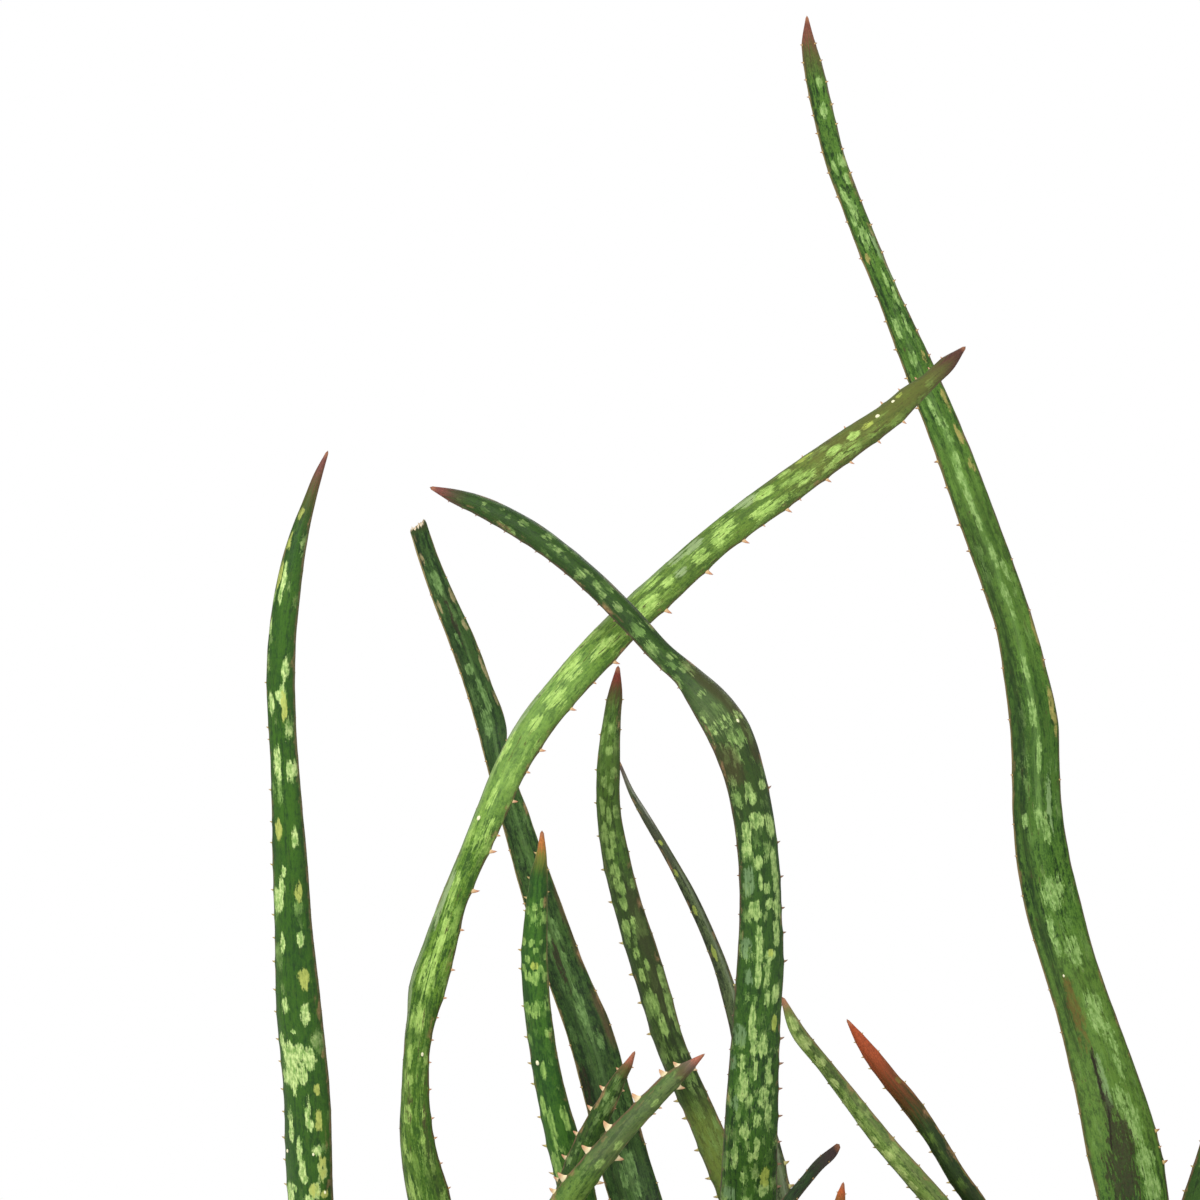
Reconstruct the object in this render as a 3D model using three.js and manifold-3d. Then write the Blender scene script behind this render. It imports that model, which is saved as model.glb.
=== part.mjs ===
// Potted aloe of the spotted "snow queen" kind: three crowns of long, narrow,
// toothed leaves growing from one terracotta pot.  Millimetres, +Z up, origin at
// the centre of the pot's underside.  The viewer stands on the -Y side.
import * as THREE from 'three';
import { mergeVertices } from 'three/addons/utils/BufferGeometryUtils.js';
import Module from 'manifold-3d';

const wasm = await Module();
wasm.setup();

// ---------------------------------------------------------------- dimensions
const POT_HEIGHT = 235;         // floor to the top of the rim
const POT_RIM_RADIUS = 135;     // outside of the collar
const POT_BODY_TOP_RADIUS = 126; // outside, just under the collar
const POT_BASE_RADIUS = 89;     // outside, at the underside
const POT_COLLAR_HEIGHT = 38;
const POT_WALL = 9;
const POT_FLOOR = 12;
const POT_INNER_TOP_RADIUS = 120;
const POT_INNER_BASE_RADIUS = 80;
const DRAIN_RADIUS = 7;         // three drain holes in the floor
const DRAIN_CIRCLE = 46;        // radius of the circle they sit on
const SOIL_LEVEL = 210;         // nominal soil surface
const SOIL_MOUND = 3.5;         // how much the middle stands above the edge
const GAP = 0.3;                // clearance between touching pieces
const LEAF_GAP = 0.5;           // the same between two leaves pressed together
const LEAF_STEP = 15;           // spacing of the sections along a leaf
const STEMS = {
  left: { name: 'stem_left', x: -88, y: -8, radius: 12, top: 34 },
  mid: { name: 'stem_middle', x: -14, y: 18, radius: 13, top: 33 },
  right: { name: 'stem_right', x: 94, y: 0, radius: 14, top: 34 },
};
const STEM_DEPTH = 20;          // how far a stem reaches down into the soil

// --------------------------------------------------------------------- leaves
// rows: spine points from the stem to the tip, [x, y, z, blade width].
// face: direction the upper (channelled) side looks, at fractions of the length.
// channel: how deep the upper side is hollowed, as a fraction of the width.
// The first fifteen are the long ones that stand clear of the pot; the rest are
// short leaves low in the crowns.
const LEAVES = [
  { name: 'leaf_left_upright', plant: 'left', color: '#4f7a35', channel: -0.09,
    face: [[0,[0.94,0.34,0.75]], [0.06,[0.94,0.34,0.75]], [0.25,[0.4,0.95,0.15]], [0.6,[0.3,1,0]], [1,[0.3,1,0.1]]],
    rows: [[-95.52,-10.74,226,25], [-104.09,-14.88,233.09,22.85], [-109.84,-18,241.19,20.71], [-124.07,-23.11,249.16,19.94], [-137.79,-28.98,261.35,19.16], [-146.56,-35.4,276.27,18.39], [-151.52,-41.83,295.11,17.61], [-153.71,-47.79,319.29,17.03], [-153.84,-52.93,334.85,17.29], [-154.03,-57.42,352.9,16.89], [-155.19,-61.4,369.31,16.67], [-156.06,-64.77,381.63,16.3], [-156.69,-67.71,393.89,15.1], [-157.45,-70.73,410.05,13.24], [-158.21,-73.9,430.11,12.38], [-159.05,-76.6,450.03,10.7], [-160.09,-78.24,469.83,9.7], [-160.92,-79.04,489.58,10.03], [-160.42,-79.31,505.36,9.7], [-158.62,-78.88,520.94,8.88], [-155.75,-77.67,536.44,6.91], [-151.43,-76.2,551.59,4.12], [-149.01,-74.98,559.15,2.97], [-146.11,-74,566.52,0.99]] },
  { name: 'leaf_cut_tip', plant: 'mid', color: '#34562f', channel: -0.15, blunt: true,
    face: [[0,[0.42,-0.91,0.75]], [0.06,[0.42,-0.91,0.75]], [0.3,[0.15,-1,0.1]], [0.6,[0.15,-1,0.1]], [1,[0.3,-1,0.2]]],
    rows: [[-17.8,26.16,214,24], [-20.97,33.44,221.41,22.09], [-22.86,38,229.82,20.17], [-29.12,48.98,252.87,19.61], [-35.88,58.58,275.86,19.39], [-42.76,66.19,297.31,19.13], [-45.65,72.58,305.88,18.85], [-53.77,78.69,336.12,17.45], [-60.84,84.17,359.62,16.77], [-67.22,88.82,374.79,15.33], [-77.38,93.06,403.61,13.5], [-87.02,96.61,433.4,11.09], [-96.11,98.95,465.27,10.17], [-96.46,100.22,467.99,10.93], [-101.83,101.04,485.32,10.37], [-108.01,101.84,502.39,10], [-115.12,102.65,519.01,8.69], [-121.62,103.38,535.93,7.56], [-124.8,104,545.97,7.18]] },
  { name: 'leaf_long_arch', plant: 'left', color: '#7fa047', channel: -0.09,
    face: [[0,[0.97,-0.26,0.75]], [0.06,[0.97,-0.26,0.75]], [0.15,[0.35,1,0.1]], [0.3,[0.35,1,0]], [0.45,[0.4,0.95,-0.2]], [0.7,[0.3,1,-0.35]], [1,[0.25,1,-0.3]]],
    rows: [[-95.73,-5.93,226,24], [-98.25,-4.58,234.55,21.42], [-97.87,-4,244.1,18.84], [-104,-8.15,267.58,17.39], [-110.43,-12.28,290.91,15.95], [-116.28,-15.8,316.33,15.39], [-118.01,-18.3,324.8,13.8], [-119.1,-20.38,333.32,12.57], [-119.5,-22.72,350.16,10.14], [-118.52,-25.03,366.97,9.78], [-117.19,-26.76,375.29,10.8], [-115.61,-27.86,383.22,13.19], [-110.9,-28.59,399.11,12.32], [-106.16,-29.09,414.87,10.09], [-99.78,-29.2,430.05,10.26], [-93.32,-28.54,445.13,11.3], [-86.83,-27.08,460.13,11.99], [-78.52,-25.23,474.28,12.87], [-68.38,-23.24,487.15,12.89], [-57.37,-20.86,499.39,13.6], [-45.9,-17.84,511.25,13.12], [-33.62,-13.99,522.47,12.98], [-14.94,-9.15,539.16,11.99], [5.3,-3.75,554.24,12.56], [19.19,1.38,564.26,12.09], [33.21,5.98,574.2,11.08], [47.31,10.06,584.13,9.7], [53.82,13.44,590.09,8.49], [60.69,16.34,595.61,6.38], [67.1,19.15,601.64,6.04], [73.56,22,607.69,1.42]] },
  { name: 'leaf_left_arch', plant: 'mid', color: '#466f35', channel: -0.09,
    face: [[0,[-0.34,0.94,0.75]], [0.06,[-0.34,0.94,0.75]], [0.3,[0.1,1,0.2]], [0.55,[-0.25,1,0.1]], [0.72,[-0.35,0.95,-0.1]], [1,[-0.1,1,-0.45]]],
    rows: [[-10.92,9.54,224,24], [-10.23,2.36,229.84,22.48], [-10.57,-2,236.68,20.97], [-8.26,-15.03,261.99,20.41], [-5.97,-27.14,288.4,19.88], [-5.37,-37.09,321.22,19.04], [-5.14,-44.04,334.47,18.26], [-4.84,-49.03,347.31,17.68], [-4.2,-53.48,364,16.61], [-3.37,-57.56,380.53,16.06], [-2.51,-61.24,396.92,15.84], [-2.58,-64.64,413.23,14.47], [-3.23,-67.74,429.43,14.1], [-5.13,-70.41,445.45,13.9], [-8.58,-72.2,461.17,14.21], [-13.21,-72.73,473.75,15.2], [-17.32,-72.14,480.64,14.38], [-22.09,-70.77,487,12.25], [-27.35,-68.63,492.92,9.28], [-35.25,-65.66,499.92,8.31], [-46.02,-62.04,511.64,8.5], [-57.35,-58.26,522.97,8.36], [-69.57,-54.43,533.53,8.38], [-82.97,-50.23,542.76,8.58], [-97.49,-46,550.26,7.09], [-105.23,-42.59,553.17,5.25], [-112.99,-40,555.99,1.36]] },
  { name: 'leaf_slim_front', plant: 'left', color: '#4a7636', channel: -0.09,
    face: [[0,[-0.94,0.34,0.75]], [0.06,[-0.94,0.34,0.75]], [0.4,[0.3,1,0.1]], [1,[0.25,1,0.1]]],
    rows: [[-80.48,-10.74,230,20], [-74.07,-15.88,238.24,18.27], [-70.47,-20,247.48,16.54], [-62.85,-27.77,271.38,15.07], [-61.45,-34.83,294.89,14.31], [-63.46,-40.27,314.51,13.57], [-64.79,-43.96,322.2,13.19], [-67.81,-46.87,333.45,12.15], [-71.15,-49.7,346.66,10.77], [-73.97,-52.34,360.12,9.74], [-75.78,-54.73,371.82,9.39], [-77.08,-57.18,383.15,9.37], [-77.87,-59.74,399.79,9.02], [-77,-62.03,416.34,7.33], [-76.14,-63.72,427.47,5.66], [-75.45,-64.94,432.88,3.66], [-75.27,-66,440.59,1.33]] },
  { name: 'leaf_mid_upright', plant: 'mid', color: '#5c7a3c', channel: -0.09,
    face: [[0,[-0.91,0.42,0.75]], [0.06,[-0.91,0.42,0.75]], [0.4,[0.2,0.95,0]], [1,[0.25,1,0]]],
    rows: [[-5.84,14.2,230,20], [-2.09,10.46,235.28,17.75], [-1.06,8,241.56,15.49], [0.24,5.5,264.93,14.06], [-2.62,4.34,287.98,12.64], [-7.88,4.54,307.62,11.94], [-15.23,5.45,324.69,11.25], [-21.17,6.57,338.6,10.55], [-26.07,7.69,349.01,10.56], [-31.86,8.88,362.95,10.57], [-36.09,10.3,377.74,11.11], [-41.11,11.96,393.71,11.13], [-46.1,13.78,409.79,10.26], [-50.22,15.59,426.16,9.92], [-52.86,17.18,442.93,8.69], [-52.92,18.36,459.95,8.34], [-51.58,19.12,476.92,6.22], [-50.49,19.62,485.36,4.97], [-49.6,20,493.83,1.42]] },
  { name: 'leaf_mid_thin', plant: 'mid', color: '#4d5a48', channel: -0.05,
    face: [[0,[-0.71,-0.71,0.75]], [0.06,[-0.71,-0.71,0.75]], [0.4,[-0.55,-0.85,0.3]], [1,[-0.65,-0.8,0.3]]],
    rows: [[-7.64,24.36,218,21], [-1.22,28.24,226.06,18.02], [3.08,30,235.12,15.04], [8.67,34.43,255.73,12.93], [11.06,39.13,276.44,11.54], [9.49,43.99,295.47,10.49], [7.19,48.98,310.98,9.81], [3.07,54.31,328.4,8.75], [-2.55,59.91,349.58,7.69], [-7.86,65.06,370.99,6.62], [-12.06,69.16,384.35,5.71], [-15.2,72.52,392.29,5.36], [-22.49,75.66,408.17,5], [-30.9,78.44,423.63,3.9], [-39.88,80.63,438.78,3.35], [-44.3,82.38,446.47,2.42], [-48.92,84,457.64,1.12]] },
  { name: 'leaf_right_low', plant: 'right', color: '#5f8243', channel: -0.09,
    face: [[0,[0.09,1,0.75]], [0.06,[0.09,1,0.75]], [0.4,[0.35,0.75,0.55]], [1,[0.4,0.75,0.6]]],
    rows: [[93.13,-9.96,230,21], [94.26,-10.48,232.62,18.15], [95.66,-8,236.24,15.31], [91.26,-9.99,252.31,13.89], [82.67,-12.36,273.6,12.48], [71.31,-15.01,293.82,11.07], [59.34,-17.38,311.15,10.01], [52.81,-19.26,318.8,9.65], [41.76,-20.96,331.54,8.95], [31.53,-22.64,344.84,7.74], [21.35,-24.09,358.05,6.53], [11.2,-25.17,371.31,5.83], [6.77,-26,381.14,1.71]] },
  { name: 'leaf_red_tip', plant: 'right', color: '#47703a', channel: -0.09,
    face: [[0,[-0.17,0.98,0.75]], [0.06,[-0.17,0.98,0.75]], [0.4,[0.3,1,0.25]], [1,[0.35,1,0.35]]],
    rows: [[95.74,-9.85,216,20], [96.05,-18.4,228.23,17.21], [95.84,-24,241.45,14.43], [92.29,-30.87,258.32,12.98], [86.67,-38.3,278.52,10.87], [79.06,-45.86,298.53,8.78], [69.62,-52.45,316.47,7.39], [63.7,-57.84,324.95,6.86], [54.94,-62.77,339.36,6.5], [45.26,-67.18,352.99,7.14], [39.87,-70.53,359.53,6.45], [34.84,-73.13,366.16,5.95], [30.04,-75.56,372.88,4.12], [25.59,-78,379.49,0.99]] },
  { name: 'leaf_dark_blunt', plant: 'mid', color: '#4b4a4c', channel: -0.06,
    face: [[0,[-1,-0,0.75]], [0.06,[-1,-0,0.75]], [0.4,[-0.3,-0.6,0.6]], [1,[-0.4,-0.7,0.6]]],
    rows: [[-12,18,240,14], [-7.95,14.92,253.47,11.59], [-6.91,11.84,267.94,9.18], [-1.1,7.1,287.15,7.39], [6.77,2.51,302.69,5.96], [15.98,-1.22,315.19,4.9], [20.33,-3.65,320.92,4.89], [25.58,-5.07,325.9,3.83], [26.92,-6,327.78,2.44]] },
  { name: 'leaf_orange_tip', plant: 'mid', color: '#8a6a3a', channel: -0.04,
    face: [[0,[-0.71,0.71,0.75]], [0.06,[-0.71,0.71,0.75]], [0.4,[-0.2,1,0.2]], [1,[-0.1,1,0.1]]],
    rows: [[-7.64,11.64,216,19], [1.12,1.76,228.02,15.77], [7.75,-6,241.03,12.54], [16.97,-21.51,263.28,9.98], [22.03,-34.32,284.58,8.18], [23.84,-43.38,303.17,6.09], [24.84,-48.85,315.55,3.71], [25.65,-52,321.78,1.01]] },
  { name: 'leaf_tallest', plant: 'right', color: '#577f3c', channel: -0.17,
    face: [[0,[-0.82,-0.57,0.75]], [0.06,[-0.82,-0.57,0.75]], [0.3,[-0.35,-1,0.1]], [0.6,[-0.3,-1,0.1]], [1,[-0.35,-1,0.15]]],
    rows: [[102.19,5.74,226,30], [107.6,14.67,233.77,27.81], [110.56,21.89,242.54,25.62], [123.5,28.1,254.83,26.82], [132.58,34.19,267.99,28.02], [137.4,40.22,282.74,28.51], [136.72,46.05,303.61,27.9], [133.87,51.35,319.75,28.01], [130.37,56.15,336.06,25.38], [126.07,60.58,352.34,22.89], [121.4,64.24,368.74,20.75], [116.28,66.7,385.25,20.24], [111.63,68.26,402.15,20.81], [107.88,69.54,419.4,20.1], [105.63,70.81,436.96,18.82], [104.98,72.02,454.64,17.92], [104.37,72.88,472.31,18.11], [101.36,73.05,489.76,16.45], [97.58,72.5,507.13,14.41], [92.02,71.51,524.02,14.03], [82.84,70.26,548.95,13.83], [73.59,68.75,573.75,12.9], [63.53,66.94,598.27,11.41], [56.43,64.86,614.39,9.92], [49.48,62.67,630.43,8.25], [42.57,60.38,646.5,8.06], [36,57.79,662.6,7.68], [29.73,54.71,678.74,7.66], [25.19,51.37,695.29,7.64], [21.29,48.34,711.95,6.9], [19.5,45.95,720.17,4.89], [18.9,44,728.59,1.09]] },
  { name: 'leaf_right_edge', plant: 'right', color: '#567c3b', channel: -0.1,
    face: [[0,[-0.97,0.26,0.75]], [0.06,[-0.97,0.26,0.75]], [0.4,[-0.3,1,0.2]], [1,[-0.3,1,0.2]]],
    rows: [[103.66,-2.59,220,24], [108.35,-6.17,229.81,21.38], [110.15,-8.97,240.63,18.77], [125.42,-11.61,254.38,18.04], [137.77,-14.79,274.06,17.3], [146.54,-18.43,295.45,16.56], [151.44,-22.23,311.59,15.82], [156.95,-26.29,332.14,14.75], [163.71,-30.82,355.69,12.98], [171.43,-35.41,383.52,10.21], [178.21,-39.22,412.09,6.79], [181.1,-41.94,426.55,4.06], [183.41,-44,439.55,1.01]] },
  { name: 'leaf_small_behind', plant: 'left', color: '#3f6634', channel: -0.03,
    face: [[0,[-0.5,0.87,0.75]], [0.06,[-0.5,0.87,0.75]], [0.4,[0.1,1,0.1]], [1,[0,1,0.2]]],
    rows: [[-84,-14.93,234,18], [-82,-18.76,238.52,16.06], [-81.5,-20,244.03,14.13], [-78.6,-28.1,262.89,13.01], [-75.4,-36.14,283.21,11.91], [-70.88,-43.94,301.57,11.16], [-66.09,-51.13,317.94,10.42], [-62.36,-57.22,330.63,9.37], [-58,-61.98,342.01,7.67], [-53.67,-65.64,350.84,6.31], [-49.7,-68.44,359.18,4.64], [-46.4,-70.47,364.73,2.65], [-44.76,-72,368.23,0.99]] },
  { name: 'leaf_small_front', plant: 'left', color: '#6d8f45', channel: -0.03,
    face: [[0,[-0.09,1,0.75]], [0.06,[-0.09,1,0.75]], [0.4,[-0.1,1,0.3]], [1,[-0.15,0.9,0.5]]],
    rows: [[-87.3,-15.97,220,19], [-85.52,-25.48,232.8,16.33], [-83.99,-32,246.6,13.66], [-82.75,-42.12,267.39,12.87], [-79.52,-52.1,287.86,12.1], [-73.67,-61.41,306.25,11.34], [-65.94,-69.35,320.53,10.27], [-59.96,-75.78,329.47,9.56], [-54.03,-81.37,337.55,8.86], [-46.85,-86.78,346.52,8.17], [-40.39,-91.99,354.08,7.48], [-33.48,-96.57,361.83,6.8], [-28.22,-100.04,366.8,4.85], [-25.37,-102.33,369.35,2.9], [-22.83,-104,371.49,0.97]] },
  { name: 'leaf_left_back', plant: 'left', color: '#55793b', channel: -0.09,
    face: [[0,[0.71,-0.71,0.75]], [0.4,[0.87,-0.5,1]], [1,[0.87,-0.5,1]]],
    rows: [[-93.66,-2.34,218,18.62], [-99.94,2.69,227.85,18.2], [-108.36,8.78,237.8,17.41], [-118.7,15.46,247.76,16.07], [-130.67,22.34,257.65,14], [-143.94,29.08,267.38,11.04], [-158.14,35.39,276.86,6.87], [-172.87,41,286,1]] },
  { name: 'leaf_left_back_short', plant: 'left', color: '#55793b', channel: -0.09,
    face: [[0,[-0.5,-0.87,0.75]], [0.4,[-0.47,-0.88,1]], [1,[-0.47,-0.88,1]]],
    rows: [[-84,-1.07,222,17.64], [-81.08,4.19,230.54,17.24], [-77.46,10.8,239.08,16.5], [-73.26,18.61,247.45,15.22], [-68.55,27.49,255.49,13.26], [-63.44,37.29,263.04,10.45], [-58,47.88,269.93,6.51], [-52.32,59.1,276,1]] },
  { name: 'leaf_left_front_low', plant: 'left', color: '#55793b', channel: -0.09,
    face: [[0,[0.57,0.82,0.75]], [0.4,[0.37,0.93,1]], [1,[0.37,0.93,1]]],
    rows: [[-92.59,-14.55,214,18.62], [-96.91,-22.11,226.32,18.2], [-102.05,-32.11,237.44,17.41], [-107.59,-44.23,246.88,16.07], [-113.2,-58.12,254.15,14], [-118.58,-73.38,258.75,11.04], [-123.48,-89.58,260.2,6.87], [-127.71,-106.28,258,1]] },
  { name: 'leaf_left_heart', plant: 'left', color: '#55793b', channel: -0.09,
    face: [[0,[-0.94,-0.34,0.75]], [0.4,[-0.77,-0.64,1]], [1,[-0.77,-0.64,1]]],
    rows: [[-86.12,-7.32,240,11.76], [-85.85,-7.03,247.14,11.5], [-85.27,-6.59,254.29,11], [-84.49,-5.96,261.43,10.15], [-83.57,-5.15,268.57,8.84], [-82.56,-4.15,275.71,6.97], [-81.47,-2.96,282.86,4.34], [-80.34,-1.57,290,1]] },
  { name: 'leaf_mid_back_left', plant: 'mid', color: '#55793b', channel: -0.09,
    face: [[0,[1,-0.09,0.75]], [0.4,[0.95,-0.31,1]], [1,[0.95,-0.31,1]]],
    rows: [[-22.97,18.78,220,17.64], [-29.51,20.11,228.03,17.24], [-37.63,22.07,236.07,16.5], [-47.08,24.79,244.01,15.22], [-57.65,28.33,251.7,13.26], [-69.12,32.7,259.01,10.45], [-81.27,37.92,265.83,6.51], [-93.89,43.96,272,1]] },
  { name: 'leaf_mid_back', plant: 'mid', color: '#55793b', channel: -0.09,
    face: [[0,[-0.09,-1,0.75]], [0.4,[0.03,-1,1]], [1,[0.03,-1,1]]],
    rows: [[-13.22,26.97,222,18.62], [-12.89,36.1,229.76,18.2], [-12.72,48.17,237.5,17.41], [-12.88,62.44,245.05,16.07], [-13.45,78.12,252.24,14], [-14.46,94.44,258.91,11.04], [-15.92,110.63,264.89,6.87], [-17.77,125.93,270,1]] },
  { name: 'leaf_mid_front', plant: 'mid', color: '#55793b', channel: -0.09,
    face: [[0,[0.42,0.91,0.75]], [0.4,[0.62,0.79,1]], [1,[0.62,0.79,1]]],
    rows: [[-17.8,9.84,216,17.64], [-21.21,4.29,224.3,17.24], [-25.72,-2.5,232.69,16.5], [-31.38,-10.25,241.12,15.22], [-38.14,-18.74,249.53,13.26], [-45.97,-27.77,257.85,10.45], [-54.78,-37.13,266.03,6.51], [-64.48,-46.62,274,1]] },
  { name: 'leaf_mid_right_low', plant: 'mid', color: '#55793b', channel: -0.09,
    face: [[0,[-1,-0.09,0.75]], [0.4,[-1,0.03,1]], [1,[-1,0.03,1]]],
    rows: [[-5.03,18.78,214,15.68], [0.37,18.88,219.7,15.33], [7.28,18.9,225.48,14.66], [15.34,18.74,231.28,13.53], [24.2,18.35,237.07,11.79], [33.49,17.71,242.82,9.29], [42.87,16.82,248.47,5.78], [51.96,15.7,254,1]] },
  { name: 'leaf_right_back', plant: 'right', color: '#55793b', channel: -0.09,
    face: [[0,[0.34,-0.94,0.75]], [0.4,[0.47,-0.88,1]], [1,[0.47,-0.88,1]]],
    rows: [[90.58,9.4,218,19.6], [87.4,16.59,226.81,19.16], [83.1,25.75,235.7,18.33], [77.76,36.38,244.56,16.91], [71.49,48.04,253.32,14.74], [64.46,60.27,261.87,11.62], [56.87,72.65,270.13,7.23], [48.93,84.76,278,1]] },
  { name: 'leaf_right_front', plant: 'right', color: '#55793b', channel: -0.09,
    face: [[0,[-0.64,0.77,0.75]], [0.4,[-0.62,0.79,1]], [1,[-0.62,0.79,1]]],
    rows: [[100.43,-7.66,214,18.62], [105.62,-14.06,223.6,18.2], [112.08,-22.12,233.37,17.41], [119.64,-31.68,243.28,16.07], [128.16,-42.61,253.31,14], [137.49,-54.73,263.46,11.04], [147.49,-67.9,273.69,6.87], [158.03,-81.95,284,1]] },
  { name: 'leaf_right_side', plant: 'right', color: '#55793b', channel: -0.09,
    face: [[0,[-1,-0.09,0.75]], [0.4,[-0.97,-0.24,1]], [1,[-0.97,-0.24,1]]],
    rows: [[103.96,0.87,218,20.58], [115.87,2.64,238.23,20.12], [130.07,5.26,255.73,19.25], [146.97,8.93,271.51,17.76], [166.96,13.85,286.61,15.47], [190.42,20.28,302.03,12.2], [217.73,28.47,318.83,7.59], [249.25,38.71,338,1]] },
  { name: 'leaf_right_heart', plant: 'right', color: '#55793b', channel: -0.09,
    face: [[0,[0.98,0.17,0.75]], [0.4,[0.98,-0.17,1]], [1,[0.98,-0.17,1]]],
    rows: [[92.03,-0.35,240,12.74], [91.57,-0.25,246.86,12.45], [90.66,-0.16,253.71,11.91], [89.42,0.01,260.57,10.99], [87.92,0.3,267.43,9.58], [86.2,0.72,274.29,7.55], [84.27,1.31,281.14,4.7], [82.18,2.08,288,1]] },
  { name: 'leaf_mid_left_low', plant: 'mid', color: '#55793b', channel: -0.09,
    face: [[0,[0.94,0.34,0.75]], [0.4,[0.98,0.17,1]], [1,[0.98,0.17,1]]],
    rows: [[-22.46,14.92,213,15.68], [-27.7,13.58,218.45,15.33], [-34.44,12.01,223.97,14.66], [-42.36,10.44,229.56,13.53], [-51.13,9.01,235.18,11.79], [-60.39,7.83,240.8,9.29], [-69.8,6.99,246.42,5.78], [-79,6.54,252,1]] },
  { name: 'leaf_right_back_short', plant: 'right', color: '#55793b', channel: -0.09,
    face: [[0,[-0.37,-0.93,0.75]], [0.4,[-0.47,-0.88,1]], [1,[-0.47,-0.88,1]]],
    rows: [[97.75,9.27,224,17.64], [100.26,14.57,232.79,17.24], [103.49,21.11,241.56,16.5], [107.4,28.68,250.09,15.22], [111.96,37.09,258.2,13.26], [117.08,46.12,265.69,10.45], [122.7,55.6,272.35,6.51], [128.74,65.34,278,1]] },
  { name: 'leaf_right_front_low', plant: 'right', color: '#55793b', channel: -0.09,
    face: [[0,[0.62,0.79,0.75]], [0.4,[0.74,0.67,1]], [1,[0.74,0.67,1]]],
    rows: [[87.84,-7.88,214,16.66], [83.24,-12.78,219.44,16.29], [77.18,-18.9,224.95,15.58], [69.84,-25.84,230.48,14.37], [61.47,-33.23,235.99,12.53], [52.35,-40.73,241.44,9.87], [42.77,-48.04,246.79,6.15], [33.06,-54.87,252,1]] },
  { name: 'leaf_right_inner', plant: 'right', color: '#55793b', channel: -0.09,
    face: [[0,[0.94,-0.34,0.75]], [0.4,[0.97,-0.24,1]], [1,[0.97,-0.24,1]]],
    rows: [[84.6,3.42,222,16.66], [79.29,4.99,229.5,16.29], [72.65,6.85,236.97,15.58], [64.88,8.88,244.25,14.37], [56.14,10.97,251.16,12.53], [46.64,13.06,257.53,9.87], [36.55,15.07,263.2,6.15], [26.08,16.93,268,1]] },
];

// -------------------------------------------------------------------- helpers
function toManifold(geometry) {
  const g = geometry.index ? geometry.clone() : geometry.clone();
  for (const n of Object.keys(g.attributes)) if (n !== 'position') g.deleteAttribute(n);
  const m = mergeVertices(g, 1e-4);
  return new wasm.Manifold(new wasm.Mesh({
    numProp: 3,
    vertProperties: new Float32Array(m.attributes.position.array),
    triVerts: new Uint32Array(m.index.array),
  }));
}

function toGeometry(solid) {
  const m = solid.getMesh();
  const g = new THREE.BufferGeometry();
  const pos = new Float32Array(m.numVert * 3);
  for (let i = 0; i < m.numVert; i++) {
    for (let k = 0; k < 3; k++) pos[3 * i + k] = m.vertProperties[i * m.numProp + k];
  }
  g.setAttribute('position', new THREE.BufferAttribute(pos, 3));
  g.setIndex(Array.from(m.triVerts));
  g.computeVertexNormals();
  return g;
}

// keeps the biggest of the separate bodies that a cut may leave
function mainBody(solid) {
  const parts = solid.decompose();
  return parts.reduce((a, b) => (b.volume() > a.volume() ? b : a));
}

// a smooth curve through rows of numbers: cubic Hermite over chord length
function curveThrough(rows) {
  const n = rows.length;
  const knots = [0];
  for (let i = 1; i < n; i++) {
    const d = Math.hypot(rows[i][0] - rows[i - 1][0], rows[i][1] - rows[i - 1][1], rows[i][2] - rows[i - 1][2]);
    knots.push(knots[i - 1] + d);
  }
  const slope = (i) => rows[i].map((v, k) => (rows[i + 1][k] - v) / (knots[i + 1] - knots[i]));
  const tangents = rows.map((row, i) => {
    if (i === 0) return slope(0);
    if (i === n - 1) return slope(n - 2);
    const a = knots[i] - knots[i - 1], b = knots[i + 1] - knots[i];
    const p = slope(i - 1), q = slope(i);
    return row.map((_, k) => (b * p[k] + a * q[k]) / (a + b));
  });
  return (t) => {
    const s = t * knots[n - 1];
    let i = 0;
    while (i < n - 2 && s > knots[i + 1]) i++;
    const h = knots[i + 1] - knots[i], u = (s - knots[i]) / h;
    const h00 = (1 + 2 * u) * (1 - u) * (1 - u), h10 = u * (1 - u) * (1 - u);
    const h01 = u * u * (3 - 2 * u), h11 = u * u * (u - 1);
    return rows[i].map((v, k) => h00 * v + h10 * h * tangents[i][k] + h01 * rows[i + 1][k] + h11 * h * tangents[i + 1][k]);
  };
}

function mix(table, f) {
  let i = 0;
  while (i < table.length - 2 && f > table[i + 1][0]) i++;
  const [f0, a] = table[i], [f1, b] = table[i + 1];
  const u = Math.min(1, Math.max(0, (f - f0) / (f1 - f0)));
  return Array.isArray(a) ? a.map((v, k) => v + (b[k] - v) * u) : a + (b - a) * u;
}

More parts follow.
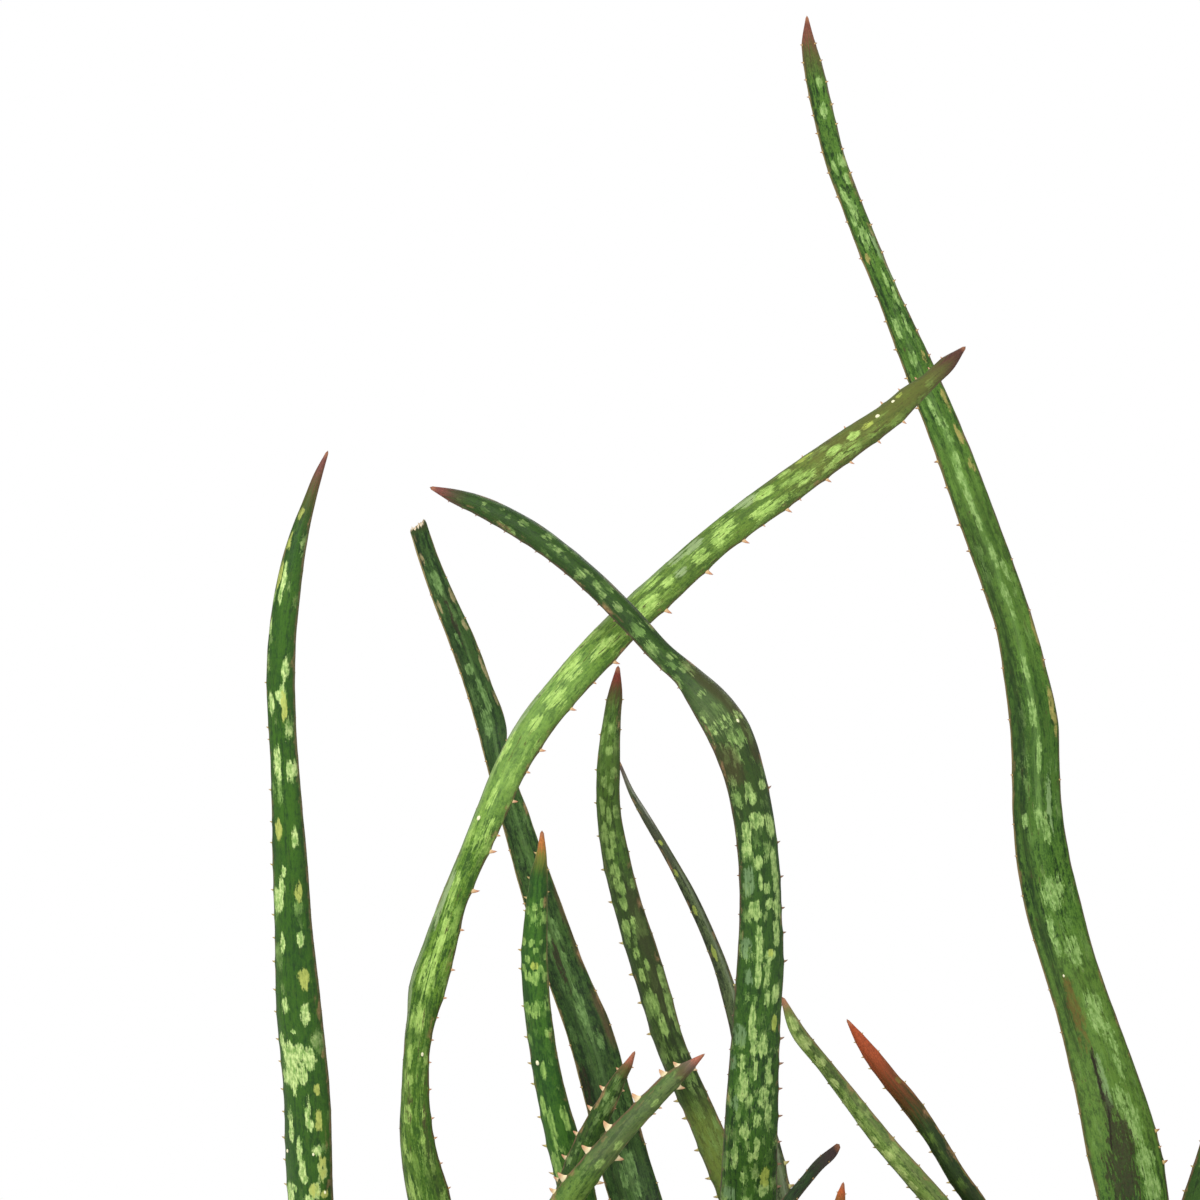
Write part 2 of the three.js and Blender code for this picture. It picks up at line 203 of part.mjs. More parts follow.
// a leaf: sections across the spine, flat or hollow above and rounded below,
// lofted from the stem to the tip.  grow makes it fatter all round.
function leafGeometry(leaf, grow = 0) {
  const curve = curveThrough(leaf.rows);
  const DENSE = 400;
  const pts = [], arc = [0];
  for (let i = 0; i <= DENSE; i++) pts.push(curve(i / DENSE));
  for (let i = 1; i <= DENSE; i++) {
    arc.push(arc[i - 1] + Math.hypot(pts[i][0] - pts[i - 1][0], pts[i][1] - pts[i - 1][1], pts[i][2] - pts[i - 1][2]));
  }
  const length = arc[DENSE];
  const count = Math.max(9, Math.round(length / LEAF_STEP));
  const upper = [[0, leaf.channel * 1.1], [0.45, leaf.channel], [0.75, leaf.channel * 0.3 + 0.02], [1, 0.10]];
  const lower = [[0, 0.28], [0.4, 0.31], [0.8, 0.33], [1, 0.40]];
  const verts = [], faces = [];
  const T = new THREE.Vector3(), N = new THREE.Vector3(), W = new THREE.Vector3();
  const rings = [];
  for (let j = 0; j <= count; j++) {
    const f = 1 - Math.pow(1 - j / count, 1.12);
    const target = f * length;
    let i = 0;
    while (i < DENSE - 1 && arc[i + 1] < target) i++;
    const t = (i + (target - arc[i]) / (arc[i + 1] - arc[i])) / DENSE;
    const p = curve(t), a = curve(Math.max(0, t - 0.004)), b = curve(Math.min(1, t + 0.004));
    T.set(b[0] - a[0], b[1] - a[1], b[2] - a[2]).normalize();
    N.set(...mix(leaf.face, f));
    N.addScaledVector(T, -N.dot(T)).normalize();
    W.crossVectors(N, T).normalize();
    const w = Math.max(p[3], 0.8);
    const up = mix(upper, f) * w, down = mix(lower, f) * w;
    const half = w / 2 + grow;
    const shift = j === 0 ? -grow : j === count ? grow : 0;
    const ring = [];
    const put = (x, n) => {
      ring.push(verts.length / 3);
      verts.push(
        p[0] + W.x * x + N.x * n + T.x * shift,
        p[1] + W.y * x + N.y * n + T.y * shift,
        p[2] + W.z * x + N.z * n + T.z * shift);
    };
    for (const q of [-1, -0.5, 0, 0.5, 1]) put(q * half, up * (1 - q * q) + grow);
    for (const q of [0.8, 0.4, 0, -0.4, -0.8]) put(q * half, -down * Math.pow(1 - q * q, 0.8) - grow);
    rings.push(ring);
    if (j === count && !leaf.blunt) {
      ring.apex = verts.length / 3;
      const reach = 0.9 + grow;
      verts.push(p[0] + T.x * (reach + shift), p[1] + T.y * (reach + shift), p[2] + T.z * (reach + shift));
    }
  }
  const K = rings[0].length;
  for (let j = 0; j < count; j++) {
    for (let k = 0; k < K; k++) {
      const a = rings[j][k], b = rings[j][(k + 1) % K], c = rings[j + 1][(k + 1) % K], d = rings[j + 1][k];
      faces.push(a, b, c, a, c, d);
    }
  }
  const cap = (ring, flip) => {
    // strips across the section, so no extra vertex is needed
    const upperSide = ring.slice(0, 5), lowerSide = [ring[0], ...ring.slice(5).reverse(), ring[4]];
    const tri = (a, b, c) => (flip ? faces.push(a, c, b) : faces.push(a, b, c));
    // lowerSide has 7 entries, upperSide 5: walk both
    let u = 0, l = 0;
    while (u < 4 || l < 6) {
      if (l < 6 && (u === 4 || (l + 1) / 6 <= (u + 1) / 4)) {
        if (upperSide[u] !== lowerSide[l] && upperSide[u] !== lowerSide[l + 1]) tri(upperSide[u], lowerSide[l], lowerSide[l + 1]);
        l++;
      } else {
        if (lowerSide[l] !== upperSide[u] && lowerSide[l] !== upperSide[u + 1]) tri(upperSide[u], lowerSide[l], upperSide[u + 1]);
        u++;
      }
    }
  };
  cap(rings[0], false);
  const last = rings[count];
  if (leaf.blunt) cap(last, true);
  else for (let k = 0; k < K; k++) faces.push(last[k], last[(k + 1) % K], last.apex);
  const g = new THREE.BufferGeometry();
  g.setAttribute('position', new THREE.BufferAttribute(new Float32Array(verts), 3));
  g.setIndex(faces);
  // faces point out when the enclosed volume is positive
  let volume = 0;
  for (let i = 0; i < faces.length; i += 3) {
    const [a, b, c] = [faces[i] * 3, faces[i + 1] * 3, faces[i + 2] * 3];
    volume += verts[a] * (verts[b + 1] * verts[c + 2] - verts[b + 2] * verts[c + 1])
      - verts[a + 1] * (verts[b] * verts[c + 2] - verts[b + 2] * verts[c])
      + verts[a + 2] * (verts[b] * verts[c + 1] - verts[b + 1] * verts[c]);
  }
  if (volume < 0) {
    for (let i = 0; i < faces.length; i += 3) [faces[i + 1], faces[i + 2]] = [faces[i + 2], faces[i + 1]];
    g.setIndex(faces);
  }
  return g;
}

// a turned solid: the profile runs from the axis, round and back to the axis
function turned(profile, segments, place) {
  const g = new THREE.LatheGeometry(profile.map(([r, z]) => new THREE.Vector2(r, z)), segments);
  g.rotateX(Math.PI / 2);
  if (place) g.translate(place[0], place[1], place[2] ?? 0);
  const solid = toManifold(g);
  if (solid.volume() > 0) return solid;
  // the profile was given the other way round
  return toManifold(flip(g));
}

function flip(g) {
  const idx = Array.from(g.index.array);
  for (let i = 0; i < idx.length; i += 3) [idx[i + 1], idx[i + 2]] = [idx[i + 2], idx[i + 1]];
  const c = g.clone();
  c.setIndex(idx);
  return c;
}

const root = new THREE.Group();
function add(name, solid, color, roughness) {
  const mesh = new THREE.Mesh(toGeometry(solid), new THREE.MeshStandardMaterial({ color, roughness, metalness: 0 }));
  mesh.name = name;
  root.add(mesh);
  return mesh;
}

// ------------------------------------------------------------------------ pot
const innerRadius = (z) => POT_INNER_BASE_RADIUS
  + (POT_INNER_TOP_RADIUS - POT_INNER_BASE_RADIUS) * (z - POT_FLOOR) / (POT_HEIGHT - POT_FLOOR);
const outerRadius = (z) => POT_BASE_RADIUS
  + (POT_BODY_TOP_RADIUS - POT_BASE_RADIUS) * z / (POT_HEIGHT - POT_COLLAR_HEIGHT);
const collarFoot = POT_HEIGHT - POT_COLLAR_HEIGHT;
let pot = turned([
  [0, 0],
  [POT_BASE_RADIUS - 4, 0],
  [POT_BASE_RADIUS, 4],
  [outerRadius(60), 60],
  [outerRadius(130), 130],
  [POT_BODY_TOP_RADIUS, collarFoot - 2],
  [POT_RIM_RADIUS - 2, collarFoot],
  [POT_RIM_RADIUS - 1, collarFoot + 3],
  [POT_RIM_RADIUS, POT_HEIGHT - 5],
  [POT_RIM_RADIUS - 2.5, POT_HEIGHT - 1],
  [POT_RIM_RADIUS - 6, POT_HEIGHT],
  [POT_INNER_TOP_RADIUS + 4, POT_HEIGHT],
  [POT_INNER_TOP_RADIUS, POT_HEIGHT - 4],
  [innerRadius(120), 120],
  [POT_INNER_BASE_RADIUS, POT_FLOOR],
  [0, POT_FLOOR],
], 56);
for (let i = 0; i < 3; i++) {
  const a = Math.PI / 2 + i * 2 * Math.PI / 3;
  const hole = turned([[0, -5], [DRAIN_RADIUS, -5], [DRAIN_RADIUS, POT_FLOOR + 5], [0, POT_FLOOR + 5]], 16,
    [DRAIN_CIRCLE * Math.cos(a), DRAIN_CIRCLE * Math.sin(a)]);
  pot = pot.subtract(hole);
}

// ---------------------------------------------------------------------- stems
function stemSolid(s, grow) {
  const r = s.radius + grow, top = SOIL_LEVEL + s.top + grow, foot = SOIL_LEVEL - STEM_DEPTH - grow;
  return turned([
    [0, foot], [r * 0.8, foot], [r, foot + 8], [r, SOIL_LEVEL + s.top * 0.35],
    [r * 0.88, SOIL_LEVEL + s.top * 0.7], [r * 0.62, top - 2], [r * 0.3, top], [0, top],
  ], 20, [s.x, s.y]);
}

// ----------------------------------------------------------------------- soil
const soilEdge = innerRadius(SOIL_LEVEL) - GAP;
let soil = turned([
  [0, POT_FLOOR + GAP],
  [POT_INNER_BASE_RADIUS - GAP * 1.5, POT_FLOOR + GAP],
  [innerRadius(120) - GAP * 1.2, 120],
  [soilEdge, SOIL_LEVEL - SOIL_MOUND],
  [soilEdge - 14, SOIL_LEVEL - SOIL_MOUND + 1.5],
  [soilEdge * 0.6, SOIL_LEVEL - 0.5],
  [0, SOIL_LEVEL],
], 40);

const stemSolids = {};
for (const [key, s] of Object.entries(STEMS)) {
  stemSolids[key] = stemSolid(s, 0);
  soil = soil.subtract(stemSolid(s, GAP));
}

// ---------------------------------------------------------------- leaf solids
// Each leaf clasps the stem and lies against the leaves inside it, so it is cut
// back by the stem, the soil and every leaf placed before it, with a small gap.
let taken = null;
const keepOut = (solid) => { taken = taken ? taken.add(solid) : solid; };
for (const s of Object.values(STEMS)) keepOut(stemSolid(s, GAP));
const soilKeepOut = turned([
  [0, 100], [soilEdge + 4, 100], [soilEdge + 4, SOIL_LEVEL - SOIL_MOUND + GAP],
  [soilEdge - 14, SOIL_LEVEL - SOIL_MOUND + 1.5 + GAP], [soilEdge * 0.6, SOIL_LEVEL - 0.5 + GAP], [0, SOIL_LEVEL + GAP],
], 40);
keepOut(soilKeepOut);

const ORDER = [
  'leaf_dark_blunt',
  'leaf_left_heart',
  'leaf_right_heart',
  'leaf_mid_upright',
  'leaf_small_behind',
  'leaf_slim_front',
  'leaf_right_low',
  'leaf_left_arch',
  'leaf_long_arch',
  'leaf_tallest',
  'leaf_left_upright',
  'leaf_left_back_short',
  'leaf_mid_back',
  'leaf_mid_back_left',
  'leaf_right_edge',
  'leaf_small_front',
  'leaf_mid_thin',
  'leaf_left_back',
  'leaf_right_back',
  'leaf_orange_tip',
  'leaf_red_tip',
  'leaf_mid_front',
  'leaf_right_side',
  'leaf_cut_tip',
  'leaf_left_front_low',
  'leaf_right_front',
  'leaf_mid_right_low',
  'leaf_right_back_short',
  'leaf_right_inner',
  'leaf_right_front_low',
  'leaf_mid_left_low',
];
const placed = {};
for (const name of ORDER) {
  const leaf = LEAVES.find((l) => l.name === name);
  const body = mainBody(toManifold(leafGeometry(leaf)).subtract(taken));
  placed[name] = body;
  keepOut(toManifold(leafGeometry(leaf, LEAF_GAP)));
}

add('pot', pot, '#b5673f', 0.85);
add('soil', soil, '#4a3828', 0.95);
for (const [key, s] of Object.entries(STEMS)) add(s.name, stemSolids[key], '#7d7a4a', 0.7);
for (const leaf of LEAVES) add(leaf.name, placed[leaf.name], leaf.color, 0.5);

export default root;
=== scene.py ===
import math

import bpy
import bmesh
import numpy as np
from mathutils import Matrix, Vector, noise


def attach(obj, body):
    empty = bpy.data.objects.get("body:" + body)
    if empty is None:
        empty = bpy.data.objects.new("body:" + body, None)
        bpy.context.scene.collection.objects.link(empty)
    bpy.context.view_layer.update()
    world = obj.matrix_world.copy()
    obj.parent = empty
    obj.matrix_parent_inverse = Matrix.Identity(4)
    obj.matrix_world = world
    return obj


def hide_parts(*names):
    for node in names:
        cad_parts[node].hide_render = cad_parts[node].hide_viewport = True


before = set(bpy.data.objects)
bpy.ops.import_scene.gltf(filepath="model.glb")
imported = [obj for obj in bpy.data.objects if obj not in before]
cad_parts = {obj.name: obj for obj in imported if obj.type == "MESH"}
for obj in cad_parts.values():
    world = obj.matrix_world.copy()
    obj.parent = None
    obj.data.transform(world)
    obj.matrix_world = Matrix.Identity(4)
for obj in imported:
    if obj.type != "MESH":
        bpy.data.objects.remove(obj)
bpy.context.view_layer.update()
MM = 0.001

# --------------------------------------------------------------------- camera
# The camera looks level along +Y from 1.3 m, with the crowns, soil and pot
# below the frame; a 420 mm square of the plane y = 0 fills the picture.
VIEW_X, VIEW_Z, VIEW_D, VIEW_W = -0.056, 0.518, 1.3, 0.42
cam_data = bpy.data.cameras.new("camera")
cam_data.sensor_width = 36.0
cam_data.lens = 36.0 * VIEW_D / VIEW_W
cam_data.clip_start = 0.05
cam_data.clip_end = 30.0
cam = bpy.data.objects.new("camera", cam_data)
cam.location = (VIEW_X, -VIEW_D, VIEW_Z)
cam.rotation_euler = (math.radians(90), 0, 0)
bpy.context.scene.collection.objects.link(cam)
bpy.context.scene.camera = cam

# ---------------------------------------------------------------- leaf tables
# rows: spine points from the stem to the tip, [x, y, z, blade width] in mm.
# face: direction the upper side looks, at fractions of the length.
# teeth: for each margin (-1 or 1), [fraction of the length, tooth height in mm].
# drops: dried sap, [fraction of the length, place across the blade, size in mm].
# look: numbers for the leaf's colouring, see leaf_material.
LEAVES = [
    {"name": "leaf_left_upright", "channel": -0.09, "rows": [[-95.52, -10.74, 226.0, 25], [-104.09, -14.88, 233.09, 22.85], [-109.84, -18.0, 241.19, 20.71], [-124.07, -23.11, 249.16, 19.94], [-137.79, -28.98, 261.35, 19.16], [-146.56, -35.4, 276.27, 18.39], [-151.52, -41.83, 295.11, 17.61], [-153.71, -47.79, 319.29, 17.03], [-153.84, -52.93, 334.85, 17.29], [-154.03, -57.42, 352.9, 16.89], [-155.19, -61.4, 369.31, 16.67], [-156.06, -64.77, 381.63, 16.3], [-156.69, -67.71, 393.89, 15.1], [-157.45, -70.73, 410.05, 13.24], [-158.21, -73.9, 430.11, 12.38], [-159.05, -76.6, 450.03, 10.7], [-160.09, -78.24, 469.83, 9.7], [-160.92, -79.04, 489.58, 10.03], [-160.42, -79.31, 505.36, 9.7], [-158.62, -78.88, 520.94, 8.88], [-155.75, -77.67, 536.44, 6.91], [-151.43, -76.2, 551.59, 4.12], [-149.01, -74.98, 559.15, 2.97], [-146.11, -74.0, 566.52, 0.99]], "face": [[0.0, [0.94, 0.34, 0.75]], [0.06, [0.94, 0.34, 0.75]], [0.25, [0.4, 0.95, 0.15]], [0.6, [0.3, 1, 0.0]], [1, [0.3, 1, 0.1]]], "lft": -1, "teeth": {"-1": [[0.3282, 1.7], [0.3516, 1.6], [0.3742, 1.7], [0.3996, 1.5], [0.4216, 1.6], [0.449, 1.5], [0.4696, 1.7], [0.4957, 1.4], [0.5163, 1.5], [0.543, 1.6], [0.565, 1.3], [0.5857, 1.5], [0.6084, 1.3], [0.6311, 1.4], [0.6511, 1.2], [0.6698, 1.2], [0.6985, 1.3], [0.7432, 1.0], [0.7538, 1.2], [0.7925, 1.1]], "1": []}, "seen": True, "auto": [0.7, 13, 1, 0.3], "tk": 0.72, "viewer_up": False, "drops": [[0.3662, -0.72, 1.2], [0.3676, 0.48, 1.0], [0.3289, 0.78, 1.1]], "marks": [[0.942, -0.43, 4.6, 2.1, "lime", 0.81], [0.9153, -0.6, 5.9, 2.1, "lime", 0.82], [0.8866, -0.7, 9.2, 2.1, "lime", 0.84], [0.7725, 0.4, 9.9, 2.1, "lime", 0.87], [0.6644, -0.4, 6.6, 2.8, "lime", 1.0], [0.6091, 0.58, 7.3, 2.1, "lime", 0.85], [0.5317, 0.54, 7.3, 3.2, "lime", 0.92], [0.4283, 0.63, 4.0, 1.8, "lime", 0.97], [0.3996, 0.65, 8.7, 2.2, "lime", 0.77], [0.3556, 0.73, 10.1, 2.2, "lime", 0.77], [0.3336, 0.44, 5.4, 3.3, "lime", 0.8], [0.3289, 0.78, 3.4, 1.8, "lime", 1.06], [0.8786, -0.23, 13.2, 2.1, "pale", 0.83], [0.8679, -0.85, 5.9, 1.4, "pale", 0.77], [0.8406, -0.82, 5.9, 1.4, "pale", 0.74], [0.8052, 0.5, 7.9, 2.1, "pale", 0.85], [0.7819, 0.0, 3.3, 1.8, "pale", 1.04], [0.7805, 0.35, 9.2, 2.1, "pale", 1.06], [0.7752, -0.51, 7.2, 2.8, "pale", 0.83], [0.7225, -0.25, 12.5, 2.8, "pale", 0.89], [0.7151, 0.64, 7.9, 3.2, "pale", 0.81], [0.6571, 0.56, 7.3, 2.1, "pale", 0.73], [0.6278, -0.15, 4.6, 2.1, "pale", 0.78], [0.6137, -0.3, 7.3, 2.1, "pale", 1.08], [0.6017, -0.55, 7.9, 3.5, "pale", 1.01], [0.5637, -0.38, 7.9, 2.5, "pale", 0.72], [0.567, 0.52, 5.3, 2.5, "pale", 0.88], [0.507, -0.38, 6.0, 2.9, "pale", 0.81], [0.4997, 0.48, 8.0, 2.9, "pale", 0.78], [0.4837, -0.07, 1.7, 1.8, "pale", 0.98], [0.4736, -0.68, 6.0, 2.5, "pale", 0.75], [0.459, -0.31, 10.0, 5.8, "pale", 1.06], [0.4623, 0.09, 8.7, 4.3, "pale", 0.73], [0.4416, -0.31, 8.7, 5.5, "pale", 1.04], [0.4576, 0.46, 8.0, 3.6, "pale", 1.06], [0.4383, -0.63, 5.3, 3.6, "pale", 0.95], [0.427, -0.24, 4.7, 2.2, "pale", 0.83], [0.4423, 0.13, 7.3, 4.0, "pale", 0.75], [0.4063, 0.27, 12.1, 2.2, "pale", 0.73], [0.3869, -0.48, 8.7, 2.2, "pale", 0.91], [0.3722, -0.11, 9.4, 2.2, "pale", 0.89], [0.3522, -0.01, 8.7, 2.6, "pale", 0.91], [0.3269, -0.67, 6.7, 2.6, "pale", 0.87], [0.3329, -0.43, 3.4, 2.9, "pale", 0.86], [0.3222, 0.24, 5.4, 3.3, "pale", 0.92], [0.3722, 0.58, 4.7, 2.9, "pale", 0.8], [0.3536, 0.73, 8.7, 2.6, "pale", 0.8], [0.3322, 0.49, 6.1, 3.7, "pale", 0.9], [0.3449, 0.12, 4.0, 2.2, "pale", 0.7], [0.3963, 0.35, 5.4, 2.2, "pale", 0.8], [0.3242, -0.68, 6.7, 4.4, "pale", 0.95]], "look": {"base": [58, 100, 26], "shade": [38, 76, 24], "deep": [28, 56, 22], "spot": [206, 230, 152], "spot2": [142, 186, 96], "share": 0.12, "share2": 0.08, "tip": [124, 74, 66], "tip2": [84, 74, 38], "tiplen": 15, "margin": [112, 96, 70], "marginw": 0.35, "lime": [180, 192, 98], "contrast": 0.9, "tooth": [196, 192, 128], "tooth_tip": [172, 144, 96], "fill": 1.15}},
    {"name": "leaf_cut_tip", "channel": -0.15, "rows": [[-17.8, 26.16, 214.0, 24], [-20.97, 33.44, 221.41, 22.09], [-22.86, 38.0, 229.82, 20.17], [-29.12, 48.98, 252.87, 19.61], [-35.88, 58.58, 275.86, 19.39], [-42.76, 66.19, 297.31, 19.13], [-45.65, 72.58, 305.88, 18.85], [-53.77, 78.69, 336.12, 17.45], [-60.84, 84.17, 359.62, 16.77], [-67.22, 88.82, 374.79, 15.33], [-77.38, 93.06, 403.61, 13.5], [-87.02, 96.61, 433.4, 11.09], [-96.11, 98.95, 465.27, 10.17], [-96.46, 100.22, 467.99, 10.93], [-101.83, 101.04, 485.32, 10.37], [-108.01, 101.84, 502.39, 10.0], [-115.12, 102.65, 519.01, 8.69], [-121.62, 103.38, 535.93, 7.56], [-124.8, 104.0, 545.97, 7.18]], "face": [[0.0, [0.42, -0.91, 0.75]], [0.06, [0.42, -0.91, 0.75]], [0.3, [0.15, -1, 0.1]], [0.6, [0.15, -1, 0.1]], [1, [0.3, -1, 0.2]]], "lft": 1, "teeth": {"-1": [[0.4456, 0.8], [0.4823, 1.0], [0.5337, 0.8], [0.7618, 0.7], [0.8566, 0.7], [0.8926, 0.8], [0.9393, 0.7]], "1": [[0.4376, 0.8], [0.5063, 0.8], [0.5917, 1.2], [0.6484, 0.9], [0.7425, 0.8], [0.7779, 0.9], [0.8139, 0.8], [0.8406, 0.8], [0.8672, 0.9], [0.9019, 0.8], [0.928, 0.8]]}, "seen": True, "auto": [0.6, 15, 1, 1], "tk": 0.55, "viewer_up": True, "blunt": True, "marks": [[0.9373, 0.06, 10.6, 3.1, "pale", 0.94], [0.8746, 0.26, 7.5, 1.9, "pale", 0.89], [0.8419, 0.25, 4.5, 3.1, "pale", 0.98], [0.8219, -0.05, 7.5, 2.3, "pale", 0.83], [0.8092, -0.2, 12.1, 2.3, "pale", 1.02], [0.7825, 0.24, 12.1, 3.5, "pale", 0.94], [0.5577, -0.27, 9.0, 2.3, "pale", 0.89], [0.5504, 0.2, 8.2, 1.9, "pale", 0.81], [0.527, -0.17, 4.5, 2.3, "pale", 1.07], [0.4803, -0.15, 13.4, 2.6, "pale", 0.82], [0.4676, -0.06, 11.9, 3.4, "pale", 1.01], [0.4343, -0.38, 8.9, 2.6, "pale", 0.89], [0.3322, -0.06, 9.6, 2.2, "pale", 0.76], [0.3069, -0.29, 10.4, 2.6, "pale", 1.05], [0.2975, 0.14, 11.8, 2.6, "pale", 0.93], [0.2809, -0.29, 7.4, 3.4, "pale", 0.76], [0.966, 0.64, 5.3, 1.4, "lime", 0.84], [0.9146, 0.65, 6.0, 1.2, "lime", 0.8], [0.8859, -0.71, 4.5, 1.6, "lime", 1.07], [0.9193, -0.76, 6.8, 1.2, "lime", 1.03], [0.8439, -0.76, 6.0, 1.2, "lime", 0.85], [0.8306, -0.89, 5.3, 1.5, "lime", 0.95], [0.8052, -0.86, 6.8, 1.2, "lime", 0.73], [0.3929, 0.79, 16.3, 5.2, "dark", 0.6], [0.5203, 0.11, 22.5, 3.0, "dark", 0.5], [0.8899, 0.03, 22.6, 2.7, "dark", 0.4], [0.5784, -1.0, 15.0, 3.0, "wash", 0.77], [0.5304, -0.94, 15.0, 2.6, "wash", 0.75], [0.4536, -0.87, 22.4, 3.0, "wash", 0.76]], "look": {"base": [64, 98, 40], "shade": [34, 62, 24], "deep": [20, 42, 14], "spot": [122, 158, 92], "spot2": [84, 120, 60], "cx": 3.4, "cy": 12, "share": 0.5, "share2": 0.4, "tip": [58, 84, 32], "tip2": [52, 78, 30], "tiplen": 2, "margin": [120, 104, 72], "marginw": 0.28, "margin_l": [150, 136, 90], "marginw_l": 0.42, "contrast": 1.45, "lime": [168, 156, 112], "zones": [[0.72, 1.0, 0.4, [26, 54, 22]], [0.0, 0.36, 0.15, [44, 58, 34]]], "stripes": [[-0.1, 0.12, 0.45, 0.1, 0.95, [104, 140, 76]], [0.5, 0.2, 0.5, 0.1, 0.9, [24, 46, 16]], [-0.55, 0.14, 0.35, 0.1, 0.7, [28, 52, 18]], [0.25, 0.1, 0.3, 0.1, 0.6, [96, 128, 72]]]}, "fold": 0.03},
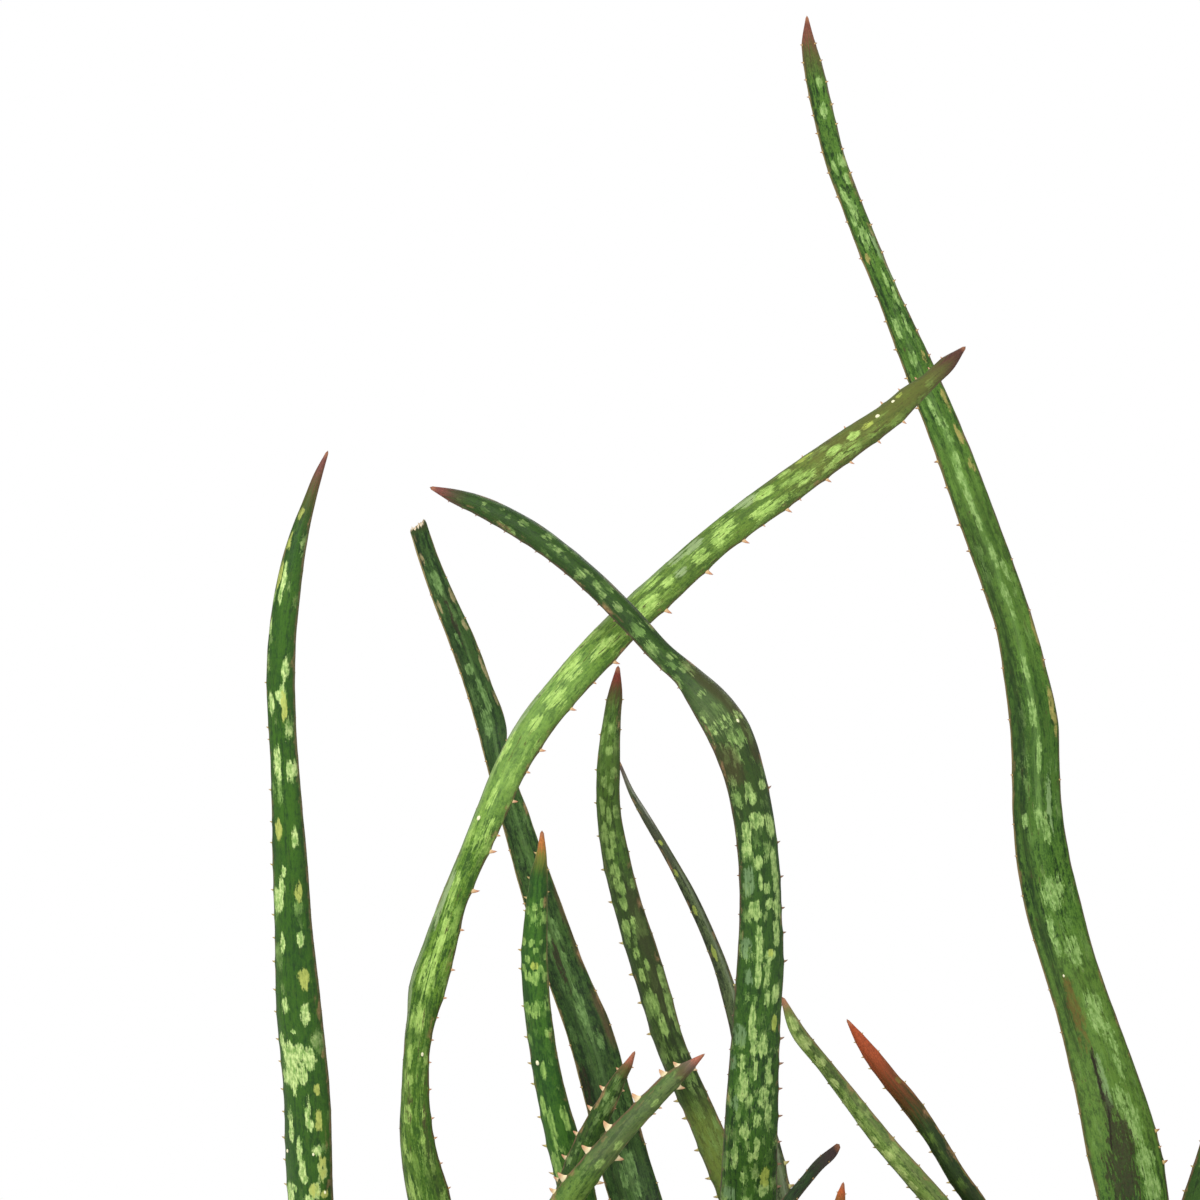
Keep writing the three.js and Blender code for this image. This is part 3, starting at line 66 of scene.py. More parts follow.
    {"name": "leaf_long_arch", "channel": -0.09, "rows": [[-95.73, -5.93, 226.0, 24], [-98.25, -4.58, 234.55, 21.42], [-97.87, -4.0, 244.1, 18.84], [-104.0, -8.15, 267.58, 17.39], [-110.43, -12.28, 290.91, 15.95], [-116.28, -15.8, 316.33, 15.39], [-118.01, -18.3, 324.8, 13.8], [-119.1, -20.38, 333.32, 12.57], [-119.5, -22.72, 350.16, 10.14], [-118.52, -25.03, 366.97, 9.78], [-117.19, -26.76, 375.29, 10.8], [-115.61, -27.86, 383.22, 13.19], [-110.9, -28.59, 399.11, 12.32], [-106.16, -29.09, 414.87, 10.09], [-99.78, -29.2, 430.05, 10.26], [-93.32, -28.54, 445.13, 11.3], [-86.83, -27.08, 460.13, 11.99], [-78.52, -25.23, 474.28, 12.87], [-68.38, -23.24, 487.15, 12.89], [-57.37, -20.86, 499.39, 13.6], [-45.9, -17.84, 511.25, 13.12], [-33.62, -13.99, 522.47, 12.98], [-14.94, -9.15, 539.16, 11.99], [5.3, -3.75, 554.24, 12.56], [19.19, 1.38, 564.26, 12.09], [33.21, 5.98, 574.2, 11.08], [47.31, 10.06, 584.13, 9.7], [53.82, 13.44, 590.09, 8.49], [60.69, 16.34, 595.61, 6.38], [67.1, 19.15, 601.64, 6.04], [73.56, 22.0, 607.69, 1.42]], "face": [[0.0, [0.97, -0.26, 0.75]], [0.06, [0.97, -0.26, 0.75]], [0.15, [0.35, 1, 0.1]], [0.3, [0.35, 1, 0.0]], [0.45, [0.4, 0.95, -0.2]], [0.7, [0.3, 1, -0.35]], [1, [0.25, 1, -0.3]]], "lft": -1, "teeth": {"-1": [[0.8446, 0.9], [0.8846, 1.2], [0.9206, 1.6], [0.9393, 1.2], [0.9546, 1.4], [0.9686, 1.2], [0.982, 1.0]], "1": [[0.1948, 1.2], [0.2161, 1.2], [0.2368, 1.4], [0.2522, 1.3], [0.2742, 1.1], [0.2949, 1.0], [0.3129, 1.1], [0.3309, 1.0], [0.3469, 1.4], [0.3689, 1.6], [0.3983, 1.6], [0.429, 2.8], [0.4603, 2.6], [0.473, 1.4], [0.4997, 2.0], [0.5243, 1.6], [0.5437, 2.2], [0.5831, 2.2], [0.6091, 1.2], [0.6304, 2.4], [0.6858, 2.8], [0.7285, 2.8], [0.7658, 2.6], [0.7852, 1.0], [0.8065, 2.4], [0.8192, 1.0], [0.8459, 2.2], [0.8692, 1.8], [0.8973, 1.6], [0.9206, 1.8]]}, "seen": True, "auto": [1.2, 15, 0.25, 1], "tk": 0.88, "viewer_up": False, "drops": [[0.9253, -0.39, 1.3], [0.9066, -0.15, 1.5], [0.4783, -0.35, 1.6], [0.3022, 0.63, 1.3]], "marks": [[0.8326, 0.39, 9.8, 3.4, "pale", 0.75], [0.8225, -0.65, 7.0, 2.6, "pale", 0.8], [0.7999, -0.24, 7.7, 3.4, "pale", 1.01], [0.7905, 0.48, 9.8, 3.0, "pale", 0.95], [0.7598, -0.08, 9.0, 6.8, "pale", 0.76], [0.7498, 0.32, 4.9, 4.5, "pale", 0.74], [0.7318, 0.37, 7.6, 4.9, "pale", 0.76], [0.6925, -0.46, 9.7, 4.5, "pale", 0.73], [0.7005, 0.17, 5.5, 3.0, "pale", 0.98], [0.6778, 0.34, 9.0, 4.5, "pale", 0.86], [0.6251, -0.84, 13.1, 3.0, "pale", 0.98], [0.6324, 0.25, 12.4, 2.6, "pale", 0.93], [0.6071, -0.31, 11.0, 2.6, "pale", 1.06], [0.6044, 0.0, 7.6, 4.5, "pale", 0.77], [0.5817, 0.23, 8.9, 6.8, "pale", 0.89], [0.5584, 0.13, 6.9, 3.0, "pale", 0.96], [0.533, -0.6, 11.0, 3.0, "pale", 0.91], [0.4977, -0.01, 9.6, 3.0, "pale", 0.89], [0.4736, 0.43, 10.3, 3.0, "pale", 0.76], [0.4243, -0.03, 12.3, 2.6, "pale", 0.91], [0.3816, 0.15, 21.2, 3.3, "pale", 0.82], [0.3596, 0.02, 14.4, 4.4, "pale", 0.93], [0.3289, -0.04, 11.0, 5.1, "pale", 0.92], [0.2995, -0.27, 7.6, 2.2, "pale", 1.05], [0.2815, -0.19, 3.4, 2.2, "pale", 0.87], [0.2555, -0.36, 6.2, 3.7, "pale", 0.78], [0.2568, 0.57, 3.4, 1.9, "pale", 0.83], [0.2335, -0.55, 7.6, 1.9, "pale", 0.89], [0.2255, -0.33, 4.1, 2.2, "pale", 0.85], [0.1988, -0.49, 9.7, 4.5, "pale", 1.04], [0.2382, 0.48, 4.1, 1.9, "pale", 0.98], [0.8632, 0.1, 5.6, 3.0, "pale", 1.03], [0.8826, -0.04, 4.9, 3.0, "pale", 0.96], [0.8419, -0.73, 7.7, 2.3, "lime", 0.99], [0.8966, -0.03, 4.2, 2.3, "lime", 0.78], [0.932, -0.48, 3.5, 1.9, "lime", 1.03], [0.7852, -0.58, 9.8, 3.8, "silver", 0.88], [0.7345, -0.43, 7.6, 3.8, "silver", 0.96], [0.7191, -0.65, 7.6, 3.8, "silver", 0.77], [0.7125, 0.3, 5.5, 3.0, "silver", 0.76], [0.5757, -1.0, 15.1, 3.4, "silver", 0.83], [0.555, -0.86, 15.1, 3.0, "silver", 0.87], [0.4149, -0.55, 20.5, 2.6, "silver", 1.07], [0.4069, -1.0, 24.0, 2.6, "silver", 0.75], [0.3489, -0.86, 17.1, 2.6, "silver", 0.97], [0.3289, -0.89, 13.7, 2.2, "silver", 0.94], [0.8853, -0.61, 31.7, 9.9, "wash", 0.75], [0.9313, -0.24, 21.2, 9.0, "wash", 0.78], [0.8252, -1.0, 21.0, 6.1, "wash", 0.82]], "look": {"base": [104, 142, 46], "shade": [58, 98, 28], "deep": [44, 76, 22], "spot": [184, 220, 118], "spot2": [144, 184, 86], "cx": 3.0, "cy": 14.0, "share": 0.5, "share2": 0.6, "tip": [96, 60, 52], "tip2": [86, 82, 44], "tiplen": 16, "margin": [92, 80, 50], "marginw": 0.28, "edge_shade": 0.4, "silver": [158, 180, 132], "wash": [92, 96, 44], "streak": 2.6, "contrast": 1.3, "tooth": [214, 184, 140], "tooth_tip": [190, 138, 108], "zones": [[0.82, 1.0, 0.7, [104, 102, 52]], [0.0, 0.34, 0.38, [70, 112, 38]], [0.48, 0.62, 0.45, [140, 180, 92]], [0.64, 0.82, 0.4, [104, 124, 56]]], "stripes": [[-0.8, 0.16, 0.5, 0.34, 0.72, [160, 184, 134]], [0.72, 0.2, 0.65, 0.08, 0.26, [52, 66, 36]], [0.1, 0.2, 0.25, 0.5, 0.8, [84, 118, 44]]], "rag": [0.5, 0.7, 0.6, 1.3]}},
    {"name": "leaf_left_arch", "channel": -0.09, "rows": [[-10.92, 9.54, 224.0, 24], [-10.23, 2.36, 229.84, 22.48], [-10.57, -2.0, 236.68, 20.97], [-8.26, -15.03, 261.99, 20.41], [-5.97, -27.14, 288.4, 19.88], [-5.37, -37.09, 321.22, 19.04], [-5.14, -44.04, 334.47, 18.26], [-4.84, -49.03, 347.31, 17.68], [-4.2, -53.48, 364.0, 16.61], [-3.37, -57.56, 380.53, 16.06], [-2.51, -61.24, 396.92, 15.84], [-2.58, -64.64, 413.23, 14.47], [-3.23, -67.74, 429.43, 14.1], [-5.13, -70.41, 445.45, 13.9], [-8.58, -72.2, 461.17, 14.21], [-13.21, -72.73, 473.75, 15.2], [-17.32, -72.14, 480.64, 14.38], [-22.09, -70.77, 487.0, 12.25], [-27.35, -68.63, 492.92, 9.28], [-35.25, -65.66, 499.92, 8.31], [-46.02, -62.04, 511.64, 8.5], [-57.35, -58.26, 522.97, 8.36], [-69.57, -54.43, 533.53, 8.38], [-82.97, -50.23, 542.76, 8.58], [-97.49, -46.0, 550.26, 7.09], [-105.23, -42.59, 553.17, 5.25], [-112.99, -40.0, 555.99, 1.36]], "face": [[0.0, [-0.34, 0.94, 0.75]], [0.06, [-0.34, 0.94, 0.75]], [0.3, [0.1, 1, 0.2]], [0.55, [-0.25, 1, 0.1]], [0.72, [-0.35, 0.95, -0.1]], [1, [-0.1, 1, -0.45]]], "lft": -1, "teeth": {"-1": [[0.453, 0.8], [0.511, 0.7], [0.545, 0.9], [0.571, 0.9], [0.7198, 0.8], [0.7425, 0.8], [0.7612, 0.8], [0.7825, 0.8], [0.7985, 0.8], [0.8179, 0.9], [0.8366, 0.8], [0.8572, 0.9], [0.8746, 0.8], [0.8893, 0.9], [0.9053, 0.8], [0.9226, 0.9], [0.9366, 0.8], [0.952, 0.8], [0.966, 0.7], [0.9807, 0.7]], "1": [[0.2635, 2.0], [0.2875, 2.0], [0.3102, 1.9], [0.3342, 2.0], [0.3589, 1.8], [0.3809, 2.0], [0.4029, 2.0], [0.4323, 1.3], [0.469, 1.8], [0.493, 1.5], [0.5137, 1.6], [0.5397, 1.6], [0.5677, 1.5], [0.6124, 1.6]]}, "seen": True, "auto": [1.0, 12, 0.45, 1], "tk": 0.75, "viewer_up": False, "drops": [[0.6691, 0.46, 1.1]], "marks": [[0.9493, -0.05, 2.0, 2.2, "pale", 0.62], [0.934, 0.39, 2.4, 2.2, "pale", 0.62], [0.926, -0.1, 2.4, 2.2, "pale", 0.62], [0.9113, 0.07, 4.0, 2.9, "pale", 0.62], [0.9146, -1.0, 2.0, 1.8, "pale", 0.62], [0.8886, 0.23, 4.0, 2.9, "pale", 0.62], [0.8753, -0.08, 4.0, 2.1, "pale", 0.62], [0.8773, -0.96, 2.7, 1.8, "pale", 0.62], [0.8299, -0.24, 4.7, 2.1, "pale", 0.62], [0.8205, -0.43, 3.3, 2.8, "pale", 0.62], [0.7432, 0.19, 4.0, 2.8, "pale", 0.62], [0.7278, -0.03, 3.0, 2.5, "pale", 0.62], [0.7025, -0.23, 3.3, 3.5, "pale", 0.4], [0.6738, -0.08, 5.3, 16.7, "pale", 0.35], [0.6838, -0.98, 3.3, 4.9, "pale", 0.5], [0.6184, 0.6, 3.6, 2.8, "pale", 0.84], [0.6097, -0.08, 4.3, 2.8, "pale", 0.87], [0.5911, -0.03, 5.6, 5.2, "pale", 0.74], [0.5844, 0.62, 8.6, 2.8, "pale", 0.92], [0.5844, -0.55, 6.6, 3.1, "pale", 0.75], [0.5684, -0.66, 5.3, 2.8, "pale", 1.05], [0.5564, -0.17, 5.0, 2.7, "pale", 1.0], [0.553, 0.6, 10.0, 2.1, "pale", 1.06], [0.5404, -0.13, 6.0, 1.7, "pale", 0.89], [0.5344, 0.2, 4.0, 2.4, "pale", 0.82], [0.537, 0.64, 7.3, 2.4, "pale", 0.95], [0.521, 0.27, 3.7, 2.7, "pale", 1.0], [0.5163, -0.36, 7.0, 4.1, "pale", 0.8], [0.517, 0.65, 6.6, 2.4, "pale", 0.74], [0.4963, 0.61, 8.7, 2.4, "pale", 0.92], [0.495, -0.22, 7.0, 2.7, "pale", 0.79], [0.4783, 0.32, 4.3, 3.4, "pale", 0.75], [0.479, -0.16, 6.3, 2.0, "pale", 1.07], [0.4696, 0.24, 3.7, 2.0, "pale", 0.91], [0.4623, -0.17, 8.7, 2.0, "pale", 1.04], [0.4603, 0.21, 8.7, 2.0, "pale", 0.94], [0.4443, 0.64, 6.0, 2.7, "pale", 0.99], [0.441, 0.28, 5.0, 2.0, "pale", 0.86], [0.4209, -0.25, 12.0, 2.4, "pale", 0.92], [0.4036, -0.11, 11.4, 1.7, "pale", 1.07], [0.4003, 0.27, 8.7, 3.0, "pale", 0.78], [0.3829, 0.56, 6.7, 2.0, "pale", 0.81], [0.3849, -0.54, 5.7, 2.4, "pale", 0.81], [0.3789, 0.04, 6.7, 1.7, "pale", 0.8], [0.3716, 0.61, 5.0, 2.4, "pale", 0.96], [0.3562, 0.4, 6.7, 3.7, "pale", 0.91], [0.3636, -0.4, 10.4, 3.4, "pale", 0.93], [0.3362, 0.2, 5.1, 3.0, "pale", 0.74], [0.3262, -0.23, 6.1, 3.7, "pale", 0.84], [0.3402, 0.61, 7.1, 2.7, "pale", 0.81], [0.2995, -0.55, 9.8, 2.4, "pale", 1.01], [0.3022, 0.03, 4.4, 2.0, "pale", 0.74], [0.3109, 0.24, 7.4, 2.0, "pale", 0.99], [0.2822, -0.23, 4.8, 2.0, "pale", 0.92], [0.2668, 0.51, 5.1, 3.4, "pale", 0.94], [0.2542, -0.12, 5.5, 2.4, "pale", 0.91], [0.8446, -0.12, 4.0, 3.2, "pale", 0.45], [0.8045, -0.25, 5.3, 2.8, "pale", 0.45], [0.541, -0.62, 11.9, 3.4, "silver", 0.62], [0.4837, -0.7, 8.0, 3.4, "silver", 0.62], [0.4596, -0.55, 6.0, 3.0, "silver", 0.62], [0.4076, -0.7, 8.0, 4.7, "silver", 0.62], [0.3829, -0.86, 6.0, 2.4, "silver", 0.62], [0.3482, -0.66, 5.4, 3.0, "silver", 0.62], [0.2615, -0.69, 6.1, 4.8, "silver", 0.62], [0.4189, 0.68, 6.0, 2.0, "lime", 1.07], [0.2815, 0.56, 8.1, 3.1, "lime", 0.8], [0.4803, 0.32, 2.7, 2.0, "lime", 0.94], [0.6958, 0.87, 26.5, 8.4, "wash", 1.07], [0.6511, 0.72, 11.9, 4.2, "wash", 0.78], [0.6411, -0.7, 13.2, 7.6, "wash", 1.04]], "look": {"base": [60, 100, 30], "shade": [38, 72, 26], "deep": [26, 50, 18], "spot": [182, 212, 130], "spot2": [124, 164, 84], "cx": 3.4, "cy": 6.6, "share": 0.35, "share2": 0.3, "square": True, "tip": [134, 76, 68], "tip2": [78, 62, 48], "tiplen": 9, "margin": [86, 70, 52], "marginw": 0.3, "streak": 0.5, "wash": [64, 60, 34], "silver": [120, 152, 106], "contrast": 1.25, "zones": [[0.7, 1.0, 0.62, [38, 60, 20]], [0.58, 0.71, 0.66, [48, 58, 30]], [0.46, 0.6, 0.5, [46, 78, 28]], [0.674, 0.702, 0.55, [112, 136, 84]]], "tooth": [170, 140, 110], "tooth_tip": [140, 104, 88], "fade": [0.64, 0.74, 0.5]}},
    {"name": "leaf_slim_front", "channel": -0.09, "rows": [[-80.48, -10.74, 230.0, 20], [-74.07, -15.88, 238.24, 18.27], [-70.47, -20.0, 247.48, 16.54], [-62.85, -27.77, 271.38, 15.07], [-61.45, -34.83, 294.89, 14.31], [-63.46, -40.27, 314.51, 13.57], [-64.79, -43.96, 322.2, 13.19], [-67.81, -46.87, 333.45, 12.15], [-71.15, -49.7, 346.66, 10.77], [-73.97, -52.34, 360.12, 9.74], [-75.78, -54.73, 371.82, 9.39], [-77.08, -57.18, 383.15, 9.37], [-77.87, -59.74, 399.79, 9.02], [-77.0, -62.03, 416.34, 7.33], [-76.14, -63.72, 427.47, 5.66], [-75.45, -64.94, 432.88, 3.66], [-75.27, -66.0, 440.59, 1.33]], "face": [[0.0, [-0.94, 0.34, 0.75]], [0.06, [-0.94, 0.34, 0.75]], [0.4, [0.3, 1, 0.1]], [1, [0.25, 1, 0.1]]], "lft": -1, "teeth": {"-1": [[0.4229, 2.0], [0.469, 2.2], [0.5157, 2.2], [0.5624, 1.8], [0.6144, 1.8], [0.6464, 1.8], [0.6871, 1.6], [0.7352, 1.2], [0.7919, 1.4], [0.8199, 1.6], [0.8786, 1.1], [0.8986, 1.5], [0.9286, 1.3], [0.968, 1.3]], "1": [[0.9119, 0.8], [0.946, 0.9]]}, "seen": True, "auto": [1.1, 12, 1, 0.2], "tk": 0.78, "viewer_up": False, "drops": [[0.6511, -0.34, 1.5]], "marks": [[0.8899, -0.0, 3.0, 2.1, "pale", 0.81], [0.8826, -0.7, 3.0, 1.4, "pale", 1.01], [0.8959, 0.65, 3.0, 1.4, "pale", 0.9], [0.8719, -0.02, 2.7, 2.1, "pale", 0.75], [0.8732, 0.78, 2.7, 1.4, "pale", 0.85], [0.8352, -0.06, 2.7, 2.1, "pale", 0.98], [0.8366, 0.66, 2.7, 1.4, "pale", 0.72], [0.8339, -0.78, 2.7, 1.7, "pale", 0.89], [0.8239, 0.27, 2.7, 1.7, "pale", 0.81], [0.8105, -0.35, 2.7, 2.1, "pale", 0.98], [0.8139, 0.88, 2.7, 1.4, "pale", 0.97], [0.7945, 0.55, 2.7, 1.7, "pale", 1.0], [0.7965, -0.73, 2.3, 1.7, "pale", 0.97], [0.7845, -0.37, 3.7, 2.8, "pale", 0.76], [0.7819, 0.22, 4.7, 2.1, "pale", 1.05], [0.7825, 0.82, 4.0, 1.7, "pale", 0.82], [0.7358, -0.62, 4.4, 2.8, "pale", 0.91], [0.7325, 0.04, 6.0, 2.8, "pale", 0.81], [0.7418, 0.82, 6.0, 1.4, "pale", 0.75], [0.6958, 0.72, 4.0, 2.1, "pale", 0.74], [0.6391, 0.0, 6.0, 2.1, "pale", 0.94], [0.5837, -0.56, 6.1, 2.1, "pale", 1.06], [0.555, -0.23, 12.1, 2.5, "pale", 0.94], [0.531, -0.28, 8.8, 1.8, "pale", 0.83], [0.5584, 0.64, 8.8, 2.1, "pale", 0.95], [0.4883, -0.57, 8.8, 3.6, "pale", 1.01], [0.8005, 0.18, 2.7, 2.8, "lime", 0.81]], "look": {"base": [62, 106, 32], "shade": [38, 80, 26], "deep": [30, 60, 20], "spot": [160, 198, 104], "spot2": [116, 158, 76], "cx": 3.2, "cy": 5.2, "share": 0.18, "share2": 0.15, "square": True, "tip": [196, 120, 60], "tip2": [130, 124, 52], "tiplen": 8, "streak": 0.4, "margin": [110, 104, 62], "marginw": 0.25, "contrast": 1.0, "tooth": [196, 192, 128], "tooth_tip": [172, 144, 96]}},
    {"name": "leaf_mid_upright", "channel": -0.09, "rows": [[-5.84, 14.2, 230.0, 20], [-2.09, 10.46, 235.28, 17.75], [-1.06, 8.0, 241.56, 15.49], [0.24, 5.5, 264.93, 14.06], [-2.62, 4.34, 287.98, 12.64], [-7.88, 4.54, 307.62, 11.94], [-15.23, 5.45, 324.69, 11.25], [-21.17, 6.57, 338.6, 10.55], [-26.07, 7.69, 349.01, 10.56], [-31.86, 8.88, 362.95, 10.57], [-36.09, 10.3, 377.74, 11.11], [-41.11, 11.96, 393.71, 11.13], [-46.1, 13.78, 409.79, 10.26], [-50.22, 15.59, 426.16, 9.92], [-52.86, 17.18, 442.93, 8.69], [-52.92, 18.36, 459.95, 8.34], [-51.58, 19.12, 476.92, 6.22], [-50.49, 19.62, 485.36, 4.97], [-49.6, 20.0, 493.83, 1.42]], "face": [[0.0, [-0.91, 0.42, 0.75]], [0.06, [-0.91, 0.42, 0.75]], [0.4, [0.2, 0.95, 0.0]], [1, [0.25, 1, 0.0]]], "lft": -1, "teeth": {"-1": [[0.3069, 2.0], [0.3329, 2.3], [0.3709, 2.2], [0.4143, 2.2], [0.439, 2.2], [0.5277, 2.0], [0.569, 2.0], [0.6071, 2.0], [0.6484, 2.0], [0.7018, 1.9], [0.7438, 1.6], [0.7859, 1.2], [0.8266, 1.2], [0.8679, 1.1], [0.9126, 0.9], [0.9573, 0.9]], "1": [[0.8753, 0.8], [0.9213, 0.7], [0.96, 0.8]]}, "seen": True, "auto": [1.3, 12, 1, 0.4], "tk": 0.78, "viewer_up": False, "marks": [[0.9226, 0.09, 2.8, 2.2, "pale", 0.77], [0.9059, -0.69, 3.2, 1.8, "pale", 0.94], [0.8933, 0.16, 2.8, 2.6, "pale", 1.08], [0.8632, 0.57, 4.3, 2.2, "pale", 0.88], [0.8532, -0.18, 4.3, 2.2, "pale", 1.08], [0.8439, 0.33, 4.3, 2.2, "pale", 0.94], [0.8225, -0.38, 6.4, 2.2, "pale", 0.95], [0.8092, 0.14, 6.4, 1.8, "pale", 0.85], [0.8139, 0.68, 5.0, 1.8, "pale", 1.07], [0.7859, -0.37, 8.5, 2.6, "pale", 0.92], [0.7779, 0.18, 5.7, 2.2, "pale", 0.92], [0.7612, -0.24, 4.3, 3.3, "pale", 1.08], [0.7358, -0.17, 7.8, 3.6, "pale", 0.88], [0.7158, -0.01, 5.0, 2.9, "pale", 1.04], [0.7171, 0.83, 4.2, 1.8, "pale", 0.75], [0.6965, -0.08, 5.0, 2.5, "pale", 0.93], [0.6651, -0.43, 5.7, 3.3, "pale", 0.95], [0.6691, 0.21, 4.9, 1.8, "pale", 0.94], [0.6311, -0.28, 4.2, 2.9, "pale", 0.74], [0.6131, 0.19, 4.9, 1.8, "pale", 0.79], [0.6017, -0.34, 5.6, 2.2, "pale", 0.94], [0.5897, 0.82, 9.2, 2.2, "pale", 1.05], [0.565, -0.17, 9.2, 4.0, "pale", 0.87], [0.5597, 0.78, 11.3, 2.5, "pale", 0.79], [0.5337, 0.07, 8.5, 2.9, "pale", 0.85], [0.5284, 1.0, 9.2, 2.2, "pale", 0.77], [0.6611, 0.65, 28.3, 5.1, "wash", 1.04], [0.5757, 0.67, 21.2, 6.5, "wash", 1.02]], "look": {"base": [80, 118, 38], "shade": [52, 78, 28], "deep": [32, 48, 18], "spot": [150, 182, 100], "spot2": [110, 144, 70], "cx": 3.4, "cy": 7.4, "share": 0.5, "share2": 0.45, "square": True, "tip": [132, 56, 40], "tip2": [84, 60, 36], "tiplen": 9, "olive": 0.15, "olive_color": [84, 78, 38], "margin": [100, 88, 56], "marginw": 0.25, "wash": [52, 60, 28], "contrast": 1.35, "zones": [[0.42, 0.74, 0.8, [38, 54, 22]], [0.74, 0.92, 0.4, [76, 110, 42]], [0.16, 0.42, 0.6, [126, 140, 64]]], "stripes": [[0.45, 0.35, 0.3, 0.2, 0.72, [40, 50, 22]]], "tooth": [196, 192, 128], "tooth_tip": [172, 144, 96]}},
    {"name": "leaf_mid_thin", "channel": -0.05, "rows": [[-7.64, 24.36, 218.0, 21], [-1.22, 28.24, 226.06, 18.02], [3.08, 30.0, 235.12, 15.04], [8.67, 34.43, 255.73, 12.93], [11.06, 39.13, 276.44, 11.54], [9.49, 43.99, 295.47, 10.49], [7.19, 48.98, 310.98, 9.81], [3.07, 54.31, 328.4, 8.75], [-2.55, 59.91, 349.58, 7.69], [-7.86, 65.06, 370.99, 6.62], [-12.06, 69.16, 384.35, 5.71], [-15.2, 72.52, 392.29, 5.36], [-22.49, 75.66, 408.17, 5.0], [-30.9, 78.44, 423.63, 3.9], [-39.88, 80.63, 438.78, 3.35], [-44.3, 82.38, 446.47, 2.42], [-48.92, 84.0, 457.64, 1.12]], "face": [[0.0, [-0.71, -0.71, 0.75]], [0.06, [-0.71, -0.71, 0.75]], [0.4, [-0.55, -0.85, 0.3]], [1, [-0.65, -0.8, 0.3]]], "lft": 1, "teeth": {"-1": [[0.3556, 3.0], [0.3876, 2.8], [0.6438, 1.0]], "1": [[0.7045, 0.6], [0.7638, 0.6], [0.8172, 0.5], [0.8759, 0.5], [0.9286, 0.5]]}, "seen": True, "auto": [1.1, 14, 0.3, 1], "tk": 0.7, "viewer_up": True, "marks": [[0.8712, -0.09, 3.0, 1.6, "lime", 0.82], [0.8232, 0.35, 3.0, 1.6, "lime", 0.96], [0.7632, 0.36, 3.7, 1.7, "lime", 1.02], [0.6971, 0.22, 5.9, 1.6, "lime", 1.05], [0.9533, -1.0, 22.3, 2.1, "silver", 0.86], [0.9119, -1.0, 11.1, 1.6, "silver", 0.89], [0.8839, 0.25, 29.7, 4.1, "wash", 0.96]], "look": {"base": [106, 124, 80], "shade": [62, 78, 48], "deep": [30, 38, 26], "spot": [160, 178, 126], "spot2": [100, 122, 70], "cx": 2.4, "cy": 8.0, "share": 0.35, "share2": 0.15, "tip": [100, 88, 82], "tip2": [96, 96, 84], "tiplen": 8, "margin": [96, 84, 66], "marginw": 0.25, "silver": [170, 176, 164], "wash": [64, 66, 54], "tooth": [196, 192, 128], "tooth_tip": [172, 144, 96], "contrast": 1.2, "stripes": [[-0.5, 0.22, 0.5, 0.3, 1.0, [150, 162, 136]], [0.45, 0.25, 0.4, 0.3, 1.0, [40, 50, 32]]]}},
    {"name": "leaf_right_low", "channel": -0.09, "rows": [[93.13, -9.96, 230.0, 21], [94.26, -10.48, 232.62, 18.15], [95.66, -8.0, 236.24, 15.31], [91.26, -9.99, 252.31, 13.89], [82.67, -12.36, 273.6, 12.48], [71.31, -15.01, 293.82, 11.07], [59.34, -17.38, 311.15, 10.01], [52.81, -19.26, 318.8, 9.65], [41.76, -20.96, 331.54, 8.95], [31.53, -22.64, 344.84, 7.74], [21.35, -24.09, 358.05, 6.53], [11.2, -25.17, 371.31, 5.83], [6.77, -26.0, 381.14, 1.71]], "face": [[0.0, [0.09, 1.0, 0.75]], [0.06, [0.09, 1.0, 0.75]], [0.4, [0.35, 0.75, 0.55]], [1, [0.4, 0.75, 0.6]]], "lft": -1, "teeth": {"-1": [[0.5557, 2.2], [0.6164, 1.8], [0.6584, 2.0], [0.7131, 1.8], [0.7658, 1.2], [0.8119, 1.4], [0.8639, 1.2], [0.9179, 1.0]], "1": [[0.7452, 0.8], [0.8486, 0.8], [0.9026, 0.9], [0.9506, 0.9]]}, "seen": True, "auto": [1.2, 12, 1, 0.6], "tk": 0.7, "viewer_up": False, "marks": [[0.95, 0.45, 4.8, 3.0, "pale", 0.92], [0.9086, 0.31, 5.5, 3.7, "pale", 1.01], [0.8632, 0.33, 4.8, 3.3, "pale", 0.97], [0.8112, 0.18, 4.8, 3.2, "pale", 0.7], [0.7712, -0.32, 4.1, 2.7, "pale", 0.7], [0.7218, -0.48, 4.8, 4.0, "pale", 0.72], [0.6765, -0.13, 4.1, 2.7, "pale", 0.7], [0.6378, 0.0, 4.8, 4.1, "pale", 1.02], [0.5997, -0.09, 5.5, 3.6, "pale", 1.0], [0.5617, -0.18, 4.1, 3.1, "pale", 0.99]], "look": {"base": [134, 164, 82], "shade": [92, 124, 56], "deep": [56, 82, 34], "spot": [196, 218, 136], "spot2": [160, 190, 104], "cx": 3.8, "cy": 7.0, "share": 0.6, "share2": 0.35, "square": False, "tip": [182, 140, 104], "tip2": [130, 120, 70], "tiplen": 4, "margin": [128, 110, 76], "marginw": 0.25, "tooth": [196, 192, 128], "tooth_tip": [172, 144, 96], "streak": 0.5, "contrast": 1.1, "stripes": [[0.7, 0.22, 0.55, 0.1, 0.96, [92, 96, 66]]], "fill": 1.1}},
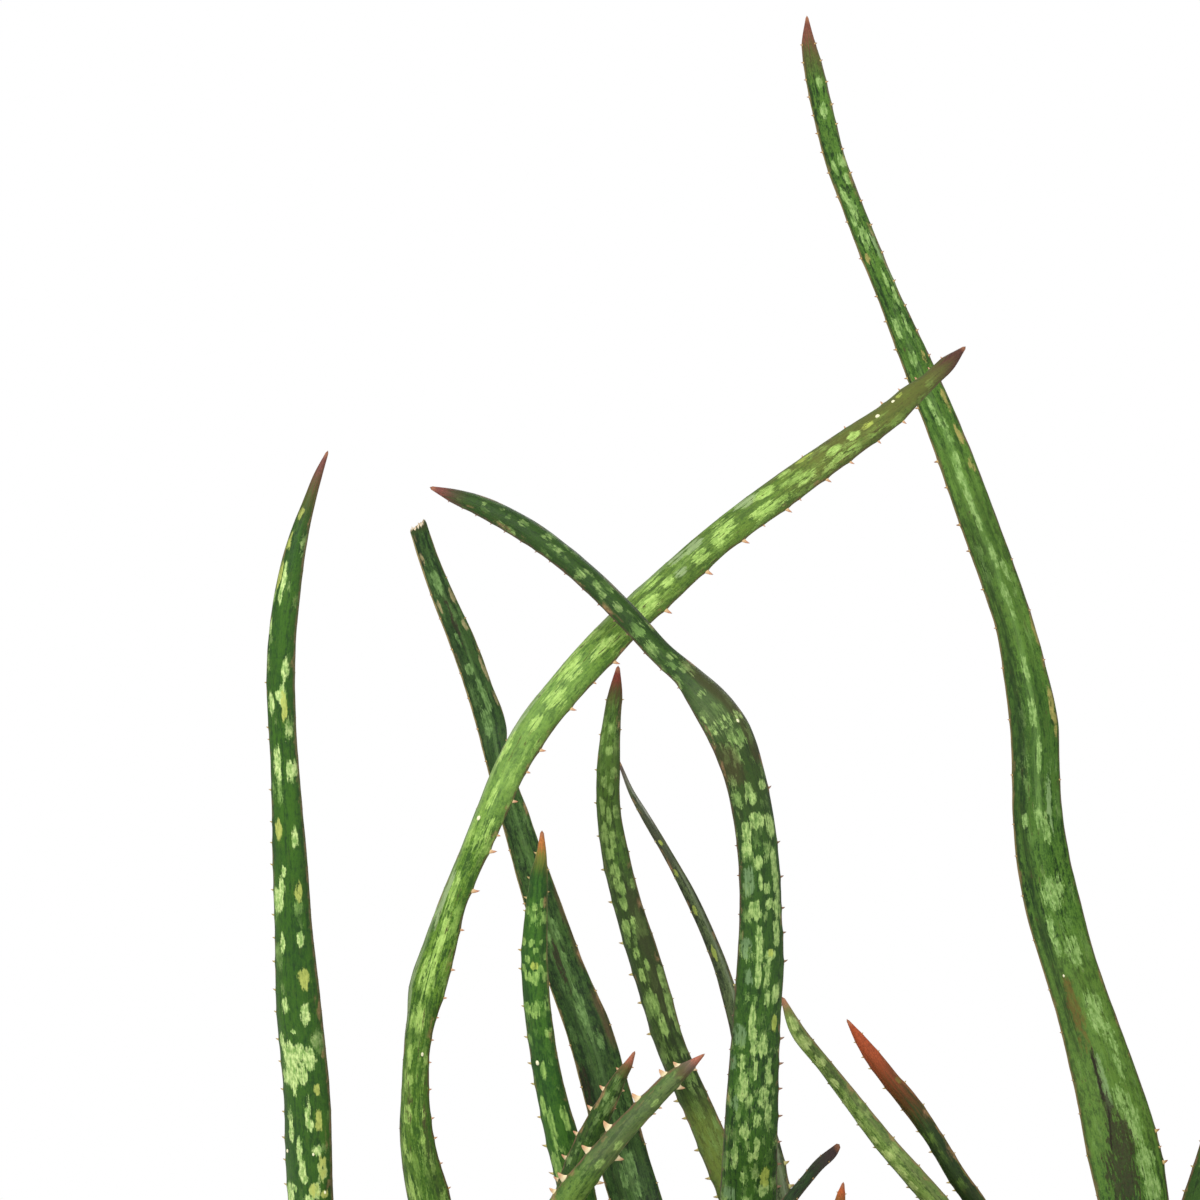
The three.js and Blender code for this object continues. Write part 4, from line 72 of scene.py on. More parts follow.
    {"name": "leaf_red_tip", "channel": -0.09, "rows": [[95.74, -9.85, 216.0, 20], [96.05, -18.4, 228.23, 17.21], [95.84, -24.0, 241.45, 14.43], [92.29, -30.87, 258.32, 12.98], [86.67, -38.3, 278.52, 10.87], [79.06, -45.86, 298.53, 8.78], [69.62, -52.45, 316.47, 7.39], [63.7, -57.84, 324.95, 6.86], [54.94, -62.77, 339.36, 6.5], [45.26, -67.18, 352.99, 7.14], [39.87, -70.53, 359.53, 6.45], [34.84, -73.13, 366.16, 5.95], [30.04, -75.56, 372.88, 4.12], [25.59, -78.0, 379.49, 0.99]], "face": [[0.0, [-0.17, 0.98, 0.75]], [0.06, [-0.17, 0.98, 0.75]], [0.4, [0.3, 1, 0.25]], [1, [0.35, 1, 0.35]]], "lft": -1, "teeth": {"-1": [[0.6391, 2.0], [0.7071, 1.8], [0.7525, 1.4], [0.8019, 1.2], [0.8552, 1.6], [0.9013, 1.5], [0.9266, 1.3], [0.9573, 1.0]], "1": [[0.7278, 1.0], [0.7939, 1.0], [0.8492, 1.2], [0.9253, 0.9], [0.968, 0.8]]}, "seen": True, "auto": [1.1, 12, 1, 0.6], "tk": 0.7, "viewer_up": False, "marks": [[0.8612, 0.96, 2.6, 2.2, "pale", 1.07]], "look": {"base": [42, 64, 24], "shade": [30, 50, 18], "deep": [24, 42, 14], "spot": [104, 136, 58], "spot2": [86, 116, 46], "cx": 3.0, "cy": 7.0, "share": 0.25, "share2": 0.25, "tip": [176, 82, 44], "tip2": [140, 66, 36], "tiplen": 25, "margin": [120, 96, 58], "marginw": 0.28, "tooth": [196, 192, 128], "tooth_tip": [172, 144, 96]}},
    {"name": "leaf_dark_blunt", "channel": -0.06, "rows": [[-12.0, 18.0, 240.0, 14], [-7.95, 14.92, 253.47, 11.59], [-6.91, 11.84, 267.94, 9.18], [-1.1, 7.1, 287.15, 7.39], [6.77, 2.51, 302.69, 5.96], [15.98, -1.22, 315.19, 4.9], [20.33, -3.65, 320.92, 4.89], [25.58, -5.07, 325.9, 3.83], [26.92, -6.0, 327.78, 2.44]], "face": [[0.0, [-1.0, -0.0, 0.75]], [0.06, [-1.0, -0.0, 0.75]], [0.4, [-0.3, -0.6, 0.6]], [1, [-0.4, -0.7, 0.6]]], "lft": 1, "teeth": {"-1": [[0.8566, 0.8], [0.94, 0.7]], "1": [[0.8499, 0.8], [0.9246, 0.7]]}, "seen": True, "auto": [0.7, 12, 1, 1], "tk": 0.6, "viewer_up": True, "look": {"base": [54, 84, 44], "shade": [42, 52, 38], "deep": [30, 32, 28], "spot": [108, 134, 88], "spot2": [84, 96, 74], "share": 0.4, "share2": 0.3, "tip": [82, 64, 62], "tip2": [66, 58, 54], "tiplen": 9, "margin": [96, 78, 70], "marginw": 0.25, "silver": [90, 104, 80]}},
    {"name": "leaf_orange_tip", "channel": -0.04, "rows": [[-7.64, 11.64, 216.0, 19], [1.12, 1.76, 228.02, 15.77], [7.75, -6.0, 241.03, 12.54], [16.97, -21.51, 263.28, 9.98], [22.03, -34.32, 284.58, 8.18], [23.84, -43.38, 303.17, 6.09], [24.84, -48.85, 315.55, 3.71], [25.65, -52.0, 321.78, 1.01]], "face": [[0.0, [-0.71, 0.71, 0.75]], [0.06, [-0.71, 0.71, 0.75]], [0.4, [-0.2, 1, 0.2]], [1, [-0.1, 1, 0.1]]], "lft": -1, "teeth": {"-1": [[0.9726, 0.8]], "1": [[0.9686, 0.8]]}, "seen": True, "auto": [1.0, 12, 1, 1], "tk": 0.7, "viewer_up": False, "look": {"base": [84, 106, 42], "shade": [54, 80, 32], "tip": [206, 104, 56], "tip2": [150, 100, 50], "tiplen": 8, "tooth": [196, 192, 128], "tooth_tip": [172, 144, 96], "margin": [110, 90, 58]}},
    {"name": "leaf_tallest", "channel": -0.17, "rows": [[102.19, 5.74, 226.0, 30], [107.6, 14.67, 233.77, 27.81], [110.56, 21.89, 242.54, 25.62], [123.5, 28.1, 254.83, 26.82], [132.58, 34.19, 267.99, 28.02], [137.4, 40.22, 282.74, 28.51], [136.72, 46.05, 303.61, 27.9], [133.87, 51.35, 319.75, 28.01], [130.37, 56.15, 336.06, 25.38], [126.07, 60.58, 352.34, 22.89], [121.4, 64.24, 368.74, 20.75], [116.28, 66.7, 385.25, 20.24], [111.63, 68.26, 402.15, 20.81], [107.88, 69.54, 419.4, 20.1], [105.63, 70.81, 436.96, 18.82], [104.98, 72.02, 454.64, 17.92], [104.37, 72.88, 472.31, 18.11], [101.36, 73.05, 489.76, 16.45], [97.58, 72.5, 507.13, 14.41], [92.02, 71.51, 524.02, 14.03], [82.84, 70.26, 548.95, 13.83], [73.59, 68.75, 573.75, 12.9], [63.53, 66.94, 598.27, 11.41], [56.43, 64.86, 614.39, 9.92], [49.48, 62.67, 630.43, 8.25], [42.57, 60.38, 646.5, 8.06], [36.0, 57.79, 662.6, 7.68], [29.73, 54.71, 678.74, 7.66], [25.19, 51.37, 695.29, 7.64], [21.29, 48.34, 711.95, 6.9], [19.5, 45.95, 720.17, 4.89], [18.9, 44.0, 728.59, 1.09]], "face": [[0.0, [-0.82, -0.57, 0.75]], [0.06, [-0.82, -0.57, 0.75]], [0.3, [-0.35, -1, 0.1]], [0.6, [-0.3, -1, 0.1]], [1, [-0.35, -1, 0.15]]], "lft": 1, "teeth": {"-1": [[0.1948, 2.6], [0.2048, 1.0], [0.2161, 2.2], [0.463, 0.6], [0.5424, 0.8], [0.5757, 0.7], [0.6117, 0.7], [0.7592, 1.0], [0.7779, 1.0], [0.7965, 1.0], [0.8145, 1.1], [0.8352, 1.0], [0.8552, 1.1], [0.8726, 1.0], [0.8926, 1.1], [0.9099, 1.0], [0.9273, 1.0], [0.9406, 1.1], [0.956, 1.0], [0.9706, 1.0], [0.9827, 0.9]], "1": [[0.467, 0.8], [0.5057, 0.8], [0.5417, 0.8], [0.5704, 0.9], [0.5984, 1.2], [0.6264, 1.6], [0.6451, 1.8], [0.6718, 1.3], [0.6905, 1.9], [0.7292, 1.5], [0.7505, 1.4], [0.7712, 1.4], [0.7912, 1.3], [0.8092, 1.2], [0.8366, 1.1], [0.8626, 1.0], [0.8806, 1.1], [0.8973, 1.0], [0.9113, 1.1], [0.9239, 1.1], [0.936, 1.0], [0.9486, 1.1], [0.96, 1.0], [0.9713, 1.0], [0.9827, 0.9]]}, "seen": True, "auto": [0.6, 16, 0.8, 0.6], "tk": 0.7, "viewer_up": True, "drops": [[0.3316, 0.39, 0.9]], "marks": [[0.9566, -0.36, 4.4, 2.2, "pale", 0.85], [0.938, -0.14, 5.8, 2.6, "pale", 0.88], [0.8993, 0.27, 6.6, 1.5, "pale", 1.02], [0.9026, -0.62, 5.1, 3.0, "pale", 0.88], [0.8899, -0.49, 4.4, 2.2, "pale", 0.78], [0.8799, 0.4, 7.3, 2.2, "pale", 0.91], [0.8699, 0.0, 7.3, 3.0, "pale", 0.91], [0.8626, 0.32, 5.9, 2.2, "pale", 0.79], [0.8486, -0.03, 8.8, 3.7, "pale", 0.88], [0.8172, -0.35, 8.1, 1.5, "pale", 0.85], [0.8052, -0.56, 8.8, 1.5, "pale", 0.92], [0.7845, 0.35, 9.6, 1.8, "pale", 0.88], [0.7845, -0.42, 10.3, 1.5, "pale", 1.01], [0.7605, 0.1, 6.6, 2.6, "pale", 0.87], [0.7238, 0.21, 12.5, 2.2, "pale", 0.74], [0.7071, -0.1, 11.8, 2.2, "pale", 0.8], [0.6878, -0.02, 7.4, 2.2, "pale", 0.78], [0.6798, 0.11, 11.8, 2.2, "pale", 0.99], [0.6731, 0.07, 6.6, 2.2, "pale", 1.08], [0.6604, 0.09, 8.1, 1.9, "pale", 0.95], [0.6498, 0.06, 10.3, 2.2, "pale", 0.75], [0.6418, 0.06, 5.9, 2.2, "pale", 1.0], [0.6184, -0.11, 11.8, 2.2, "pale", 0.78], [0.6064, -0.44, 8.9, 1.9, "pale", 0.77], [0.5911, -0.03, 7.4, 2.2, "pale", 0.94], [0.5871, -0.09, 8.1, 2.2, "pale", 0.73], [0.5764, -0.04, 4.4, 1.9, "pale", 0.95], [0.539, 0.0, 10.4, 2.6, "pale", 0.73], [0.5083, 0.06, 11.8, 3.0, "pale", 0.82], [0.4803, -0.07, 14.0, 2.6, "pale", 0.86], [0.4396, 0.06, 8.9, 2.6, "pale", 0.8], [0.429, -0.23, 11.1, 3.4, "pale", 0.87], [0.4363, 0.56, 5.9, 2.2, "pale", 0.92], [0.3863, 0.0, 11.1, 6.7, "pale", 0.96], [0.3916, -0.36, 7.4, 2.6, "pale", 0.99], [0.3576, 0.33, 14.7, 2.6, "pale", 0.93], [0.3449, -0.23, 14.0, 5.6, "pale", 0.78], [0.3022, -0.23, 16.2, 5.2, "pale", 0.73], [0.3075, -0.48, 8.1, 2.6, "pale", 0.87], [0.2835, -0.56, 16.1, 3.4, "pale", 0.74], [0.2628, -0.44, 10.2, 2.6, "pale", 0.88], [0.2435, -0.13, 11.0, 4.9, "pale", 0.77], [0.2262, -0.37, 18.2, 6.1, "pale", 0.87], [0.1981, -0.37, 12.3, 6.9, "pale", 0.9], [0.1828, -0.44, 10.1, 7.8, "pale", 0.97], [0.2008, -0.68, 8.0, 2.3, "pale", 0.93], [0.8426, -0.68, 11.0, 1.8, "silver", 0.72], [0.8239, -1.0, 14.7, 1.8, "silver", 0.85], [0.4496, -0.46, 22.2, 2.2, "silver", 0.83], [0.2548, 0.2, 21.9, 3.4, "silver", 1.03], [0.8346, 0.43, 4.4, 1.8, "lime", 0.9], [0.7278, -0.75, 8.8, 1.9, "lime", 0.84], [0.7025, -0.69, 8.8, 1.9, "lime", 0.88], [0.6805, -0.74, 6.6, 1.9, "lime", 0.81], [0.7598, -0.62, 5.1, 1.5, "lime", 0.87], [0.5657, -1.0, 14.8, 2.2, "lime", 1.0], [0.5097, -0.84, 14.8, 2.2, "lime", 1.05], [0.3222, 0.36, 9.6, 3.4, "brown", 0.92], [0.3055, 0.35, 17.6, 4.1, "brown", 0.86], [0.2882, 0.35, 11.0, 3.7, "brown", 0.74], [0.2708, 0.25, 9.5, 1.1, "dark", 0.99], [0.2588, 0.28, 9.5, 1.5, "dark", 0.92], [0.2468, 0.3, 8.0, 1.9, "dark", 0.84], [0.2362, 0.23, 11.7, 4.2, "dark", 0.74], [0.2155, 0.14, 19.7, 9.2, "dark", 0.76], [0.1921, 0.26, 23.2, 10.9, "dark", 0.74]], "look": {"base": [86, 126, 46], "shade": [50, 88, 30], "deep": [28, 52, 18], "spot": [160, 196, 118], "spot2": [116, 156, 78], "cx": 3.8, "cy": 13.0, "share": 0.24, "share2": 0.2, "tip": [132, 78, 64], "tip2": [90, 82, 48], "tiplen": 14, "margin": [100, 84, 72], "marginw": 0.45, "margin_l": [128, 112, 72], "marginw_l": 0.5, "streak": 1.6, "edge_shade": 0.4, "silver": [140, 170, 116], "lime": [170, 160, 92], "contrast": 1.45, "stripes": [[0.62, 0.18, 0.8, 0.28, 0.64, [24, 48, 16]], [0.45, 0.14, 0.45, 0.6, 0.84, [34, 62, 22]], [-0.45, 0.12, 0.4, 0.5, 0.8, [34, 64, 22]], [0.0, 0.16, 0.45, 0.42, 0.8, [120, 160, 84]]], "zones": [[0.2, 0.35, 0.5, [112, 146, 64]], [0.54, 0.7, 0.4, [108, 146, 60]], [0.43, 0.53, 0.5, [46, 80, 26]]], "fill": 1.1, "rag": [0.8, 1.0, 0.35, 0.45], "cracks": [[3.06, 153.2, 4.09, 132.8, 0.45], [2.94, 132.8, 5.75, 116.3, 0.35]]}, "fold": 0.045},
    {"name": "leaf_right_edge", "channel": -0.1, "rows": [[103.66, -2.59, 220.0, 24], [108.35, -6.17, 229.81, 21.38], [110.15, -8.97, 240.63, 18.77], [125.42, -11.61, 254.38, 18.04], [137.77, -14.79, 274.06, 17.3], [146.54, -18.43, 295.45, 16.56], [151.44, -22.23, 311.59, 15.82], [156.95, -26.29, 332.14, 14.75], [163.71, -30.82, 355.69, 12.98], [171.43, -35.41, 383.52, 10.21], [178.21, -39.22, 412.09, 6.79], [181.1, -41.94, 426.55, 4.06], [183.41, -44.0, 439.55, 1.01]], "face": [[0.0, [-0.97, 0.26, 0.75]], [0.06, [-0.97, 0.26, 0.75]], [0.4, [-0.3, 1, 0.2]], [1, [-0.3, 1, 0.2]]], "lft": -1, "teeth": {"-1": [[0.455, 1.4], [0.4937, 1.4], [0.5317, 1.2]], "1": []}, "seen": True, "auto": [0.8, 12, 1, 1], "tk": 0.7, "viewer_up": False, "look": {"base": [52, 86, 28], "shade": [36, 62, 22], "share": 0.35, "share2": 0.3, "tiplen": 10, "tooth": [196, 192, 128], "tooth_tip": [172, 144, 96]}},
    {"name": "leaf_small_behind", "channel": -0.03, "rows": [[-84.0, -14.93, 234.0, 18], [-82.0, -18.76, 238.52, 16.06], [-81.5, -20.0, 244.03, 14.13], [-78.6, -28.1, 262.89, 13.01], [-75.4, -36.14, 283.21, 11.91], [-70.88, -43.94, 301.57, 11.16], [-66.09, -51.13, 317.94, 10.42], [-62.36, -57.22, 330.63, 9.37], [-58.0, -61.98, 342.01, 7.67], [-53.67, -65.64, 350.84, 6.31], [-49.7, -68.44, 359.18, 4.64], [-46.4, -70.47, 364.73, 2.65], [-44.76, -72.0, 368.23, 0.99]], "face": [[0.0, [-0.5, 0.87, 0.75]], [0.06, [-0.5, 0.87, 0.75]], [0.4, [0.1, 1, 0.1]], [1, [0, 1, 0.2]]], "lft": -1, "teeth": {"-1": [[0.6438, 2.6], [0.7031, 2.6], [0.7672, 2.4], [0.8352, 2.6], [0.8919, 2.6], [0.9466, 1.2]], "1": [[0.9066, 1.2], [0.9666, 0.9]]}, "seen": True, "auto": [1.5, 12, 1, 0.6], "tk": 0.72, "viewer_up": False, "broad": 1.3, "look": {"base": [70, 102, 38], "shade": [42, 72, 28], "deep": [26, 44, 16], "spot": [150, 182, 112], "spot2": [128, 160, 88], "cx": 2.6, "cy": 4.4, "share": 0.5, "share2": 0.3, "square": True, "tip": [184, 112, 88], "tip2": [110, 86, 52], "tiplen": 6, "streak": 0.4, "tooth": [236, 220, 176], "marginw": 0.22, "tooth_tip": [206, 150, 116]}},
    {"name": "leaf_small_front", "channel": -0.03, "rows": [[-87.3, -15.97, 220.0, 19], [-85.52, -25.48, 232.8, 16.33], [-83.99, -32.0, 246.6, 13.66], [-82.75, -42.12, 267.39, 12.87], [-79.52, -52.1, 287.86, 12.1], [-73.67, -61.41, 306.25, 11.34], [-65.94, -69.35, 320.53, 10.27], [-59.96, -75.78, 329.47, 9.56], [-54.03, -81.37, 337.55, 8.86], [-46.85, -86.78, 346.52, 8.17], [-40.39, -91.99, 354.08, 7.48], [-33.48, -96.57, 361.83, 6.8], [-28.22, -100.04, 366.8, 4.85], [-25.37, -102.33, 369.35, 2.9], [-22.83, -104.0, 371.49, 0.97]], "face": [[0.0, [-0.09, 1.0, 0.75]], [0.06, [-0.09, 1.0, 0.75]], [0.4, [-0.1, 1, 0.3]], [1, [-0.15, 0.9, 0.5]]], "lft": -1, "teeth": {"-1": [[0.6391, 3.8], [0.7158, 3.6], [0.7752, 3.6], [0.8559, 3.4], [0.9226, 3.0], [0.952, 2.4]], "1": [[0.6591, 2.6], [0.7265, 3.2], [0.8439, 1.2], [0.8606, 1.4], [0.9159, 2.8], [0.9633, 1.6]]}, "seen": True, "auto": [1.9, 11, 1, 0.9], "tk": 0.85, "viewer_up": False, "marks": [[0.962, 0.43, 9.7, 8.0, "wash", 0.97], [0.7618, 0.22, 4.6, 2.8, "pale", 0.72], [0.7118, 0.04, 5.3, 2.5, "pale", 0.93], [0.8739, 0.1, 3.9, 2.5, "pale", 0.86]], "broad": 1.45, "look": {"base": [110, 144, 62], "shade": [74, 108, 48], "deep": [48, 76, 28], "spot": [168, 200, 116], "spot2": [124, 160, 80], "cx": 2.8, "cy": 5.0, "share": 0.2, "share2": 0.2, "tip": [190, 112, 92], "tip2": [116, 98, 88], "tiplen": 6, "streak": 0.5, "tooth": [240, 226, 184], "tooth_tip": [214, 170, 130], "marginw": 0.22, "contrast": 1.0, "zones": [[0.7, 0.96, 0.45, [96, 98, 84]]]}},
    {"name": "leaf_left_back", "channel": -0.09, "rows": [[-93.66, -2.34, 218.0, 18.62], [-99.94, 2.69, 227.85, 18.2], [-108.36, 8.78, 237.8, 17.41], [-118.7, 15.46, 247.76, 16.07], [-130.67, 22.34, 257.65, 14.0], [-143.94, 29.08, 267.38, 11.04], [-158.14, 35.39, 276.86, 6.87], [-172.87, 41.0, 286.0, 1.0]], "face": [[0.0, [0.71, -0.71, 0.75]], [0.4, [0.87, -0.5, 1.0]], [1.0, [0.87, -0.5, 1.0]]], "lft": -1, "teeth": {}, "seen": False, "auto": [1.2, 12, 1, 1], "viewer_up": True, "look": {"base": [84, 126, 40], "shade": [48, 86, 28], "tiplen": 6, "tip": [140, 84, 50], "tip2": [110, 100, 50], "share": 0.5}},
    {"name": "leaf_left_back_short", "channel": -0.09, "rows": [[-84.0, -1.07, 222.0, 17.64], [-81.08, 4.19, 230.54, 17.24], [-77.46, 10.8, 239.08, 16.5], [-73.26, 18.61, 247.45, 15.22], [-68.55, 27.49, 255.49, 13.26], [-63.44, 37.29, 263.04, 10.45], [-58.0, 47.88, 269.93, 6.51], [-52.32, 59.1, 276.0, 1.0]], "face": [[0.0, [-0.5, -0.87, 0.75]], [0.4, [-0.47, -0.88, 1.0]], [1.0, [-0.47, -0.88, 1.0]]], "lft": -1, "teeth": {}, "seen": False, "auto": [1.2, 12, 1, 1], "viewer_up": True, "look": {"base": [84, 126, 40], "shade": [48, 86, 28], "tiplen": 6, "tip": [140, 84, 50], "tip2": [110, 100, 50], "share": 0.5}},
    {"name": "leaf_left_front_low", "channel": -0.09, "rows": [[-92.59, -14.55, 214.0, 18.62], [-96.91, -22.11, 226.32, 18.2], [-102.05, -32.11, 237.44, 17.41], [-107.59, -44.23, 246.88, 16.07], [-113.2, -58.12, 254.15, 14.0], [-118.58, -73.38, 258.75, 11.04], [-123.48, -89.58, 260.2, 6.87], [-127.71, -106.28, 258.0, 1.0]], "face": [[0.0, [0.57, 0.82, 0.75]], [0.4, [0.37, 0.93, 1.0]], [1.0, [0.37, 0.93, 1.0]]], "lft": -1, "teeth": {}, "seen": False, "auto": [1.2, 12, 1, 1], "viewer_up": True, "look": {"base": [84, 126, 40], "shade": [48, 86, 28], "tiplen": 6, "tip": [140, 84, 50], "tip2": [110, 100, 50], "share": 0.5}},
    {"name": "leaf_left_heart", "channel": -0.09, "rows": [[-86.12, -7.32, 240.0, 11.76], [-85.85, -7.03, 247.14, 11.5], [-85.27, -6.59, 254.29, 11.0], [-84.49, -5.96, 261.43, 10.15], [-83.57, -5.15, 268.57, 8.84], [-82.56, -4.15, 275.71, 6.97], [-81.47, -2.96, 282.86, 4.34], [-80.34, -1.57, 290.0, 1.0]], "face": [[0.0, [-0.94, -0.34, 0.75]], [0.4, [-0.77, -0.64, 1.0]], [1.0, [-0.77, -0.64, 1.0]]], "lft": -1, "teeth": {}, "seen": False, "auto": [1.2, 12, 1, 1], "viewer_up": True, "look": {"base": [84, 126, 40], "shade": [48, 86, 28], "tiplen": 6, "tip": [140, 84, 50], "tip2": [110, 100, 50], "share": 0.5}},
    {"name": "leaf_mid_back_left", "channel": -0.09, "rows": [[-22.97, 18.78, 220.0, 17.64], [-29.51, 20.11, 228.03, 17.24], [-37.63, 22.07, 236.07, 16.5], [-47.08, 24.79, 244.01, 15.22], [-57.65, 28.33, 251.7, 13.26], [-69.12, 32.7, 259.01, 10.45], [-81.27, 37.92, 265.83, 6.51], [-93.89, 43.96, 272.0, 1.0]], "face": [[0.0, [1.0, -0.09, 0.75]], [0.4, [0.95, -0.31, 1.0]], [1.0, [0.95, -0.31, 1.0]]], "lft": -1, "teeth": {}, "seen": False, "auto": [1.2, 12, 1, 1], "viewer_up": True, "look": {"base": [84, 126, 40], "shade": [48, 86, 28], "tiplen": 6, "tip": [140, 84, 50], "tip2": [110, 100, 50], "share": 0.5}},
    {"name": "leaf_mid_back", "channel": -0.09, "rows": [[-13.22, 26.97, 222.0, 18.62], [-12.89, 36.1, 229.76, 18.2], [-12.72, 48.17, 237.5, 17.41], [-12.88, 62.44, 245.05, 16.07], [-13.45, 78.12, 252.24, 14.0], [-14.46, 94.44, 258.91, 11.04], [-15.92, 110.63, 264.89, 6.87], [-17.77, 125.93, 270.0, 1.0]], "face": [[0.0, [-0.09, -1.0, 0.75]], [0.4, [0.03, -1.0, 1.0]], [1.0, [0.03, -1.0, 1.0]]], "lft": -1, "teeth": {}, "seen": False, "auto": [1.2, 12, 1, 1], "viewer_up": True, "look": {"base": [84, 126, 40], "shade": [48, 86, 28], "tiplen": 6, "tip": [140, 84, 50], "tip2": [110, 100, 50], "share": 0.5}},
    {"name": "leaf_mid_front", "channel": -0.09, "rows": [[-17.8, 9.84, 216.0, 17.64], [-21.21, 4.29, 224.3, 17.24], [-25.72, -2.5, 232.69, 16.5], [-31.38, -10.25, 241.12, 15.22], [-38.14, -18.74, 249.53, 13.26], [-45.97, -27.77, 257.85, 10.45], [-54.78, -37.13, 266.03, 6.51], [-64.48, -46.62, 274.0, 1.0]], "face": [[0.0, [0.42, 0.91, 0.75]], [0.4, [0.62, 0.79, 1.0]], [1.0, [0.62, 0.79, 1.0]]], "lft": -1, "teeth": {}, "seen": False, "auto": [1.2, 12, 1, 1], "viewer_up": True, "look": {"base": [84, 126, 40], "shade": [48, 86, 28], "tiplen": 6, "tip": [140, 84, 50], "tip2": [110, 100, 50], "share": 0.5}},
    {"name": "leaf_mid_right_low", "channel": -0.09, "rows": [[-5.03, 18.78, 214.0, 15.68], [0.37, 18.88, 219.7, 15.33], [7.28, 18.9, 225.48, 14.66], [15.34, 18.74, 231.28, 13.53], [24.2, 18.35, 237.07, 11.79], [33.49, 17.71, 242.82, 9.29], [42.87, 16.82, 248.47, 5.78], [51.96, 15.7, 254.0, 1.0]], "face": [[0.0, [-1.0, -0.09, 0.75]], [0.4, [-1.0, 0.03, 1.0]], [1.0, [-1.0, 0.03, 1.0]]], "lft": -1, "teeth": {}, "seen": False, "auto": [1.2, 12, 1, 1], "viewer_up": True, "look": {"base": [84, 126, 40], "shade": [48, 86, 28], "tiplen": 6, "tip": [140, 84, 50], "tip2": [110, 100, 50], "share": 0.5}},
    {"name": "leaf_right_back", "channel": -0.09, "rows": [[90.58, 9.4, 218.0, 19.6], [87.4, 16.59, 226.81, 19.16], [83.1, 25.75, 235.7, 18.33], [77.76, 36.38, 244.56, 16.91], [71.49, 48.04, 253.32, 14.74], [64.46, 60.27, 261.87, 11.62], [56.87, 72.65, 270.13, 7.23], [48.93, 84.76, 278.0, 1.0]], "face": [[0.0, [0.34, -0.94, 0.75]], [0.4, [0.47, -0.88, 1.0]], [1.0, [0.47, -0.88, 1.0]]], "lft": -1, "teeth": {}, "seen": False, "auto": [1.2, 12, 1, 1], "viewer_up": True, "look": {"base": [84, 126, 40], "shade": [48, 86, 28], "tiplen": 6, "tip": [140, 84, 50], "tip2": [110, 100, 50], "share": 0.5}},
    {"name": "leaf_right_front", "channel": -0.09, "rows": [[100.43, -7.66, 214.0, 18.62], [105.62, -14.06, 223.6, 18.2], [112.08, -22.12, 233.37, 17.41], [119.64, -31.68, 243.28, 16.07], [128.16, -42.61, 253.31, 14.0], [137.49, -54.73, 263.46, 11.04], [147.49, -67.9, 273.69, 6.87], [158.03, -81.95, 284.0, 1.0]], "face": [[0.0, [-0.64, 0.77, 0.75]], [0.4, [-0.62, 0.79, 1.0]], [1.0, [-0.62, 0.79, 1.0]]], "lft": -1, "teeth": {}, "seen": False, "auto": [1.2, 12, 1, 1], "viewer_up": True, "look": {"base": [84, 126, 40], "shade": [48, 86, 28], "tiplen": 6, "tip": [140, 84, 50], "tip2": [110, 100, 50], "share": 0.5}},
    {"name": "leaf_right_side", "channel": -0.09, "rows": [[103.96, 0.87, 218.0, 20.58], [115.87, 2.64, 238.23, 20.12], [130.07, 5.26, 255.73, 19.25], [146.97, 8.93, 271.51, 17.76], [166.96, 13.85, 286.61, 15.47], [190.42, 20.28, 302.03, 12.2], [217.73, 28.47, 318.83, 7.59], [249.25, 38.71, 338.0, 1.0]], "face": [[0.0, [-1.0, -0.09, 0.75]], [0.4, [-0.97, -0.24, 1.0]], [1.0, [-0.97, -0.24, 1.0]]], "lft": -1, "teeth": {}, "seen": False, "auto": [1.2, 12, 1, 1], "viewer_up": True, "look": {"base": [84, 126, 40], "shade": [48, 86, 28], "tiplen": 6, "tip": [140, 84, 50], "tip2": [110, 100, 50], "share": 0.5}},
    {"name": "leaf_right_heart", "channel": -0.09, "rows": [[92.03, -0.35, 240.0, 12.74], [91.57, -0.25, 246.86, 12.45], [90.66, -0.16, 253.71, 11.91], [89.42, 0.01, 260.57, 10.99], [87.92, 0.3, 267.43, 9.58], [86.2, 0.72, 274.29, 7.55], [84.27, 1.31, 281.14, 4.7], [82.18, 2.08, 288.0, 1.0]], "face": [[0.0, [0.98, 0.17, 0.75]], [0.4, [0.98, -0.17, 1.0]], [1.0, [0.98, -0.17, 1.0]]], "lft": -1, "teeth": {}, "seen": False, "auto": [1.2, 12, 1, 1], "viewer_up": True, "look": {"base": [84, 126, 40], "shade": [48, 86, 28], "tiplen": 6, "tip": [140, 84, 50], "tip2": [110, 100, 50], "share": 0.5}},
    {"name": "leaf_mid_left_low", "channel": -0.09, "rows": [[-22.46, 14.92, 213.0, 15.68], [-27.7, 13.58, 218.45, 15.33], [-34.44, 12.01, 223.97, 14.66], [-42.36, 10.44, 229.56, 13.53], [-51.13, 9.01, 235.18, 11.79], [-60.39, 7.83, 240.8, 9.29], [-69.8, 6.99, 246.42, 5.78], [-79.0, 6.54, 252.0, 1.0]], "face": [[0.0, [0.94, 0.34, 0.75]], [0.4, [0.98, 0.17, 1.0]], [1.0, [0.98, 0.17, 1.0]]], "lft": -1, "teeth": {}, "seen": False, "auto": [1.2, 12, 1, 1], "viewer_up": True, "look": {"base": [84, 126, 40], "shade": [48, 86, 28], "tiplen": 6, "tip": [140, 84, 50], "tip2": [110, 100, 50], "share": 0.5}},
